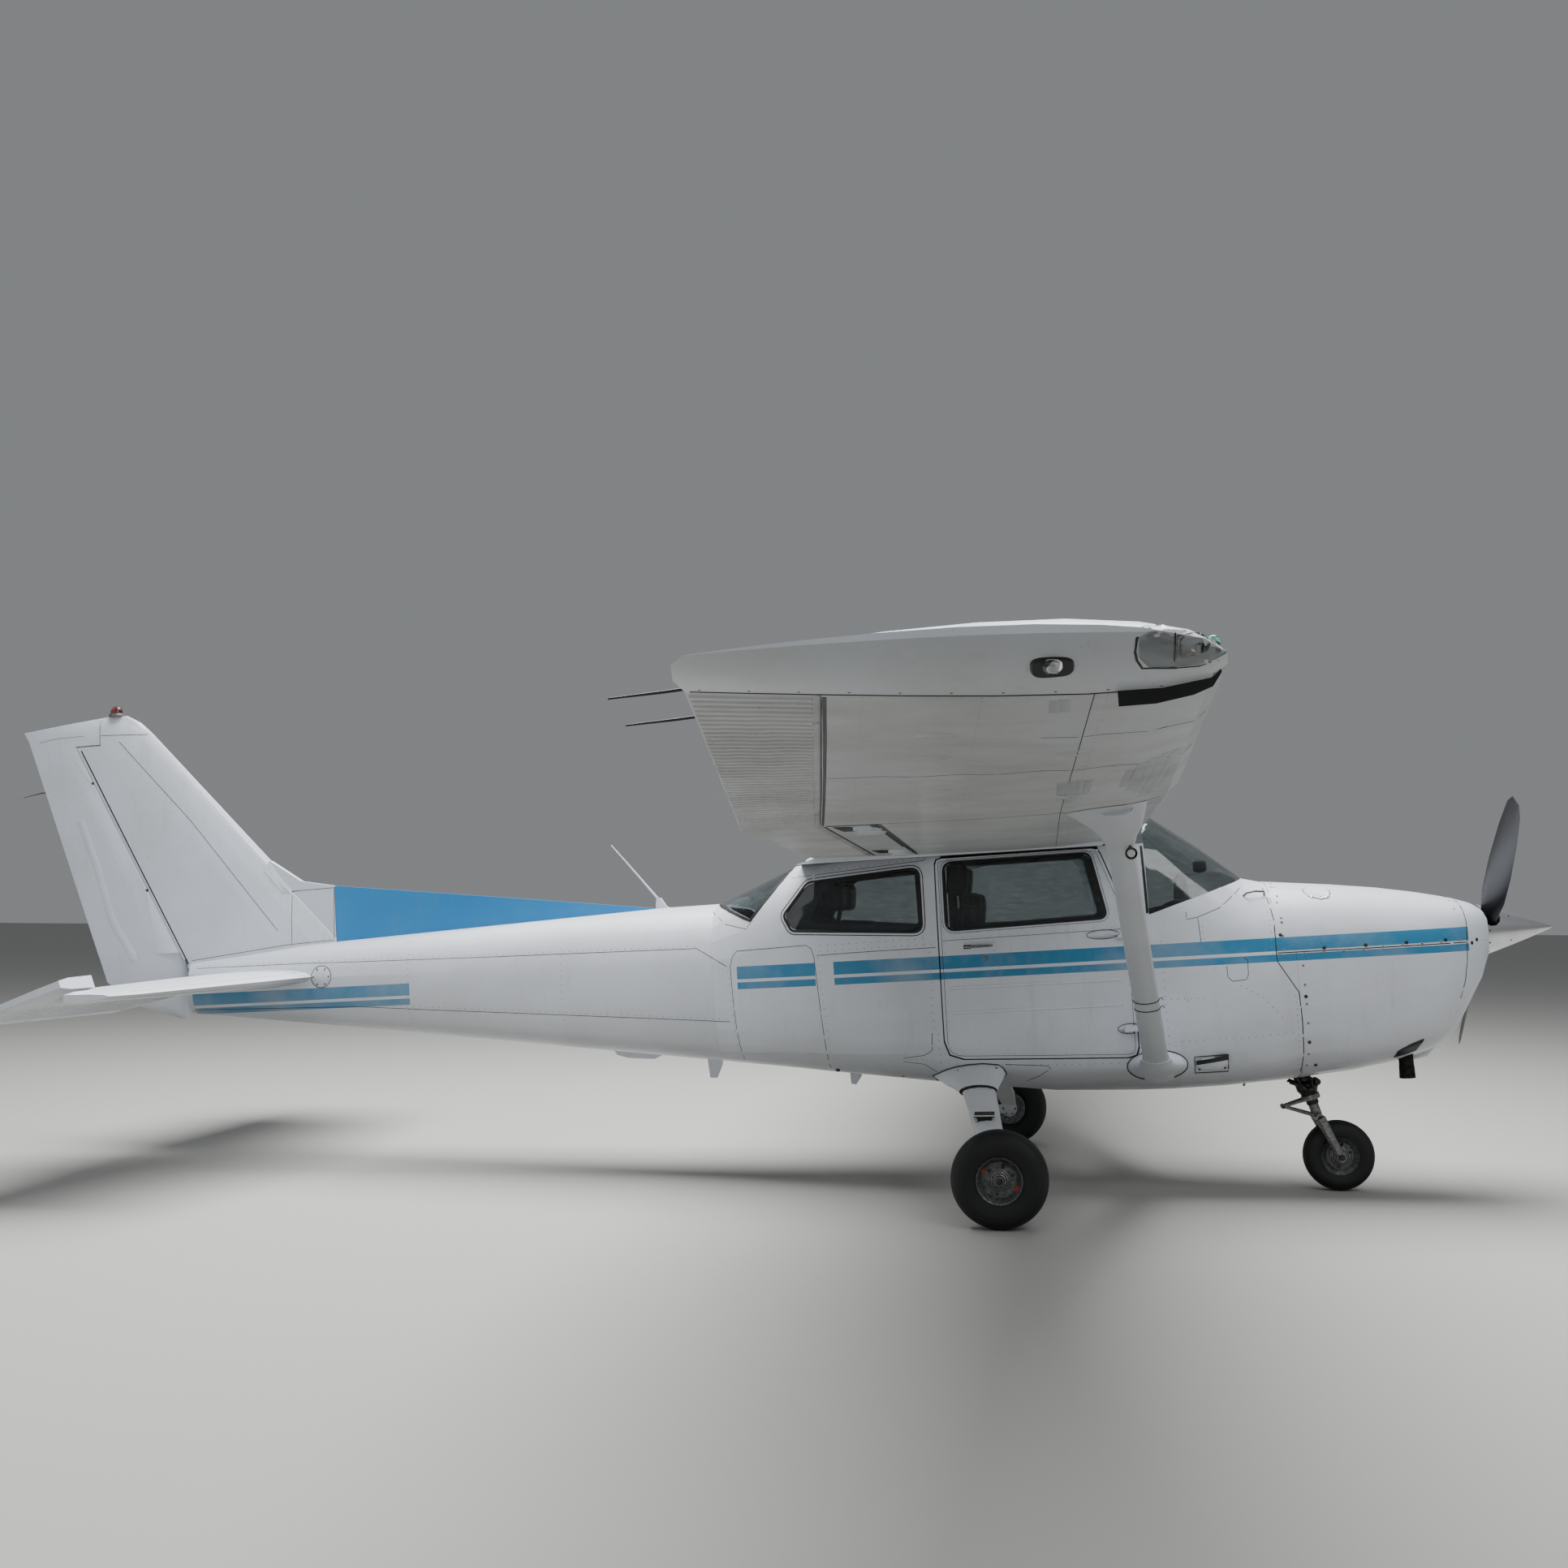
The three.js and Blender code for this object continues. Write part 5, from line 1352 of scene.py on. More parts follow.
@dataclass
class Cowling:
    """The engine cowling: screws, oil door, inlet lips, scoop, fuelling grip and drain tubes."""

    screw_radius: float = 0.0062
    screw_pitch: float = 0.094
    cutout_strips: int = 12
    screw_rows: tuple[tuple[Point2, ...], ...] = (
        ((-0.085, 1.094), (0.735, 1.117)),
        ((-0.100, 1.418), (-0.085, 1.27)),
        ((-0.085, 1.25), (-0.088, 1.12)),
        ((-0.004, 1.04), (0.0, 0.675), (-0.012, 0.56)),
    )
    latches: tuple[Point2, ...] = (
        (-0.097, 1.190), (-0.003, 0.893), (0.0, 0.675), (0.030, 0.560), (0.099, 1.118),
        (0.291, 1.120), (0.480, 1.121), (0.665, 1.122), (0.825, 1.113), (0.797, 1.099),
    )
    # the rear and front edge of the cut-out round the exhaust pipe, filled by dark strips of
    # painted shade in the opening
    cutout: tuple[tuple[Point2, ...], ...] = (
        ((0.405, 0.574), (0.470, 0.588), (0.512, 0.603)),
        ((0.420, 0.606), (0.478, 0.634), (0.540, 0.655)),
    )

    def build(self) -> None:
        """Dresses the cowling."""
        self.skin = Skin("upper_cowl", "lower_cowl", "forward_fuselage")
        self.fasteners()
        self.oil_door()
        self.inlets()
        self.scoop()
        self.side_fittings()

    def fasteners(self) -> None:
        """Sets quarter-turn screws along the split and the rear edge."""
        screws, slots, pen = Pen(), Pen(), Pen()
        spots = []
        for side in SIDES.values():
            for path in self.screw_rows:
                spots += self.skin.follow(self.skin.beside, path, side, step=self.screw_pitch)
            for x, z in self.latches:
                pen.stud(self.skin.beside(x, z, side), 0.0085, 0.0028, 16, 0.8)
        # A small dark disc on each screw head: painted shade in the screw's slot.
        for spot in spots:
            slots.stud(raised(spot, 0.0012), 0.0022, 0.0012, 8, 0.8)
        for x, half in ((-0.085, 0.40), (0.735, 0.36)):
            line = ((x, -half), (x, half))
            spots += self.skin.follow(self.skin.over, line, step=self.screw_pitch)
        for spot in spots:
            screws.stud(spot, self.screw_radius, 0.0016, 16, 0.82)
        screws.make("cowl_screws", Slot.WHITE, PAINT.rivet)
        slots.make("cowl_screw_slot_shade", Slot.TRIM, PAINT.seal)
        pen.make("cowl_latches", Slot.STEEL, PAINT.steel)
        joints = [((x, -0.44), (x, 0.44)) for x in (-0.119, 0.776)]
        lay(pen, self.skin, "over", joints, 0.0032, 0.0007)
        lay(pen, self.skin, "under", [((-0.032, -0.42), (-0.032, 0.42))], 0.0032, 0.0007)
        pen.make("cowl_cross_seams", Slot.WHITE, PAINT.sealant)

    def oil_door(self) -> None:
        """Adds the hinged flap over the oil filler on the starboard top."""
        outline = [(0.045, -0.35), (0.062, -0.395), (0.119, -0.412), (0.160, -0.395),
                   (0.174, -0.35), (0.160, -0.30), (0.062, -0.30), (0.045, -0.35)]
        pen = Pen()
        cover(pen, self.skin, "over", outline, 0.0035, 0.94, step=0.02)
        pen.make("oil_door", Slot.WHITE, PAINT.plain)
        lay(pen, self.skin, "over", [outline], 0.004, 0.0012, closed=True)
        pen.make("oil_door_gap", Slot.TRIM, PAINT.sealant)
        for x in (0.078, 0.146):
            pen.stud(raised(self.skin.over(x, -0.398), 0.003), 0.007, 0.002, 16, 0.8)
        pen.make("oil_door_buttons", Slot.POLISHED, PAINT.polished)

    def inlets(self) -> None:
        """Rolls a lip round each cooling inlet, and lays a dark ring of painted shade in the gap
        behind the spinner.
        """
        pen = Pen()
        skin = Skin("upper_cowl", "lower_cowl")
        outline = rounded(((0.118, 1.078, 0.042), (0.258, 1.078, 0.042), (0.258, 1.212, 0.042),
                           (0.118, 1.200, 0.042)), 6)
        for side in SIDES.values():
            path = []
            for y, z in grown(outline, 0.007)[:-1]:
                spot = skin.cast(STANCE.point(1.4, side * y, z), AFT)
                if spot and spot[0].x > STANCE.point(0.6, 0, 1.1).x:
                    path.append(spot)
            pen.ribbon(path, 0.014, 0.005, closed=True)
        pen.make("inlet_lips", Slot.WHITE, PAINT.plain)
        # A dark ring behind the spinner: painted shade in the gap between the cowl's nose and the
        # spinner.
        centre, axis = STANCE.point(0.897, 0, 1.143), AHEAD
        pen.lathe(centre, axis, [(0.080, -0.003), (0.110, -0.003), (0.112, 0.006), (0.084, 0.008)],
                  64)
        pen.make("spinner_gap_shade_ring", Slot.TRIM, PAINT.seal)

    def scoop(self) -> None:
        """Adds the air scoop under the nose bowl, the exhaust's end and painted shade in its
        cut-out.
        """
        pen = Pen()
        rings = [
            [STANCE.point(x, half * cos, z - drop * 0.3 + drop * sin) for cos, sin in circle(20)]
            for x, z, half, drop in ((0.50, 0.556, 0.070, 0.012), (0.56, 0.574, 0.086, 0.040),
                                     (0.62, 0.600, 0.092, 0.052), (0.668, 0.634, 0.090, 0.040))
        ]
        pen.rings(rings)
        pen.make("carburettor_air_scoop", Slot.WHITE, PAINT.plain)
        mouth = rings[-1]
        middle = sum(mouth, Vector()) / len(mouth)
        ahead = STANCE.turn(0.8, 0, 0.3).normalized()
        pen.rings([[middle + (p - middle) * 0.86 + ahead * depth for p in mouth]
                   for depth in (-0.004, 0.001)])
        pen.make("scoop_filter", Slot.TRIM, PAINT.seal)
        flare = [(0.0312, -0.06), (0.0352, -0.06), (0.0375, -0.004), (0.0378, 0.002),
                 (0.0335, 0.002), (0.0320, -0.004)]
        pen.lathe(STANCE.point(0.478, -0.25, 0.464), DOWN, flare, 40)
        pen.make("exhaust_flared_end", Slot.STEEL, PAINT.sooty)
        # Dark strips across the cut-out: painted shade in the opening round the pipe.
        last = self.cutout_strips - 1
        paths = [[tuple(a + (b - a) * k / last for a, b in zip(low, high))
                  for low, high in zip(*self.cutout)] for k in range(last + 1)]
        lay(pen, Skin("lower_cowl"), "beside", paths, 0.014, 0.0014, SIDES["right"])
        pen.make("exhaust_cutout_shade", Slot.TRIM, PAINT.seal)

    def side_fittings(self) -> None:
        """Adds the fuelling handle and the breather drains."""
        pen = Pen()
        skin = Skin("upper_cowl", "forward_fuselage", "windshield")
        grip = ((-0.248, 0.0), (-0.242, 0.022), (-0.195, 0.028), (-0.150, 0.022), (-0.144, 0.0))
        pen.tube([raised(skin.beside(x, 1.385, SIDES["right"]), lift)[0] for x, lift in grip],
                 0.006, 10)
        pen.make("fuelling_grip", Slot.ALLOY, PAINT.alloy)
        for x, y, length in ((-0.275, -0.14, 0.028), (-0.300, 0.06, 0.030), (0.040, 0.12, 0.040)):
            top = self.skin.under(x, y)[0]
            low = top - STANCE.turn(0.25, 0, 1).normalized() * length
            pen.tube([top + STANCE.turn(0, 0, 0.01), top, low], 0.0062, 12)
        pen.make("drain_tubes", Slot.ALLOY, PAINT.alloy)


@dataclass
class Fittings:
    """Antennas, vents and plates on the fuselage."""

    round_plate: Point2 = (-5.080, 1.237)
    leg_screws: tuple[Point2, ...] = (
        (-1.74, 0.592), (-1.62, 0.622), (-1.49, 0.614), (-1.62, 0.563),
    )

    def build(self) -> None:
        """Adds the antennas, the vent box and the plates."""
        self.skin = Skin(*HULL)
        self.antennas()
        self.vent()
        self.plates()

    def fence(self, pen: Pen, outline: Sequence[Point2], half: float) -> None:
        """Adds a thin upright blade in the middle plane from its side outline."""
        pen.rings([[STANCE.point(x, y, z) for x, z in outline] for y in (half, -half)])

    def antennas(self) -> None:
        """Adds the whip on the back and the blades under the belly."""
        pen = Pen()
        self.fence(pen, ((-3.262, 1.482), (-3.250, 1.500), (-3.243, 1.556), (-3.222, 1.552),
                         (-3.196, 1.508), (-3.150, 1.482)), 0.014)
        pen.make("whip_antenna_base", Slot.WHITE, PAINT.plain)
        path = [(-3.205, 1.505), (-3.262, 1.578), (-3.330, 1.664), (-3.405, 1.758), (-3.482, 1.852)]
        pen.tube([STANCE.point(x, 0.0, z) for x, z in path],
                 [0.0075, 0.0062, 0.0052, 0.0042, 0.003])
        pen.make("whip_antenna", Slot.WHITE, PAINT.plain)
        self.fence(pen, ((-3.020, 0.735), (-2.932, 0.720), (-2.935, 0.655), (-2.967, 0.585),
                         (-3.006, 0.587)), 0.0045)
        self.fence(pen, ((-2.262, 0.625), (-2.194, 0.618), (-2.200, 0.560), (-2.232, 0.518),
                         (-2.258, 0.524)), 0.0045)
        pen.make("belly_blade_antennas", Slot.WHITE, PAINT.plain)
        self.fence(pen, ((-3.530, 0.770), (-3.250, 0.748), (-3.262, 0.716), (-3.300, 0.700),
                         (-3.440, 0.712), (-3.500, 0.730)), 0.020)
        pen.make("belly_bar_antenna", Slot.WHITE, PAINT.plain)

    def vent(self) -> None:
        """Adds the fresh-air scoop low on the starboard side."""
        side = SIDES["right"]
        pen = Pen()
        rings = []
        for x, low, high, lift in ((-0.535, 0.585, 0.600, 0.003), (-0.500, 0.562, 0.622, 0.016),
                                   (-0.400, 0.560, 0.628, 0.026), (-0.386, 0.562, 0.626, 0.026)):
            section = ((low, -0.004), (low, lift * 0.7), (low + 0.01, lift),
                       (high - 0.01, lift), (high, lift * 0.7), (high, -0.004))
            rings.append([self.skin.beside(x, z, side)[0] + PORT * side * out
                          for z, out in section])
        pen.rings(rings)
        pen.make("fresh_air_scoop", Slot.WHITE, PAINT.plain)
        edge = ((-0.540, 0.553), (-0.540, 0.632), (-0.381, 0.637), (-0.385, 0.553), (-0.540, 0.553))
        lay(pen, self.skin, "beside", [edge], 0.005, 0.0025, side, closed=True)
        # The dark box along the scoop's inside: painted shade in its mouth.
        rings = []
        for x, low, high, lift in ((-0.534, 0.592, 0.612, 0.0045), (-0.500, 0.597, 0.6175, 0.0175),
                                   (-0.400, 0.611, 0.632, 0.0275), (-0.383, 0.613, 0.634, 0.0275)):
            foot, top = (self.skin.beside(x, z, side)[0] for z in (low, high))
            rings.append([foot - PORT * lift, top - PORT * lift, top, foot])
        pen.rings(rings)
        for x, z, lift in ((-0.520, 0.570, 0.010), (-0.402, 0.574, 0.026)):
            point, normal = self.skin.beside(x, z, side)
            pen.stud((point - PORT * lift, normal), 0.0052, 0.0022, 12, 0.7)
        point, _ = self.skin.beside(-0.3875, 0.594, side)
        pen.block(point + Vector((0.002, -0.012, 0.0)), (PORT, UP, AHEAD),
                  (0.018, 0.048, 0.004), 0.001)
        pen.make("scoop_mouth", Slot.TRIM, PAINT.seal)

    def plates(self) -> None:
        """Adds the round plates and the gear-leg covers with their screws."""
        x, z = self.round_plate
        covers, gaps, screws = Pen(), Pen(), Pen()
        leg = ((-1.797, 0.588), (-1.724, 0.6195), (-1.623, 0.640), (-1.473, 0.633),
               (-1.441, 0.587), (-1.468, 0.5585), (-1.639, 0.546), (-1.760, 0.560),
               (-1.797, 0.588))
        bolts = (*oval(x, z, 0.046, 0.046, 6)[:-1], *oval(*STRUT_FOOT, 0.122, 0.060, 11)[:-1])
        for side in SIDES.values():
            for outline, height, edge in ((oval(x, z, 0.058, 0.058, 24), 0.0022, 0.9),
                                          (leg, 0.003, 0.95),
                                          (oval(*STRUT_FOOT, 0.142, 0.073, 36), 0.004, 0.93)):
                cover(covers, self.skin, "beside", outline, height, edge, side)
            lay(gaps, self.skin, "beside", [oval(x, z, 0.059, 0.059)], 0.004, 0.0012, side,
                closed=True)
            for spots, lift in ((bolts, 0.0022), (self.leg_screws, 0.002)):
                for spot in spots:
                    screws.stud(raised(self.skin.beside(*spot, side), lift), 0.0042, 0.0026, 12,
                                0.7)
        covers.make("fuselage_plates", Slot.WHITE, PAINT.plain)
        gaps.make("round_plate_gap", Slot.TRIM, PAINT.sealant)
        screws.make("plate_screws", Slot.STEEL, PAINT.steel)


@dataclass
class Wings:
    """Sheet laps, rivets, pressed beads, lights and small fittings of both wings."""

    ribs: tuple[float, ...] = (0.604, 0.95, 1.30, 1.66, 2.02, 2.38, 2.54, 2.93, 3.32, 3.71,
                               4.10, 4.49, 4.88, 5.25)
    break_y: float = 2.54
    tip_y: float = 5.283
    aileron_y: float = 5.274
    pitch: float = 0.048
    bead_pitch: float = 0.060
    well_x: float = -1.79
    tracks: Point2 = (2.33, 0.86)
    half_span: float = 5.4996
    lens_lift: float = 0.015
    worn_strips: tuple[Point3, ...] = (
        # x, inner y, outer y
        (-0.930, -3.26, -3.74), (-0.902, -3.12, -3.92), (-0.874, -2.96, -3.97),
        (-0.846, -2.79, -4.02), (-0.818, -2.84, -4.06), (-0.790, -2.96, -3.66),
        (-1.130, -3.02, -3.56), (-1.102, -2.94, -3.60), (-1.074, -3.04, -3.63),
        (-1.048, -3.20, -3.60), (-1.160, -5.03, -5.20), (-1.140, -5.04, -5.21),
    )

    def taper(self, y: float, end: float) -> float:
        """Gives how far along the tapered outer panel a span position is."""
        return max(0.0, (y - self.break_y) / (end - self.break_y))

    def lead(self, y: float) -> float:
        """Gives the leading edge's x at a span position."""
        return -0.690 - 0.122 * self.taper(y, self.tip_y)

    def hinge(self, y: float) -> float:
        """Gives the x of the flap's or aileron's front edge at a span position."""
        return -1.985 + 0.37 * self.taper(y, self.aileron_y)

    def trail(self, y: float) -> float:
        """Gives the trailing edge's x at a span position."""
        return -2.32 + 0.383 * self.taper(y, self.tip_y)

    def build(self) -> None:
        """Dresses both wings with their flaps, ailerons and tips."""
        for name, side in SIDES.items():
            self.sheets(name, side)
            self.beads(name, side)
            self.tip(name, side)
            self.fittings(name, side)
        self.wear()

    def span_line(self, side: int, y0: float, y1: float, share: float) -> list[Point2]:
        """Gives a spanwise path at a share of the fixed wing's chord."""
        ys = (y0, *(rib for rib in self.ribs if y0 < rib < y1), y1)
        return [(self.lead(y) + (self.hinge(y) - self.lead(y)) * share, side * y) for y in ys]

    def sheets(self, name: str, side: int) -> None:
        """Draws laps and rivet rows on both faces of the fixed wing.

        Args:
            name: the side, left or right.
            side: 1 for port, -1 for starboard.
        """
        skin = Skin(f"{name}_wing")
        seams, rivets = Pen(), Pen()
        ribs = [[(self.lead(y) - 0.03, side * y), (self.hinge(y) - 0.02, side * y)]
                for y in self.ribs]
        spans = [self.span_line(side, *line)
                 for line in ((0.61, 5.26, 0.30), (0.61, 5.26, 0.93), (2.56, 5.26, 0.62))]
        laps = [self.span_line(side, 0.60, 5.27, 0.335)]
        laps += [[(self.lead(y) - 0.012, side * y), (end, side * y)]
                 for y, end in ((2.555, self.hinge(2.555) - 0.01), (3.91, self.hinge(3.91) - 0.01),
                                (4.62, -1.19))]
        for meet in ("under", "over"):
            rivet(rivets, skin, meet, [*ribs, *spans], self.pitch)
            lay(seams, skin, meet, laps, 0.003, SEAM_RISE)
        seams.make(f"{name}_wing_seams", Slot.DULL, PAINT.sealant)
        rivets.make(f"{name}_wing_rivets", Slot.DULL, PAINT.rivet)

    def beads(self, name: str, side: int) -> None:
        """Presses chordwise beads into the ailerons and flaps.

        Args:
            name: the side, left or right.
            side: 1 for port, -1 for starboard.
        """
        for kind, y0, y1 in (("flap", 0.64, 2.50), ("aileron", 2.60, 5.23)):
            skin = Skin(f"{name}_{kind}")
            pen = Pen()
            count = round((y1 - y0) / self.bead_pitch)
            for k in range(count + 1):
                y = y0 + (y1 - y0) * k / count
                path = [(self.hinge(y) - 0.050, side * y), (self.trail(y) + 0.008, side * y)]
                for meet in ("under", "over"):
                    lay(pen, skin, meet, [path], 0.024, 0.0052)
            pen.make(f"{name}_{kind}_beads", Slot.DULL, PAINT.wing, f"{name}_{kind}")
            for meet in ("under", "over"):
                ends = [[(self.hinge(y) - 0.07, side * y), (self.trail(y) + 0.012, side * y)]
                        for y in (y0 - 0.022, y1 + 0.022)]
                edge = [(self.trail(y) + 0.016, side * y) for y in (y0, (y0 + y1) / 2, y1)]
                front = [(self.hinge(y) - 0.078, side * y) for y in (y0, (y0 + y1) / 2, y1)]
                rivet(pen, skin, meet, [*ends, edge, front], 0.05, radius=0.0028, height=0.001)
            pen.make(f"{name}_{kind}_rivets", Slot.DULL, PAINT.rivet, f"{name}_{kind}")

    def tip(self, name: str, side: int) -> None:
        """Adds the tip's screws, black strip, position lights and strobe.

        Args:
            name: the side, left or right.
            side: 1 for port, -1 for starboard.
        """
        skin, wing = Skin(f"{name}_wing_tip"), Skin(f"{name}_wing", f"{name}_wing_tip")
        pen = Pen()
        rim = [(self.lead(5.3) - 0.03, side * 5.303), (-1.90, side * 5.303)]
        for meet in ("under", "over"):
            rivet(pen, skin, meet, [rim], 0.11, radius=0.0052, height=0.0016)
        pen.make(f"{name}_tip_screws", Slot.STEEL, PAINT.steel)
        seam = [(self.lead(5.28) + 0.004 - 0.14 * k, side * 5.2835) for k in range(8)]
        lay(pen, wing, "under", [[*seam, (-1.925, side * 5.2835)]], 0.006, 0.0014)
        out = Vector((0, side * 0.0016, 0))
        rings = []
        for x, hang in ((-0.826, 0.006), (-0.845, 0.018), (-0.885, 0.026), (-0.960, 0.030),
                        (-1.035, 0.031)):
            point = wing.under(x, side * 5.280)[0] + Vector((0, side * 0.008, 0))
            top, foot = point + STANCE.turn(0, 0, 0.004), point - STANCE.turn(0, 0, hang)
            rings.append([top + out, foot + out, foot - out, top - out])
        pen.rings(rings)
        pen.make(f"{name}_tip_black_strip", Slot.TRIM, PAINT.seal)
        self.nose_light(name, side, skin)
        self.strobe(name, side, wing)
        self.gap(name, side)

    def nose_light(self, name: str, side: int, skin: Skin) -> None:
        """Adds the clear cover of the tip's leading corner with the coloured lamp under it.

        Args:
            name: the side, left or right.
            side: 1 for port, -1 for starboard.
            skin: the wing tip's skin.
        """
        aft = ((-0.924, 1.876), (-0.991, 1.879), (-1.002, 1.892), (-1.006, 1.905),
               (-1.002, 1.928), (-0.990, 1.946), (-0.965, 1.957))
        fore = ((-0.965, 1.957), (-0.930, 1.957), (-0.880, 1.950), (-0.840, 1.937),
                (-0.818, 1.920), (-0.816, 1.902), (-0.840, 1.888), (-0.880, 1.877),
                (-0.924, 1.876))
        rows = ((-0.998, 1.898, 1.928), (-0.980, 1.883, 1.948), (-0.950, 1.880, 1.953),
                (-0.915, 1.880, 1.951), (-0.880, 1.882, 1.945), (-0.850, 1.889, 1.934),
                (-0.828, 1.900, 1.920))
        block = ((-0.926, 1.928), (-0.882, 1.932), (-0.882, 1.896), (-0.926, 1.893),
                 (-0.926, 1.928))
        bulb = ((-0.880, 1.931), (-0.868, 1.926), (-0.861, 1.914), (-0.868, 1.902),
                (-0.880, 1.897), (-0.880, 1.931))

        def drawn(path: Sequence[Point2], rise: float) -> list[Spot]:
            """Lays a path on the tip, inside the span."""
            return self.within(skin.follow(skin.beside, path, side), rise)

        pen = Pen()
        pen.ribbon(drawn(aft, 0.0012), 0.0060, 0.0012)
        pen.ribbon(drawn(fore, 0.0010), 0.0030, 0.0010)
        pen.make(f"{name}_tip_light_rim", Slot.DULL, PAINT.sealant)
        sheet = []
        for x, low, high in rows:
            spots = []
            for k in range(6):
                spot = skin.beside(x, low + (high - low) * k / 5, side)
                spots.append(spot or (spots[-1] if spots else None))
            if spots[0]:
                spots = self.within(spots, 0.0036)
                sheet.append([raised(spot, 0.0034)[0] for spot in spots]
                             + [raised(spot, -0.001)[0] for spot in reversed(spots)])
        pen.rings(sheet)
        pen.make(f"{name}_tip_light_cover", Slot.WINDOW, PAINT.lens)
        pen.plate(drawn(block, 0.0050)[:-1], 0.0050, 0.96)
        for x, z in ((-0.921, 1.951), (-0.978, 1.941)):
            spot = skin.beside(x, z, side)
            if spot:
                pen.stud(self.within([spot], 0.0042)[0], 0.0045, 0.0042, 12, 0.8)
        pen.make(f"{name}_tip_light_block", Slot.ALLOY, PAINT.alloy)
        pen.plate(drawn(bulb, 0.0060)[:-1], 0.0060, 0.8)
        lens = PAINT.red_lens if side > 0 else PAINT.green_lens
        pen.make(f"{name}_tip_light_bulb", Slot.BEACON, lens)
        lay(pen, skin, "beside", [((-0.930, 1.932), (-0.930, 1.889))], 0.0035, 0.0040, side)
        pen.make(f"{name}_tip_light_edge", Slot.TRIM, PAINT.seal)
        foot = skin.cast(STANCE.point(-0.2, side * 5.36, 1.925), AFT)
        if foot:
            base = [(0.0, -0.004), (0.017, -0.004), (0.017, 0.002), (0.0, 0.004)]
            pen.lathe(*foot, base, 24)
            pen.make(f"{name}_position_light_foot", Slot.ALLOY, PAINT.alloy)
            dome = [(0.0, 0.002), (0.014, 0.002), (0.0135, 0.008), (0.009, 0.014), (0.0, 0.017)]
            pen.lathe(*foot, dome, 24)
            pen.make(f"{name}_position_light", Slot.BEACON, lens)

    def within(self, spots: Sequence[Spot], rise: float) -> list[Spot]:
        """Draws spots in so that trim of a given height stays inside the span.

        Args:
            spots: the surface points.
            rise: how far the trim stands off the skin.

        Returns:
            The points, drawn in where they have to be.
        """
        most = self.half_span - rise
        return [(Vector((p.x, math.copysign(min(abs(p.y), most), p.y), p.z)), n)
                for p, n in spots]

    def strobe(self, name: str, side: int, wing: Skin) -> None:
        """Adds the strobe light on its black foot at the tip's side.

        Args:
            name: the side, left or right.
            side: 1 for port, -1 for starboard.
            wing: the skin of the wing.
        """
        spot = wing.cast(STANCE.point(-1.165, side * 6.5, 1.894), PORT * -side)
        if not spot:
            return
        point, out = spot
        z = out.cross(AHEAD).normalized()
        steps = [(math.copysign(abs(cos) ** 0.6, cos), math.copysign(abs(sin) ** 0.6, sin))
                 for cos, sin in circle(24)]
        base, ring = (
            [point + out * depth + AHEAD * wide / 2 * a + z * high / 2 * b for a, b in steps]
            for depth, wide, high in ((0.000, 0.088, 0.066), (0.006, 0.080, 0.058))
        )
        pen = Pen()
        pen.rings([[p - out * 0.004 for p in base], base])
        pen.rings([base, ring])
        pen.make(f"{name}_strobe_foot", Slot.TRIM, PAINT.crackle)
        seat = point + out * 0.006 + z * self.lens_lift
        glass = [(0.0, 0.0), (0.0200, 0.0), (0.0195, 0.009), (0.0130, 0.016), (0.0, 0.018)]
        pen.lathe(seat, out, glass, 28)
        pen.make(f"{name}_strobe_lens", Slot.WINDOW, PAINT.lens)
        lamp = [(0.0, 0.0), (0.010, 0.0), (0.010, 0.007), (0.0, 0.008)]
        pen.lathe(seat + out * 0.001, out, lamp, 16)
        pen.make(f"{name}_strobe_lamp", Slot.POLISHED, PAINT.polished)

    def wear(self) -> None:
        """Lays the patches that are worn down to grey under the starboard wing."""
        pen = Pen()
        paths = [((x, first), (x, last)) for x, first, last in self.worn_strips]
        lay(pen, Skin("right_wing"), "under", paths, 0.032, 0.0007)
        pen.make("right_wing_worn_patches", Slot.WHITE, PAINT.worn)

    def gap(self, name: str, side: int) -> None:
        """Paints shade on the fixed wing's lip along the hinge gaps and paints shadow in the
        flap-track wells so that they look sunk.

        Args:
            name: the side, left or right.
            side: 1 for port, -1 for starboard.
        """
        wing = Skin(f"{name}_wing")
        pen = Pen()
        # Dark strips along the lip: painted shade in the hinge gaps.
        edges = [[(self.lip(wing, y, side) + 0.006, side * y)
                  for y in (y0 + (y1 - y0) * k / 4 for k in range(5))]
                 for y0, y1 in ((0.64, 2.52), (2.57, 5.25))]
        lay(pen, wing, "under", edges, 0.011, 0.0012)
        # A dark line at the well's front edge and bands that narrow inboard: painted shadow in the
        # flap-track well.
        shadow = [(self.well_x, side * y) for y in (0.62, 1.6, 2.535)]
        lay(pen, wing, "under", [shadow, [(self.well_x, side * 2.540), (-1.990, side * 2.540)]],
            0.008, 0.0016)
        for y0, y1, wide in ((2.10, 2.52, 0.040), (1.20, 2.10, 0.026), (0.62, 1.20, 0.016)):
            x = self.well_x - 0.004 - wide / 2
            lay(pen, wing, "under", [[(x, side * y0), (x, side * y1)]], wide, 0.0010)
        pen.make(f"{name}_hinge_gap_painted_shade", Slot.TRIM, PAINT.seal)
        for y in self.tracks:
            pad = [(-1.975, side * (y + 0.16)), (-1.905, side * (y + 0.15)),
                   (-1.895, side * (y - 0.06)), (-1.960, side * (y - 0.08))]
            cover(pen, wing, "under", [*pad, pad[0]], 0.0018, 0.97)
        pen.make(f"{name}_flap_well_pads", Slot.TRIM, PAINT.crackle)
        bend = ((-1.90, 0.0), (-1.86, -0.01), (-1.825, -0.05), (-1.805, -0.11))
        for y in self.tracks:
            for ys, high in ((0.12, 0.012), (-0.03, 0.016)):
                arm = [wing.under(x, side * (y + ys + sway))[0] for x, sway in bend]
                pen.tube([p - STANCE.turn(0, 0, 0.002) for p in arm],
                         [high, high * 1.1, high * 0.9, high * 0.45], 12)
        pen.make(f"{name}_flap_tracks", Slot.DULL, PAINT.plain)

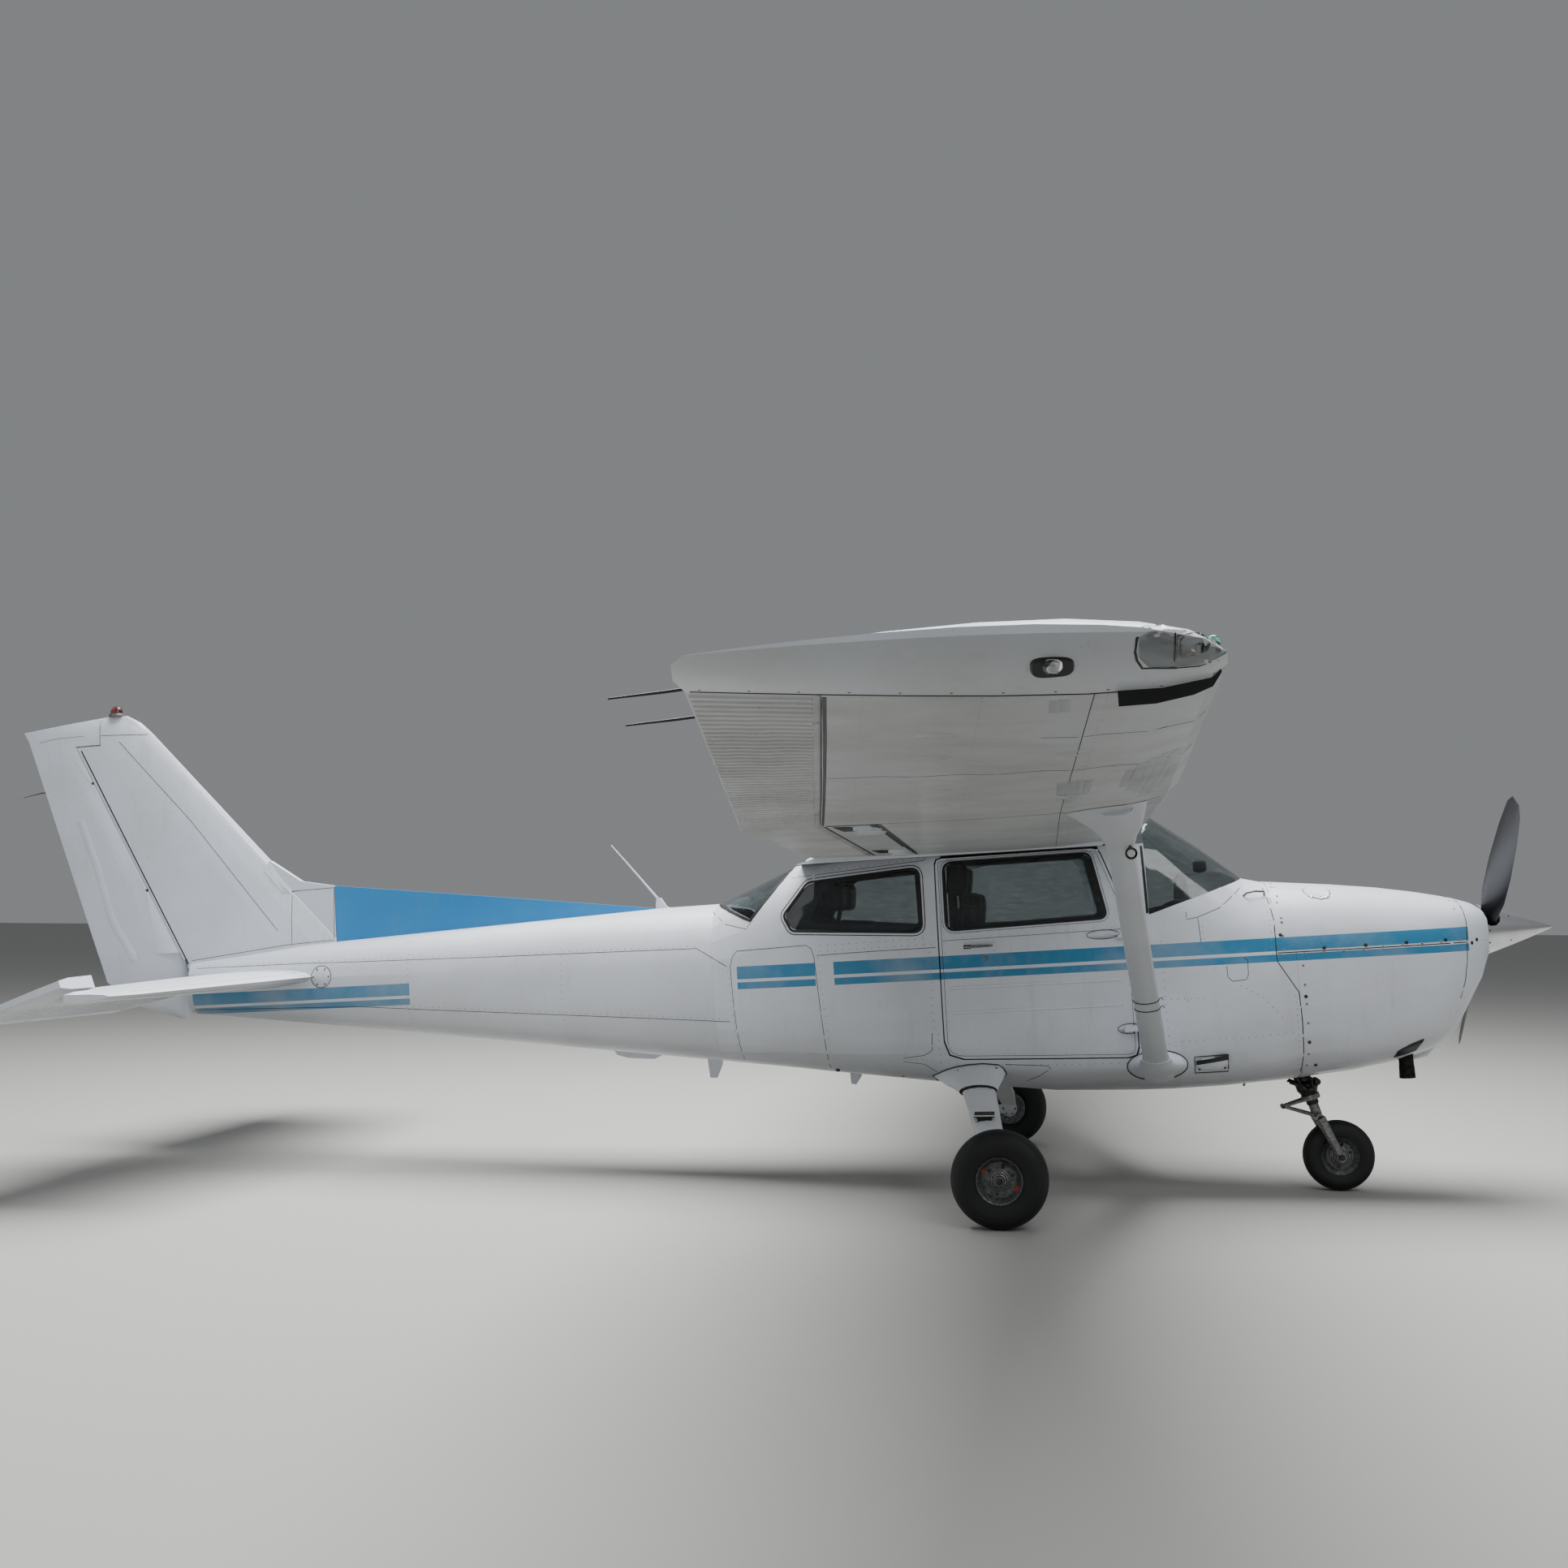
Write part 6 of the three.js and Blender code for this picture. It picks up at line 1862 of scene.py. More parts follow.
    def lip(self, wing: Skin, y: float, side: int) -> float:
        """Finds how far aft the fixed wing's lower skin reaches at a span position.

        Args:
            wing: the fixed wing's skin.
            y: the distance from the middle plane.
            side: 1 for port, -1 for starboard.

        Returns:
            The place of the lip along x.
        """
        x = self.hinge(y) + 0.02
        level = wing.under(x, side * y)[0].z
        while True:
            spot = wing.under(x - 0.002, side * y)
            if not spot or abs(spot[0].z - level) > 0.004:
                return x
            x, level = x - 0.002, spot[0].z

    def fittings(self, name: str, side: int) -> None:
        """Adds fuel caps, static wicks, inspection plates and the pitot head.

        Args:
            name: the side, left or right.
            side: 1 for port, -1 for starboard.
        """
        skin = Skin(f"{name}_wing")
        pen = Pen()
        cap = skin.over(-1.12, side * 1.06)
        pen.stud(cap, 0.048, 0.004, 36, 0.92)
        pen.block(raised(cap, 0.008)[0], (AHEAD, PORT, cap[1]), (0.060, 0.012, 0.010), 0.002)
        pen.make(f"{name}_fuel_cap", Slot.ALLOY, PAINT.alloy)
        for x, y in ((-1.62, 1.12), (-1.62, 1.85), (-1.55, 3.12), (-1.52, 3.52), (-1.48, 4.30),
                     (-1.10, 3.12), (-1.10, 4.30), (-1.44, 4.70)):
            cover(pen, skin, "under", oval(x, side * y, 0.055, 0.055, 24), 0.0018, 0.94)
        pen.make(f"{name}_wing_inspection_plates", Slot.DULL, PAINT.wing)
        surface, aft = Skin(f"{name}_aileron"), STANCE.turn(-1, 0, -0.04)
        for y in (4.92, 5.26):
            root = surface.over(self.trail(y) + 0.03, side * y)
            if root:
                point, _ = root
                pen.tube([point + STANCE.turn(0.04, 0, 0.004), point + aft * 0.08,
                          point + aft * 0.20], [0.0042, 0.0034, 0.0022])
        pen.make(f"{name}_static_wicks", Slot.TRIM, PAINT.seal, f"{name}_aileron")
        if side < 0:
            return
        pen = Pen()
        top = skin.under(-0.98, 3.05)[0]
        down = top + STANCE.turn(0, 0, -0.085)
        pen.tube([top + STANCE.turn(0, 0, 0.01), top + STANCE.turn(0.01, 0, -0.05), down],
                 [0.012, 0.010, 0.0085], 12)
        pen.tube([down + STANCE.turn(-0.012, 0, 0), down + STANCE.turn(0.05, 0, 0),
                  down + STANCE.turn(0.20, 0, 0)], [0.009, 0.009, 0.006], 12)
        pen.make("pitot_head", Slot.ALLOY, PAINT.alloy)


@dataclass
class Struts:
    """Cuffs, bands and tie-down rings of the wing struts."""

    steps: int = 28
    across: Point3 = (0.0, -0.5, 0.866)
    foot: tuple = ((-0.7245, 0.592, 0.6155, 0.088, 0.047), (-0.7265, 0.612, 0.627, 0.078, 0.037),
                   (-0.731, 0.650, 0.649, 0.070, 0.0305))
    head: tuple = ((-0.9065, 2.345, 1.6235, 0.056, 0.0235), (-0.911, 2.400, 1.655, 0.068, 0.033),
                   (-0.918, 2.455, 1.685, 0.092, 0.044))

    def ring(self, row: Sequence[float], side: int) -> list[Vector]:
        """Gives a strut section.

        Args:
            row: the place of the section, its half chord and half thickness.
            side: 1 for port, -1 for starboard.

        Returns:
            The points around the section.
        """
        x, y, z, chord, thick = row
        return [
            STANCE.point(x + chord * cos, side * (y + self.across[1] * thick * sin),
                         z + self.across[2] * thick * sin)
            for cos, sin in circle(self.steps)
        ]

    def build(self) -> None:
        """Dresses both struts."""
        hull = Skin("forward_fuselage", "cabin_floor")
        for name, side in SIDES.items():
            wing = Skin(f"{name}_wing")
            pen = Pen()
            skirt = [hull.beside(x, z, side)[0] + Vector((0, side * 0.003, 0))
                     for x, z in oval(*STRUT_FOOT, 0.140, 0.071, self.steps)[:-1]]
            pen.rings([skirt, *(self.ring(row, side) for row in self.foot)])
            top = [wing.under(-0.955 + 0.150 * cos, side * (2.515 - 0.080 * sin))[0]
                   - STANCE.turn(0, 0, 0.002) for cos, sin in circle(self.steps)]
            pen.rings([*(self.ring(row, side) for row in self.head), top])
            pen.make(f"{name}_strut_cuffs", Slot.WHITE, PAINT.plain)
            lay(pen, hull, "beside", [oval(*STRUT_FOOT, 0.143, 0.074)], 0.005, 0.0035, side,
                closed=True)
            for x, z in oval(*STRUT_FOOT, 0.122, 0.060, 6)[:-1]:
                pen.stud(raised(hull.beside(x, z, side), 0.006), 0.0055, 0.004, 8, 0.8)
            pen.make(f"{name}_strut_foot_seal", Slot.TRIM, PAINT.seal)
            for y, z, x in ((1.12, 0.9185, -0.7797), (1.19, 0.9588, -0.7869)):
                pen.rings([self.ring((x, y + way * 0.0022, z + way * 0.0013, 0.0583, 0.0226), side)
                           for way in (-1, 1)])
                knot = STANCE.point(x + 0.058, side * y, z)
                pen.tube([knot, knot + STANCE.turn(0.012, 0, 0.008),
                          knot + STANCE.turn(0.016, 0, -0.004)], 0.0022, 6)
            pen.make(f"{name}_strut_bands", Slot.TRIM, PAINT.seal)
            eye = STANCE.point(-0.868, side * 2.352, 1.583)
            pen.tube([STANCE.point(-0.880, side * 2.375, 1.63), eye + STANCE.turn(0, 0, 0.018)],
                     0.006, 10)
            pen.ring(eye, PORT, 0.019, 0.0045)
            pen.make(f"{name}_tie_down_ring", Slot.STEEL, PAINT.steel)


@dataclass
class TailSurfaces:
    """Laps, rivets, beads and wicks of the fin, rudder, tailplane and elevator."""

    bead_pitch: float = 0.062
    fin_laps: tuple[tuple[Point2, ...], ...] = (
        ((-5.306, 1.713), (-5.058, 1.718), (-5.068, 1.431), (-5.310, 1.420), (-5.90, 1.362)),
        ((-6.302, 2.62), (-5.882, 2.146), (-5.38, 1.50)),
        ((-6.440, 2.664), (-6.286, 2.657), (-6.135, 2.650)),
        ((-5.300, 1.712), (-5.300, 1.425)),
    )
    fin_rivets: tuple[tuple[Point2, ...], ...] = (
        ((-6.302, 2.60), (-5.882, 2.146), (-5.44, 1.61)),
        ((-5.20, 1.44), (-5.90, 1.377)), ((-5.60, 1.86), (-6.17, 1.84)),
        ((-5.87, 2.21), (-6.33, 2.19)), ((-6.13, 2.632), (-6.50, 2.590)),
        ((-5.47, 1.55), (-6.05, 1.53)), ((-5.99, 1.46), (-6.50, 2.50)),
        ((-5.09, 1.70), (-5.09, 1.45)), ((-5.32, 1.70), (-5.32, 1.44)),
    )
    rudder_rivets: tuple[tuple[Point2, ...], ...] = (
        ((-6.09, 1.42), (-6.66, 2.56)), ((-6.12, 1.42), (-6.42, 1.42)),
        ((-6.68, 2.58), (-6.82, 2.58)), ((-6.50, 1.50), (-6.80, 2.52)),
        ((-6.02, 1.26), (-6.40, 1.26)),
    )

    def build(self) -> None:
        """Dresses the tail."""
        self.upright()
        self.level()

    def upright(self) -> None:
        """Dresses the fin and rudder."""
        fin, rudder = Skin("fin", "dorsal_fin", "tailcone"), Skin("rudder")
        seams, rivets, trim, heads, gaps, plates = (Pen() for _ in range(6))
        for side in SIDES.values():
            lay(seams, fin, "beside", self.fin_laps, 0.0036, 0.0007, side)
            lay(gaps, fin, "beside", [((-6.538, 2.585), (-6.225, 1.955), (-5.918, 1.345))],
                0.009, 0.0009, side)
            lay(heads, rudder, "beside", [((-6.800, 2.652), (-6.692, 2.668), (-6.520, 2.668))],
                0.0036, 0.0007, side)
            rivet(rivets, fin, "beside", self.fin_rivets, 0.034, side, radius=0.003)
            lay(trim, rudder, "beside", [
                ((-6.561, 2.191), (-6.463, 1.902), (-6.388, 1.617), (-6.250, 1.380)),
            ], 0.055, 0.0014, side)
            rivet(heads, rudder, "beside", self.rudder_rivets, 0.042, side, radius=0.003)
            strake = ((-5.463, 1.837), (-5.432, 1.886), (-5.3275, 1.730), (-5.307, 1.699),
                      (-5.350, 1.700), (-5.463, 1.837))
            cover(plates, fin, "beside", strake, 0.003, 0.92, side)
        seams.make("fin_seams", Slot.WHITE, PAINT.sealant)
        gaps.make("fin_edge_shadow", Slot.TRIM, PAINT.seal)
        rivets.make("fin_rivets", Slot.WHITE, PAINT.rivet)
        trim.make("rudder_beads", Slot.WHITE, PAINT.plain, "rudder")
        heads.make("rudder_rivets", Slot.WHITE, PAINT.rivet, "rudder")
        plates.make("fin_root_plates", Slot.WHITE, PAINT.plain)
        pen = Pen()
        wick = ((-6.705, 0.003, 2.364), (-6.805, 0.0, 2.364), (-6.920, 0.0, 2.344))
        pen.tube([STANCE.point(*place) for place in wick], [0.0036, 0.003, 0.0012])
        pen.make("rudder_wicks", Slot.TRIM, PAINT.seal, "rudder")
        collar = [(0.0, 0.0005), (0.0405, 0.0005), (0.0425, 0.006), (0.0405, 0.0135),
                  (0.0, 0.0135)]
        pen.lathe(STANCE.point(-6.330, 0, 2.7684), UP, collar, 36)
        pen.make("beacon_collar", Slot.ALLOY, PAINT.alloy)

    def level(self) -> None:
        """Dresses the tailplane and elevator."""
        plane, flap = Skin("tailplane"), Skin("elevator", "trim_tab")
        seams, rivets, beads, heads = Pen(), Pen(), Pen(), Pen()
        for side in SIDES.values():
            ribs = [[(-5.22 - 0.10 * y / 1.6, side * y), (-5.79, side * y)]
                    for y in (0.30, 0.56, 0.82, 1.08, 1.34, 1.60)]
            spars = [[(-5.775, side * 0.24), (-5.775, side * 1.42)],
                     [(-5.22, side * 0.24), (-5.36, side * 1.62)]]
            laps = [[(-5.19, side * 0.25), (-5.34, side * 1.64)],
                    [(-5.15, side * 0.235), (-5.80, side * 0.235)]]
            count = round(1.42 / self.bead_pitch)
            ys = [0.22 + 1.42 * k / count for k in range(count + 1)]
            pressed = [[(-5.955, side * y), (-6.245 + 0.05 * y, side * y)] for y in ys]
            for meet in ("over", "under"):
                rivet(rivets, plane, meet, [*ribs, *spars], 0.040, radius=0.003)
                lay(seams, plane, meet, laps, 0.003, SEAM_RISE)
                lay(beads, flap, meet, pressed, 0.011, 0.0026)
                rivet(heads, flap, meet, [[(-5.925, side * 0.24), (-5.925, side * 1.66)]], 0.045,
                      radius=0.0028)
        seams.make("tailplane_seams", Slot.WHITE, PAINT.sealant)
        rivets.make("tailplane_rivets", Slot.WHITE, PAINT.rivet)
        beads.make("elevator_beads", Slot.WHITE, PAINT.plain, "elevator")
        heads.make("elevator_rivets", Slot.WHITE, PAINT.rivet, "elevator")
        pen = Pen()
        for side in SIDES.values():
            for y in (0.95, 1.45):
                spot = flap.over(-6.235 + 0.05 * y, side * y)
                if spot:
                    point = spot[0]
                    aft = STANCE.turn(-1, 0, -0.32).normalized()
                    pen.tube([point - aft * 0.03, point + aft * 0.05, point + aft * 0.13],
                             [0.0034, 0.0028, 0.0012])
        pen.make("elevator_wicks", Slot.TRIM, PAINT.seal, "elevator")


@dataclass
class LandingGear:
    """Tyres with grooves, wheel rings, brake lines, steps and leg fairings."""

    main: Point3 = (-1.478, 1.276, 0.216)
    nose: Point3 = (0.166, 0.0, 0.0666037)
    tread: tuple = (0.0, 0.28, 0.56)
    groove: float = 0.005
    strut_rake: float = math.radians(15)

    def build(self) -> None:
        """Dresses the three wheels and both main legs."""
        x, y, z = self.main
        for name, side in SIDES.items():
            centre = STANCE.point(x, side * y, z)
            out = PORT * side
            self.tyre(f"{name}_main", centre, 0.2155, 0.0775, 0.0983, 0.0583)
            self.hub(f"{name}_main", centre, out, 0.098)
            self.leg(name, side)
        centre = STANCE.point(*self.nose)
        self.tyre("nose", centre, 0.1725, 0.0595, 0.0863, 0.0443)
        for side in SIDES.values():
            self.hub("nose", centre, PORT * side, 0.086, suffix=f"_{side + 1}")
        self.strut_casting()
        self.fork()

    def tyre(
        self, name: str, centre: Vector, radius: float, half: float, bead: float,
        bead_half: float,
    ) -> None:
        """Turns a tyre with three grooves, a shoulder line and sidewall rings.

        Args:
            name: the wheel's name.
            centre: its middle.
            radius: the tread's radius.
            half: half its width.
            bead: the rim's radius.
            bead_half: half the rim's width.
        """
        middle = bead + 0.45 * (radius - bead)
        outer = []
        for k in range(49):
            turn = math.pi * k / 48
            cos, sin = math.cos(turn), math.sin(turn)
            width = -half * math.copysign(abs(cos) ** 0.8, cos)
            reach = middle + (radius - middle) * abs(sin) ** 0.8
            if k in (6, 7, 41, 42):
                width *= 1.012
            if k in (9, 39):
                reach -= 0.0025
            outer.append((reach, width))
        profile = [(bead, -bead_half)]
        cuts = sorted({sign * share * half for share in self.tread for sign in (1, -1)})
        for (r0, w0), (r1, w1) in zip(outer, outer[1:]):
            profile.append((r0, w0))
            for cut in cuts:
                if w0 <= cut < w1:
                    share = (cut - w0) / (w1 - w0)
                    edge = r0 + (r1 - r0) * share
                    profile += [(edge, cut - 0.0026), (edge - self.groove, cut - 0.0016),
                                (edge - self.groove, cut + 0.0016), (edge, cut + 0.0026)]
        profile += [outer[-1], (bead, bead_half)]
        ordered = sorted(profile[1:-1], key=lambda spot: spot[1])
        pen = Pen()
        pen.lathe(centre, PORT, [profile[0], *ordered, profile[-1]], 72)
        piece = pen.make(f"{name}_tyre_tread", Slot.TYRE, PAINT.tyre, f"{name}_wheel")
        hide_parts(f"{name}_tyre")

    def hub(
        self, name: str, centre: Vector, out: Vector, rim: float, suffix: str = ""
    ) -> None:
        """Adds the rings, bolts, valve and slip marks of a wheel's outer face.

        Args:
            name: the wheel's name.
            centre: the wheel's middle.
            out: the direction of this face.
            rim: the rim's radius.
            suffix: an ending for the pieces' names.
        """
        body, main = f"{name}_wheel", name != "nose"
        pen = Pen()
        web = centre + out * 0.0300
        pen.lathe(web, out, [
            (rim * 0.74, -0.001), (rim * 0.74, 0.0042), (rim * 0.73, 0.007), (rim * 0.71, 0.007),
            (rim * 0.70, 0.0042), (rim * 0.70, -0.001)])
        pen.lathe(web, out, [
            (0.0290, -0.002), (0.0470, -0.002), (0.0470, 0.006), (0.0435, 0.008),
            (0.0405, 0.004), (0.0385, 0.004), (0.0385, 0.010), (0.0345, 0.012),
            (0.0325, 0.007), (0.0300, 0.007), (0.0290, 0.013)])
        pen.lathe(centre + out * 0.044, out, [
            (0.0295, -0.003), (0.0295, 0.002), (0.0270, 0.004), (0.0235, 0.004), (0.0225, 0.0),
            (0.0165, 0.0), (0.0165, 0.0045), (0.0135, 0.0045), (0.0125, -0.003)])
        pen.lathe(centre + out * 0.044, out, [
            (0.0155, 0.0), (0.0212, 0.0), (0.0212, 0.012), (0.0190, 0.015), (0.0155, 0.015)], 24)
        pen.make(f"{name}_hub_rings{suffix}", Slot.ALLOY, PAINT.alloy, body)
        side, up = Vector((1, 0, 0)), Vector((0, 0, 1))
        cap = [(0.0, 0.0), (0.0150, 0.0), (0.0150, 0.003), (0.0120, 0.0045), (0.0, 0.0045)]
        pen.lathe(centre + out * (0.0662 if main else 0.0945), out, cap, 24)
        for cos, sin in circle(3, math.radians(20)):
            pen.stud((web + (side * cos + up * sin) * rim * 0.62, out), 0.0062, 0.007, 6, 0.9)
        valve = web + (side * 0.22 + up * 0.85).normalized() * rim * 0.60
        pen.tube([valve, valve + out * 0.016 + up * 0.012, valve + out * 0.020 + up * 0.020],
                 [0.0045, 0.0042, 0.0036])
        pen.make(f"{name}_hub_bolts{suffix}", Slot.STEEL, PAINT.steel, body)
        if main:
            face = Skin(body, f"{name}_tyre")
            for turn, reach, size in ((152, 0.085, 0.020), (336, 0.086, 0.026)):
                turn = math.radians(turn)
                way = side * math.cos(turn) + up * math.sin(turn)
                spot = face.cast(centre + out * 0.3 + way * reach, -out)
                if spot:
                    pen.block(spot[0], (way, out.cross(way), out), (size, size, 0.0024), 0.0006)
            pen.make(f"{name}_slip_marks", Slot.TYRE, PAINT.red_paint, body)

    def leg(self, name: str, side: int) -> None:
        """Adds a leg's root fairing, its dark edges, the step and the brake line.

        Args:
            name: the side, left or right.
            side: 1 for port, -1 for starboard.
        """
        hull = Skin("cabin_floor", "forward_fuselage")
        outline = [(-1.441, 0.590), (-1.452, 0.617), (-1.473, 0.633), (-1.545, 0.642),
                   (-1.623, 0.640), (-1.680, 0.631), (-1.724, 0.6195), (-1.765, 0.603),
                   (-1.797, 0.588), (-1.775, 0.572), (-1.724, 0.557), (-1.680, 0.549),
                   (-1.639, 0.545), (-1.560, 0.546), (-1.510, 0.549), (-1.468, 0.5585)]
        spots = hull.follow(hull.beside, [*outline, outline[0]], side, step=0.5)[:-1]
        collar = [STANCE.point(-1.572 + 0.089 * cos, side * (0.655 + 0.42 * 0.034 * sin),
                               0.529 + 0.907 * 0.034 * sin)
                  for cos, sin in circle(len(spots), math.radians(-8))]
        foot = [raised(spot, 0.002)[0] for spot in spots]
        rise = [point.lerp(to, 0.33) + (normal + Vector((0, 0, 0.4))) * 0.012
                for (point, normal), to in zip(spots, collar)]
        near = [a.lerp(b, 0.72) + Vector((0, side * 0.002, 0.004)) for a, b in zip(foot, collar)]
        pen = Pen()
        pen.rings([foot, rise, near, collar])
        pen.make(f"{name}_leg_fairing", Slot.LEG, PAINT.leg)
        lay(pen, hull, "beside", [grown([*outline, outline[0]], 0.004)], 0.005, 0.003, side,
            closed=True)
        centre = sum(collar, Vector()) / len(collar)
        rim = [centre + (p - centre) * 1.015 for p in collar]
        pen.rings([[p + (q - p) * t for p, q in zip(rim, near)] for t in (-0.03, 0.09)])
        for k in (2, 5, 8, 12):
            point, normal = spots[k]
            pen.stud((point.lerp(centre, 0.10) + normal * 0.008, normal), 0.0075, 0.006, 8, 0.8)
        pen.make(f"{name}_leg_fairing_seal", Slot.TRIM, PAINT.seal)
        step = STANCE.point(-1.539, side * 0.935, 0.4565)
        axes = (STANCE.turn(1, 0, -0.03), Vector((0, side, -0.1)), Vector((0, 0.1 * side, 1)))
        pen.block(step, axes, (0.098, 0.074, 0.006), 0.0015)
        pen.make(f"{name}_step", Slot.LEG, PAINT.leg)
        # A thin dark tread lies on top of the step. The dark block under its edge and the dark
        # scalloped shape below it are painted shade beneath the step.
        pen.block(step + Vector((0, 0, 0.0035)), axes, (0.092, 0.066, 0.003), 0.0008)
        pen.block(step + Vector((0, side * 0.006, -0.0045)), axes, (0.096, 0.064, 0.003), 0.0008)
        rings = []
        for drop, half in ((0.006, 0.044), (0.013, 0.036), (0.024, 0.031), (0.034, 0.034)):
            aft, fore = (step + Vector((0, 0, -drop)) + axes[0] * half * way for way in (-1, 1))
            deep = Vector((0, side * (0.030 - drop * 0.3), 0))
            rings.append([aft, fore, fore + deep, aft + deep])
        pen.rings(rings)
        pen.make(f"{name}_step_tread_and_painted_shade", Slot.TRIM, PAINT.crackle)
        line = [(-1.640, 0.66, 0.515), (-1.600, 0.90, 0.425), (-1.556, 1.09, 0.325),
                (-1.540, 1.150, 0.262), (-1.535, 1.178, 0.235)]
        pen.tube([STANCE.point(x, side * y, z) for x, y, z in line], 0.0032, 8)
        for x, y, z in line[1:3]:
            pen.block(STANCE.point(x + 0.012, side * y, z), (Vector((1, 0, 0)),
                      PORT, Vector((0, 0, 1))), (0.030, 0.008, 0.012), 0.001)
        disc = STANCE.point(-1.478, side * (1.276 - 0.106), 0.216)
        for cos, sin in circle(6):
            spot = disc + Vector((0.034 * cos, 0, 0.034 * sin))
            pen.stud((spot, PORT * -side), 0.0055, 0.007, 6, 0.9)
        pen.make(f"{name}_brake_line", Slot.TRIM, PAINT.seal)

    def fork(self) -> None:
        """Adds the fork's bolts and the wiper on the shock strut."""
        strut = self.strut
        along = (strut(0.30) - strut(0.45)).normalized()
        pen = Pen()
        for y in (-0.108, 0.108):
            pen.stud((STANCE.point(self.nose[0], y * 0.90, self.nose[2]),
                      Vector((0, math.copysign(1, y), 0))), 0.017, 0.011, 6, 0.92)
            pen.stud((strut(0.262, y * 0.88), Vector((0, math.copysign(1, y), 0))), 0.013,
                     0.007, 6, 0.92)
        for y in (-0.024, 0.024):
            pen.stud((STANCE.point(-0.084, y, 0.318), Vector((0, math.copysign(1, y), 0))),
                     0.009, 0.006, 6, 0.92)
        pen.make("nose_fork_bolts", Slot.STEEL, PAINT.steel, "nose_fork")
        pen.lathe(strut(0.335), along, [(0.0262, -0.012), (0.0300, -0.010), (0.0300, 0.010),
                                        (0.0262, 0.012), (0.0240, 0.0)], 32)
        pen.make("nose_oleo_wiper", Slot.TRIM, PAINT.seal, "nose_fork")

    def strut(self, z: float, y: float = 0.0) -> Vector:
        """Gives a point on or beside the nose strut's axis."""
        return STANCE.point(0.040 + (0.413 - z) * math.tan(self.strut_rake), y, z)

    def strut_casting(self) -> None:
        """Builds the nose strut's casting, collar, steering rods and shimmy damper."""
        strut = self.strut
        along = (strut(0.30) - strut(0.45)).normalized()
        ahead, port = AHEAD, PORT
        pen = Pen()
        pen.lathe(strut(0.600), along, [
            (0.020, 0.0), (0.034, 0.0), (0.034, 0.095), (0.041, 0.100), (0.041, 0.126),
            (0.034, 0.132), (0.034, 0.166), (0.048, 0.172), (0.054, 0.182), (0.054, 0.206),
            (0.047, 0.216), (0.040, 0.2350), (0.020, 0.2350)], 40)
        for side in SIDES.values():
            lug = strut(0.404, side * 0.060)
            pen.block(lug, (ahead, along, port), (0.034, 0.020, 0.026), 0.003)
            pen.stud((lug + ahead * 0.004 + port * side * 0.013, port * side), 0.009, 0.008, 6, 0.9)
            pen.tube([lug - ahead * 0.012, lug - ahead * 0.030 - along * 0.020,
                      STANCE.point(-0.075, side * 0.080, 0.560)], 0.0075, 12)
            pen.tube([strut(0.418, side * 0.046) - ahead * 0.030,
                      strut(0.440, side * 0.046) - ahead * 0.072,
                      strut(0.432, side * 0.046) - ahead * 0.082], (0.012, 0.010, 0.006), 12)
        casting = pen.make("nose_strut_casting", Slot.STEEL, PAINT.steel)
        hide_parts("nose_leg")
        pen = Pen()
        damper = strut(0.438) + ahead * 0.052
        pen.tube([damper - port * 0.062, damper - port * 0.058, damper + port * 0.030,
                  damper + port * 0.034], (0.013, 0.0165, 0.0165, 0.013), 20)
        pen.tube([damper + port * 0.030, damper + port * 0.072], 0.006, 12)
        pen.lathe(strut(0.512), along, [(0.034, 0.0), (0.088, -0.010), (0.092, 0.004),
                                        (0.070, 0.020), (0.050, 0.030), (0.034, 0.032)], 36)
        pen.tube([strut(0.500, -0.050), strut(0.455, -0.062) + ahead * 0.03,
                  strut(0.420, -0.052) + ahead * 0.02, strut(0.410, -0.040)], 0.006, 10)
        pen.make("nose_strut_damper_and_boot", Slot.TRIM, PAINT.seal)


@dataclass
class Propeller:
    """Screws, backplate edge and rear ring at the spinner."""

    hub: Point3 = (0.958, 0.0, 1.143)
    base: float = -0.024
    radius: float = 0.127
    length: float = 0.346
    screw_turn: float = 50.5
    screw_rings: tuple = (
        # share of the spinner's length, number of screws, further turn
        (0.045, 12, 10.0), (0.36, 4, 0.0),
    )

    def build(self) -> None:
        """Dresses the spinner."""
        centre, cone, pen = STANCE.point(*self.hub), Skin("spinner"), Pen()
        for share, count, turn in self.screw_rings:
            reach = centre + AHEAD * (self.base + self.length * share)
            for cos, sin in circle(count, math.radians(self.screw_turn + turn)):
                way = UP * cos + PORT * sin
                spot = cone.cast(reach + way * 0.3, -way)
                if spot and (spot[0] - reach).length > 0.03:
                    pen.stud(spot, 0.0044, 0.0016, 10, 0.8)
        pen.make("spinner_screws", Slot.STEEL, PAINT.steel, "propeller")
        inner, edge, behind = self.radius - 0.020, self.radius + 0.0005, self.radius - 0.012
        pen.lathe(centre + AHEAD * (self.base - 0.004), AHEAD, [
            (inner, -0.002), (edge, -0.002), (edge + 0.001, 0.0005), (edge, 0.0032),
            (inner, 0.0032)], 64)
        pen.make("spinner_backplate_edge", Slot.POLISHED, PAINT.alloy, "propeller")
        pen.lathe(centre + AHEAD * (self.base - 0.014), AHEAD, [
            (0.060, -0.002), (behind, -0.002), (behind, 0.008), (0.060, 0.008)], 48)
        pen.make("spinner_rear_ring", Slot.BLADE, PAINT.blade, "propeller")


@dataclass(frozen=True)
class Pad:
    """One cushion: its place, lean, size and the CAD seat that it stands for."""

    name: str
    node: str
    centre: Point3
    size: Point3
    lean: float = 0.0
    channels: int = 0


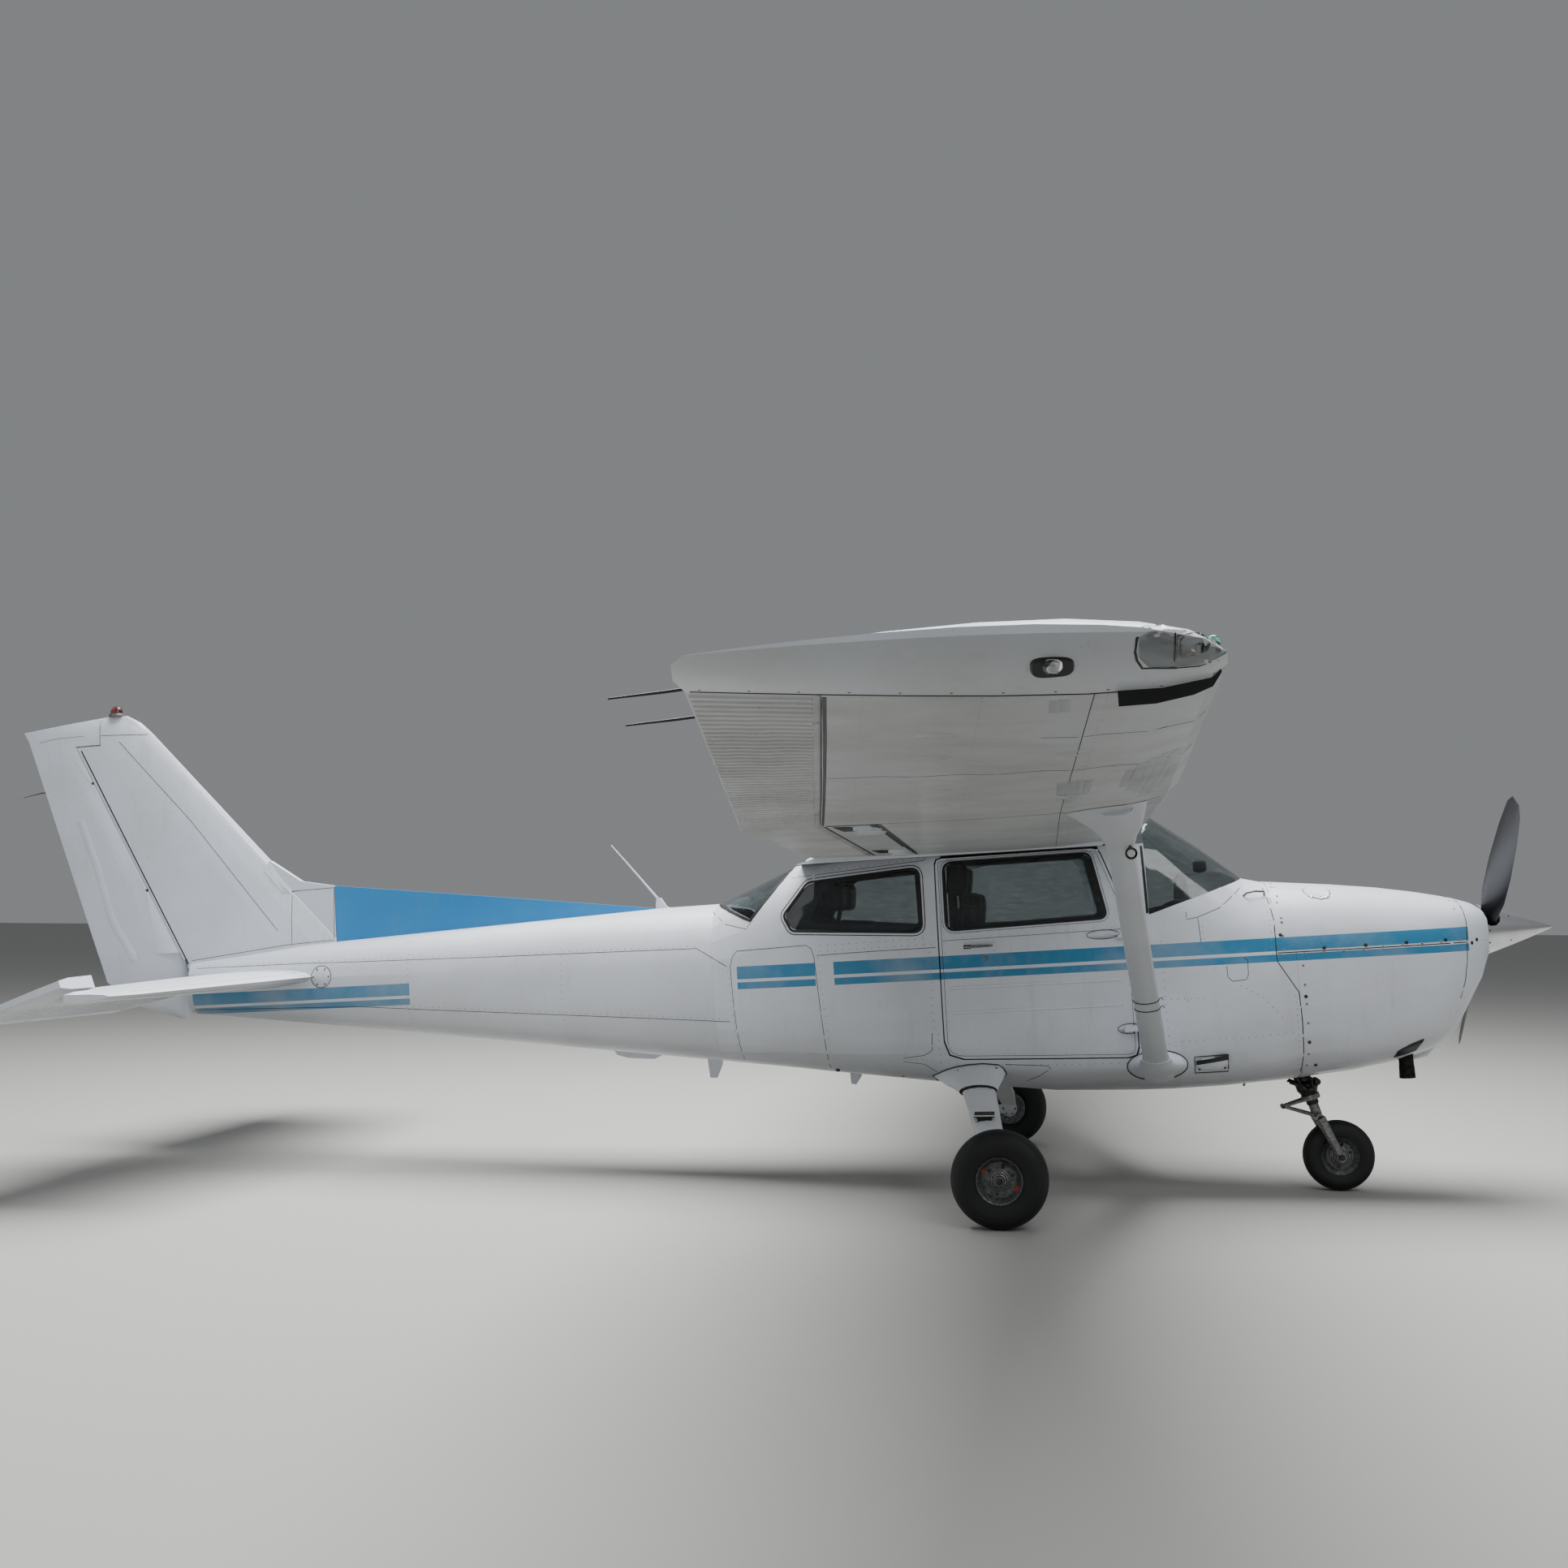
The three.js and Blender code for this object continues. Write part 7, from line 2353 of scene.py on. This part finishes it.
@dataclass
class Cabin:
    """Upholstered seats, window trims and the instruments."""

    seat_y: float = 0.245
    steps: Point2 = (20, 44)
    piping: float = 0.004
    squareness: Point2 = (0.34, 0.30)
    hood_top: float = 1.512

    def pads(self) -> list[Pad]:
        """Lists the cushions of all seats.

        Returns:
            The cushions.
        """
        pads = []
        for name, side in SIDES.items():
            node, y = f"{name}_front_seat", side * self.seat_y
            pads += [
                Pad(f"{node}_cushion", node, (-1.290, y, 0.868), (0.460, 0.405, 0.130), 3.0, 5),
                Pad(f"{node}_back", node, (-1.600, y, 1.195), (0.125, 0.415, 0.570), -10.0, 5),
                Pad(f"{node}_headrest", node, (-1.622, y, 1.543), (0.110, 0.260, 0.150), -8.0),
            ]
        pads += [
            Pad("rear_seat_cushion", "rear_seat", (-2.105, 0.0, 0.872), (0.380, 0.860, 0.130),
                3.0, 4),
            Pad("rear_seat_back", "rear_seat", (-2.343, 0.0, 1.120), (0.090, 0.860, 0.430),
                -5.0, 4),
        ]
        for name, side in SIDES.items():
            pads.append(Pad(f"rear_{name}_headrest", "rear_seat", (-2.262, side * 0.22, 1.498),
                            (0.120, 0.250, 0.140), -5.0))
        return pads

    def build(self) -> None:
        """Builds the seats, the trims and the panel."""
        for pad in self.pads():
            self.cushion(pad)
        self.frames()
        self.trims()
        self.panel()
        self.hood()

    def axes(self, lean: float) -> tuple[Vector, Vector, Vector]:
        """Gives a pad's forward, sideways and upward directions.

        Args:
            lean: the tilt about the sideways axis in degrees.

        Returns:
            The three directions.
        """
        t = math.radians(lean)
        return (STANCE.turn(math.cos(t), 0, math.sin(t)), PORT,
                STANCE.turn(-math.sin(t), 0, math.cos(t)))

    def cushion(self, pad: Pad) -> None:
        """Swells a rounded block into a crowned cushion with stitched channels and piping.

        Args:
            pad: the cushion's measures.
        """
        rows, around = self.steps
        round_x, round_y = self.squareness
        axes = self.axes(pad.lean)
        middle = STANCE.point(*pad.centre)
        flat = min(range(3), key=lambda k: pad.size[k])
        wide = [k for k in range(3) if k != flat]
        half = [length / 2 for length in pad.size]

        def power(value: float, exponent: float) -> float:
            """Raises a size, keeping its sign."""
            return math.copysign(abs(value) ** exponent, value)

        def at(across: float, along: float, rise: float) -> Vector:
            """Places a point from its shares of the half sizes.

            Args:
                across: the share along the first wide axis.
                along: the share along the second wide axis.
                rise: the share along the thin axis.

            Returns:
                The point in the row frame.
            """
            share = [0.0, 0.0, 0.0]
            share[wide[0]], share[wide[1]], share[flat] = across, along, rise
            crown = 1 + 0.10 * (1 - across * across) * (1 - along * along)
            seam = 0.0
            if pad.channels:
                phase = (share[1] + 1) / 2 * pad.channels
                seam = 0.13 * math.exp(-((phase - round(phase)) / 0.06) ** 2)
            share[flat] = rise * (crown * 0.92 - seam)
            return middle + sum((axes[k] * half[k] * share[k] for k in range(3)), Vector())

        rings = []
        for k in range(1, rows):
            tilt = -math.pi / 2 + math.pi * k / rows
            level, reach = power(math.sin(tilt), round_x), power(math.cos(tilt), round_x)
            rings.append([at(reach * power(cos, round_y), reach * power(sin, round_y), level)
                          for cos, sin in circle(around)])
        pen = Pen()
        pen.rings(rings)
        vinyl = "headrest" in pad.name
        piece = pen.make(pad.name, Slot.CLOTH, PAINT.vinyl if vinyl else PAINT.cloth)
        piece.modifiers.new("soften", "SUBSURF").levels = 1
        piece.modifiers["soften"].render_levels = 1
        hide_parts(pad.node)
        loop = rings[rows // 2 - 1]
        edge = []
        for k, point in enumerate(loop):
            away = (point - middle).normalized()
            along = (loop[(k + 1) % around] - loop[k - 1]).normalized()
            other = along.cross(away).normalized()
            edge.append([point + (away * cos + other * sin) * self.piping
                         for cos, sin in circle(6)])
        pen.rings(edge, closed=True)
        pen.make(f"{pad.name}_piping", Slot.CLOTH, PAINT.vinyl)

    def frames(self) -> None:
        """Adds the seats' tube frames and headrest posts."""
        pen = Pen()
        for side in SIDES.values():
            for inset in (-0.17, 0.17):
                y = side * self.seat_y + inset
                pen.tube([STANCE.point(-1.10, y, 0.586), STANCE.point(-1.12, y, 0.80),
                          STANCE.point(-1.48, y, 0.79), STANCE.point(-1.54, y, 0.588)], 0.011)
                pen.tube([STANCE.point(-1.48, y, 0.79), STANCE.point(-1.60, y, 0.93),
                          STANCE.point(-1.655, y, 1.40)], 0.010)
            for inset in (-0.05, 0.05):
                y = side * self.seat_y + inset
                pen.tube([STANCE.point(-1.635, y, 1.36), STANCE.point(-1.642, y, 1.50)], 0.006)
                y = side * 0.22 + inset
                pen.tube([STANCE.point(-2.325, y, 1.28), STANCE.point(-2.270, y, 1.49)], 0.006)
            for y in (side * 0.36, side * 0.12):
                pen.tube([STANCE.point(-1.95, y, 0.586), STANCE.point(-1.96, y, 0.80),
                          STANCE.point(-2.26, y, 0.80), STANCE.point(-2.28, y, 0.625)], 0.011)
        pen.make("seat_frames", Slot.STEEL, PAINT.steel)

    def trims(self) -> None:
        """Adds the dark moulded borders inside the side windows."""
        outer = [(-2.500, 1.372), (-2.352, 1.612), (-2.180, 1.634), (-1.862, 1.627),
                 (-1.796, 1.592), (-1.792, 1.337), (-1.830, 1.291), (-2.100, 1.302)]
        inner = [(-2.3545, 1.395), (-2.285, 1.529), (-2.198, 1.586), (-1.835, 1.600),
                 (-1.822, 1.585), (-1.817, 1.350), (-1.835, 1.333), (-2.336, 1.3725)]
        for name, side in SIDES.items():
            skin = Skin(f"{name}_rear_side_window", f"{name}_cabin_side", "cabin_roof")
            pen = Pen()
            rings = []
            deep = Vector((0, -side * 0.032, 0))
            back = Vector((0, -side * 0.006, 0))
            for (ox, oz), (ix, iz) in zip(outer, inner):
                a = skin.beside(ox, oz, side)[0] + deep
                b = skin.beside(ix, iz, side)[0] + deep
                rings.append([a, b, b + back, a + back])
            pen.rings(rings, closed=True)
            pen.make(f"{name}_rear_window_trim", Slot.TRIM, PAINT.trimming, soft=False)

    def hood(self) -> None:
        """Stretches the padded glare shield from the panel to the windshield's foot."""
        skin = Skin("windshield", "forward_fuselage")
        (x0, z0), (x1, z1) = WINDSHIELD_FOOT
        slope = (z1 - z0) / (x1 - x0)
        steps, across = 12, 16
        rings = []
        for k in range(steps):
            x = -0.500 + 0.360 * k / (steps - 1)
            foot = z0 + (x - x0) * slope
            wall, glass = skin.beside(x, foot + 0.012, -1), skin.over(x, 0.0)
            if not wall or not glass:
                continue
            half = abs(wall[0].y) - 0.024
            rise = min(self.hood_top - foot, 0.6 * (glass[0].z - STANCE.point(x, 0, foot).z))
            low = foot - (0.042 if k < 2 else 0.012)
            arch = [STANCE.point(x, half * (2 * i / across - 1),
                                 foot + rise * (1 - abs(2 * i / across - 1) ** 3.2))
                    for i in range(across + 1)]
            rings.append([*arch, STANCE.point(x, half, low), STANCE.point(x, -half, low)])
        pen = Pen()
        pen.rings(rings)
        pen.make("glare_shield", Slot.TRIM, PAINT.trimming)
        pen.tube(rings[0][:-2], 0.007, 10)
        pen.make("glare_shield_roll", Slot.TRIM, PAINT.vinyl)

    def panel(self) -> None:
        """Adds dials, radios and knobs to the instrument panel."""
        aft = AFT
        faces, rims, marks = Pen(), Pen(), Pen()
        dials = [(y, z, 0.040) for z in (1.285, 1.190) for y in (0.345, 0.250, 0.155)]
        dials += [(0.345, 1.100, 0.030), (0.270, 1.100, 0.030), (-0.20, 1.285, 0.030),
                  (-0.28, 1.285, 0.030), (-0.36, 1.285, 0.030)]
        for y, z, radius in dials:
            centre = STANCE.point(-0.492, y, z)
            faces.stud((centre, aft), radius, 0.003, 28, 0.98)
            rims.lathe(centre, aft, [(radius, 0.0), (radius, 0.006), (radius - 0.003, 0.006),
                                     (radius - 0.004, 0.001)], 28)
            for k in range(8):
                turn = math.pi * k / 4
                way = PORT * math.cos(turn) + UP * math.sin(turn)
                marks.block(centre + aft * 0.0036 + way * radius * 0.72,
                            (way, aft.cross(way), aft), (radius * 0.26, 0.0018, 0.001), 0.0)
            marks.block(centre + aft * 0.0042, (STANCE.turn(0, 0.3, 1), PORT, aft),
                        (radius * 1.1, 0.0022, 0.001), 0.0)
        for z in (1.295, 1.245, 1.195, 1.145):
            centre = STANCE.point(-0.496, -0.01, z)
            axes = (PORT, UP, aft)
            faces.block(centre, axes, (0.160, 0.042, 0.010), 0.002)
            for y in (-0.07, 0.07):
                rims.stud((centre + Vector((0, y, 0)) + aft * 0.005, aft), 0.008, 0.012, 14, 0.9)
            marks.block(centre + aft * 0.0052, axes, (0.070, 0.014, 0.001), 0.0)
        faces.make("panel_dials", Slot.TRIM, PAINT.dial)
        rims.make("panel_bezels", Slot.TRIM, PAINT.crackle)
        marks.make("panel_marks", Slot.TRIM, PAINT.marks, soft=False)
        pen = Pen()
        pen.block(STANCE.point(-0.40, 0.0, 1.548), (AHEAD, PORT,
                  UP), (0.060, 0.078, 0.062), 0.009)
        pen.tube([STANCE.point(-0.40, 0.0, 1.49), STANCE.point(-0.40, 0.0, 1.53)], 0.010)
        pen.make("compass", Slot.TRIM, PAINT.crackle)


DRESSING: dict[str, tuple[str, ...]] = {
    "white": ("upper_cowl", "lower_cowl", "tailcone"),
    "cabin": ("forward_fuselage", "cabin_floor", "cabin_roof", "baggage_door",
              "left_cabin_side", "right_cabin_side", "left_door", "right_door"),
    "plain": ("fin", "rudder", "tailplane", "elevator", "trim_tab", "left_wing_strut",
              "right_wing_strut", "left_wing_tip", "right_wing_tip"),
    "blue": ("dorsal_fin",),
    "wing": ("left_wing", "right_wing", "left_flap", "right_flap", "left_aileron",
             "right_aileron"),
    "leg": ("left_main_gear", "right_main_gear"),
    "alloy": ("nose_fork", "firewall"),
    "rim": ("left_main_wheel", "right_main_wheel", "nose_wheel"),
    "steel": ("engine", "nose_leg"),
    "sooty": ("exhaust_pipe",),
    "polished": ("spinner",),
    "blade": ("propeller",),
    "tyre": ("left_main_tyre", "right_main_tyre", "nose_tyre"),
    "window": ("windshield", "rear_window", "left_door_window", "right_door_window",
               "left_rear_side_window", "right_rear_side_window"),
    "red_lens": ("beacon",),
    "crackle": ("instrument_panel",),
    "cloth": ("left_front_seat", "right_front_seat", "rear_seat"),
}


@dataclass(frozen=True)
class Studio:
    """A pale floor, soft light and the camera at the photograph's angle."""

    camera_at: Point3 = (1.6151, -8.721, 1.461)
    yaw: float = math.radians(8.71)
    pitch: float = math.radians(3.79)
    roll: float = math.radians(0.27)
    lens: float = 38.106
    floor_half: float = 60.0

    def build(self) -> None:
        """Makes the camera, the floor and the lights."""
        self.camera()
        self.floor()
        self.lights()

    def camera(self) -> None:
        """Sets the camera from its measured place and angles."""
        cy, sy = math.cos(self.yaw), math.sin(self.yaw)
        cp, sp = math.cos(self.pitch), math.sin(self.pitch)
        ahead = Vector((-sy * cp, cy * cp, sp))
        right = Vector((cy, sy, 0.0))
        up = right.cross(ahead)
        turned_right = right * math.cos(self.roll) + up * math.sin(self.roll)
        turned_up = up * math.cos(self.roll) - right * math.sin(self.roll)
        data = bpy.data.cameras.new("camera")
        data.lens = self.lens
        data.clip_end = 300.0
        camera = bpy.data.objects.new("camera", data)
        bpy.context.scene.collection.objects.link(camera)
        camera.matrix_world = Matrix((
            (turned_right.x, turned_up.x, -ahead.x, self.camera_at[0]),
            (turned_right.y, turned_up.y, -ahead.y, self.camera_at[1]),
            (turned_right.z, turned_up.z, -ahead.z, self.camera_at[2]),
            (0, 0, 0, 1),
        ))
        bpy.context.scene.camera = camera

    def floor(self) -> None:
        """Makes the plain pale floor."""
        half = self.floor_half
        mesh = bpy.data.meshes.new("floor")
        mesh.from_pydata(
            [(-half, -half, 0), (half, -half, 0), (half, half, 0), (-half, half, 0)], [],
            [(0, 1, 2, 3)],
        )
        floor = bpy.data.objects.new("floor", mesh)
        bpy.context.scene.collection.objects.link(floor)
        graph = Graph("pale_floor")
        show(floor, graph.finish({"Base Color": linear("#aeaeaa"), "Roughness": 0.85}, {}))

    def lights(self) -> None:
        """Makes an even sky and large soft lamps."""
        world = bpy.data.worlds.new("studio")
        bpy.context.scene.world = world
        world.use_nodes = True
        sky = world.node_tree.nodes["Background"]
        sky.inputs["Color"].default_value = linear("#eef2f6")
        sky.inputs["Strength"].default_value = 0.26
        lamps = (
            # name, place, target, size, power
            ("overhead", (0.0, 1.0, 9.0), (0.0, 0.0, 0.0), 9.0, 2700.0),
            ("key", (7.0, -9.0, 9.0), (0.5, 0.0, 1.0), 5.0, 330.0),
            ("fill", (-8.0, -9.0, 6.0), (-1.0, 0.0, 1.0), 6.0, 90.0),
        )
        for name, place, target, size, power in lamps:
            data = bpy.data.lights.new(name, "AREA")
            data.size = size
            data.energy = power
            lamp = bpy.data.objects.new(name, data)
            lamp.location = place
            aim = Vector(target) - Vector(place)
            lamp.rotation_euler = aim.to_track_quat("-Z", "Y").to_euler()
            bpy.context.scene.collection.objects.link(lamp)


def dress() -> None:
    """Gives each CAD node its finish and smooth shading."""
    for finish, names in DRESSING.items():
        for name in names:
            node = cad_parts[name]
            show(node, getattr(PAINT, finish))
            smooth(node)
            LOG.info("%s: %s", name, finish)


def main() -> None:
    """Builds the studio and every sub-assembly in order."""
    global PAINT
    logging.basicConfig(level=logging.INFO, format="%(name)s %(message)s")
    Studio().build()
    PAINT = Finishes()
    dress()
    for part in (Airframe(), Cowling(), Fittings(), Glazing(), Doors(), Wings(), Struts(),
                 TailSurfaces(), LandingGear(), Propeller(), Cabin()):
        LOG.info("building %s", type(part).__name__)
        part.build()
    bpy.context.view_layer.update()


if __name__ == "__main__":
    main()
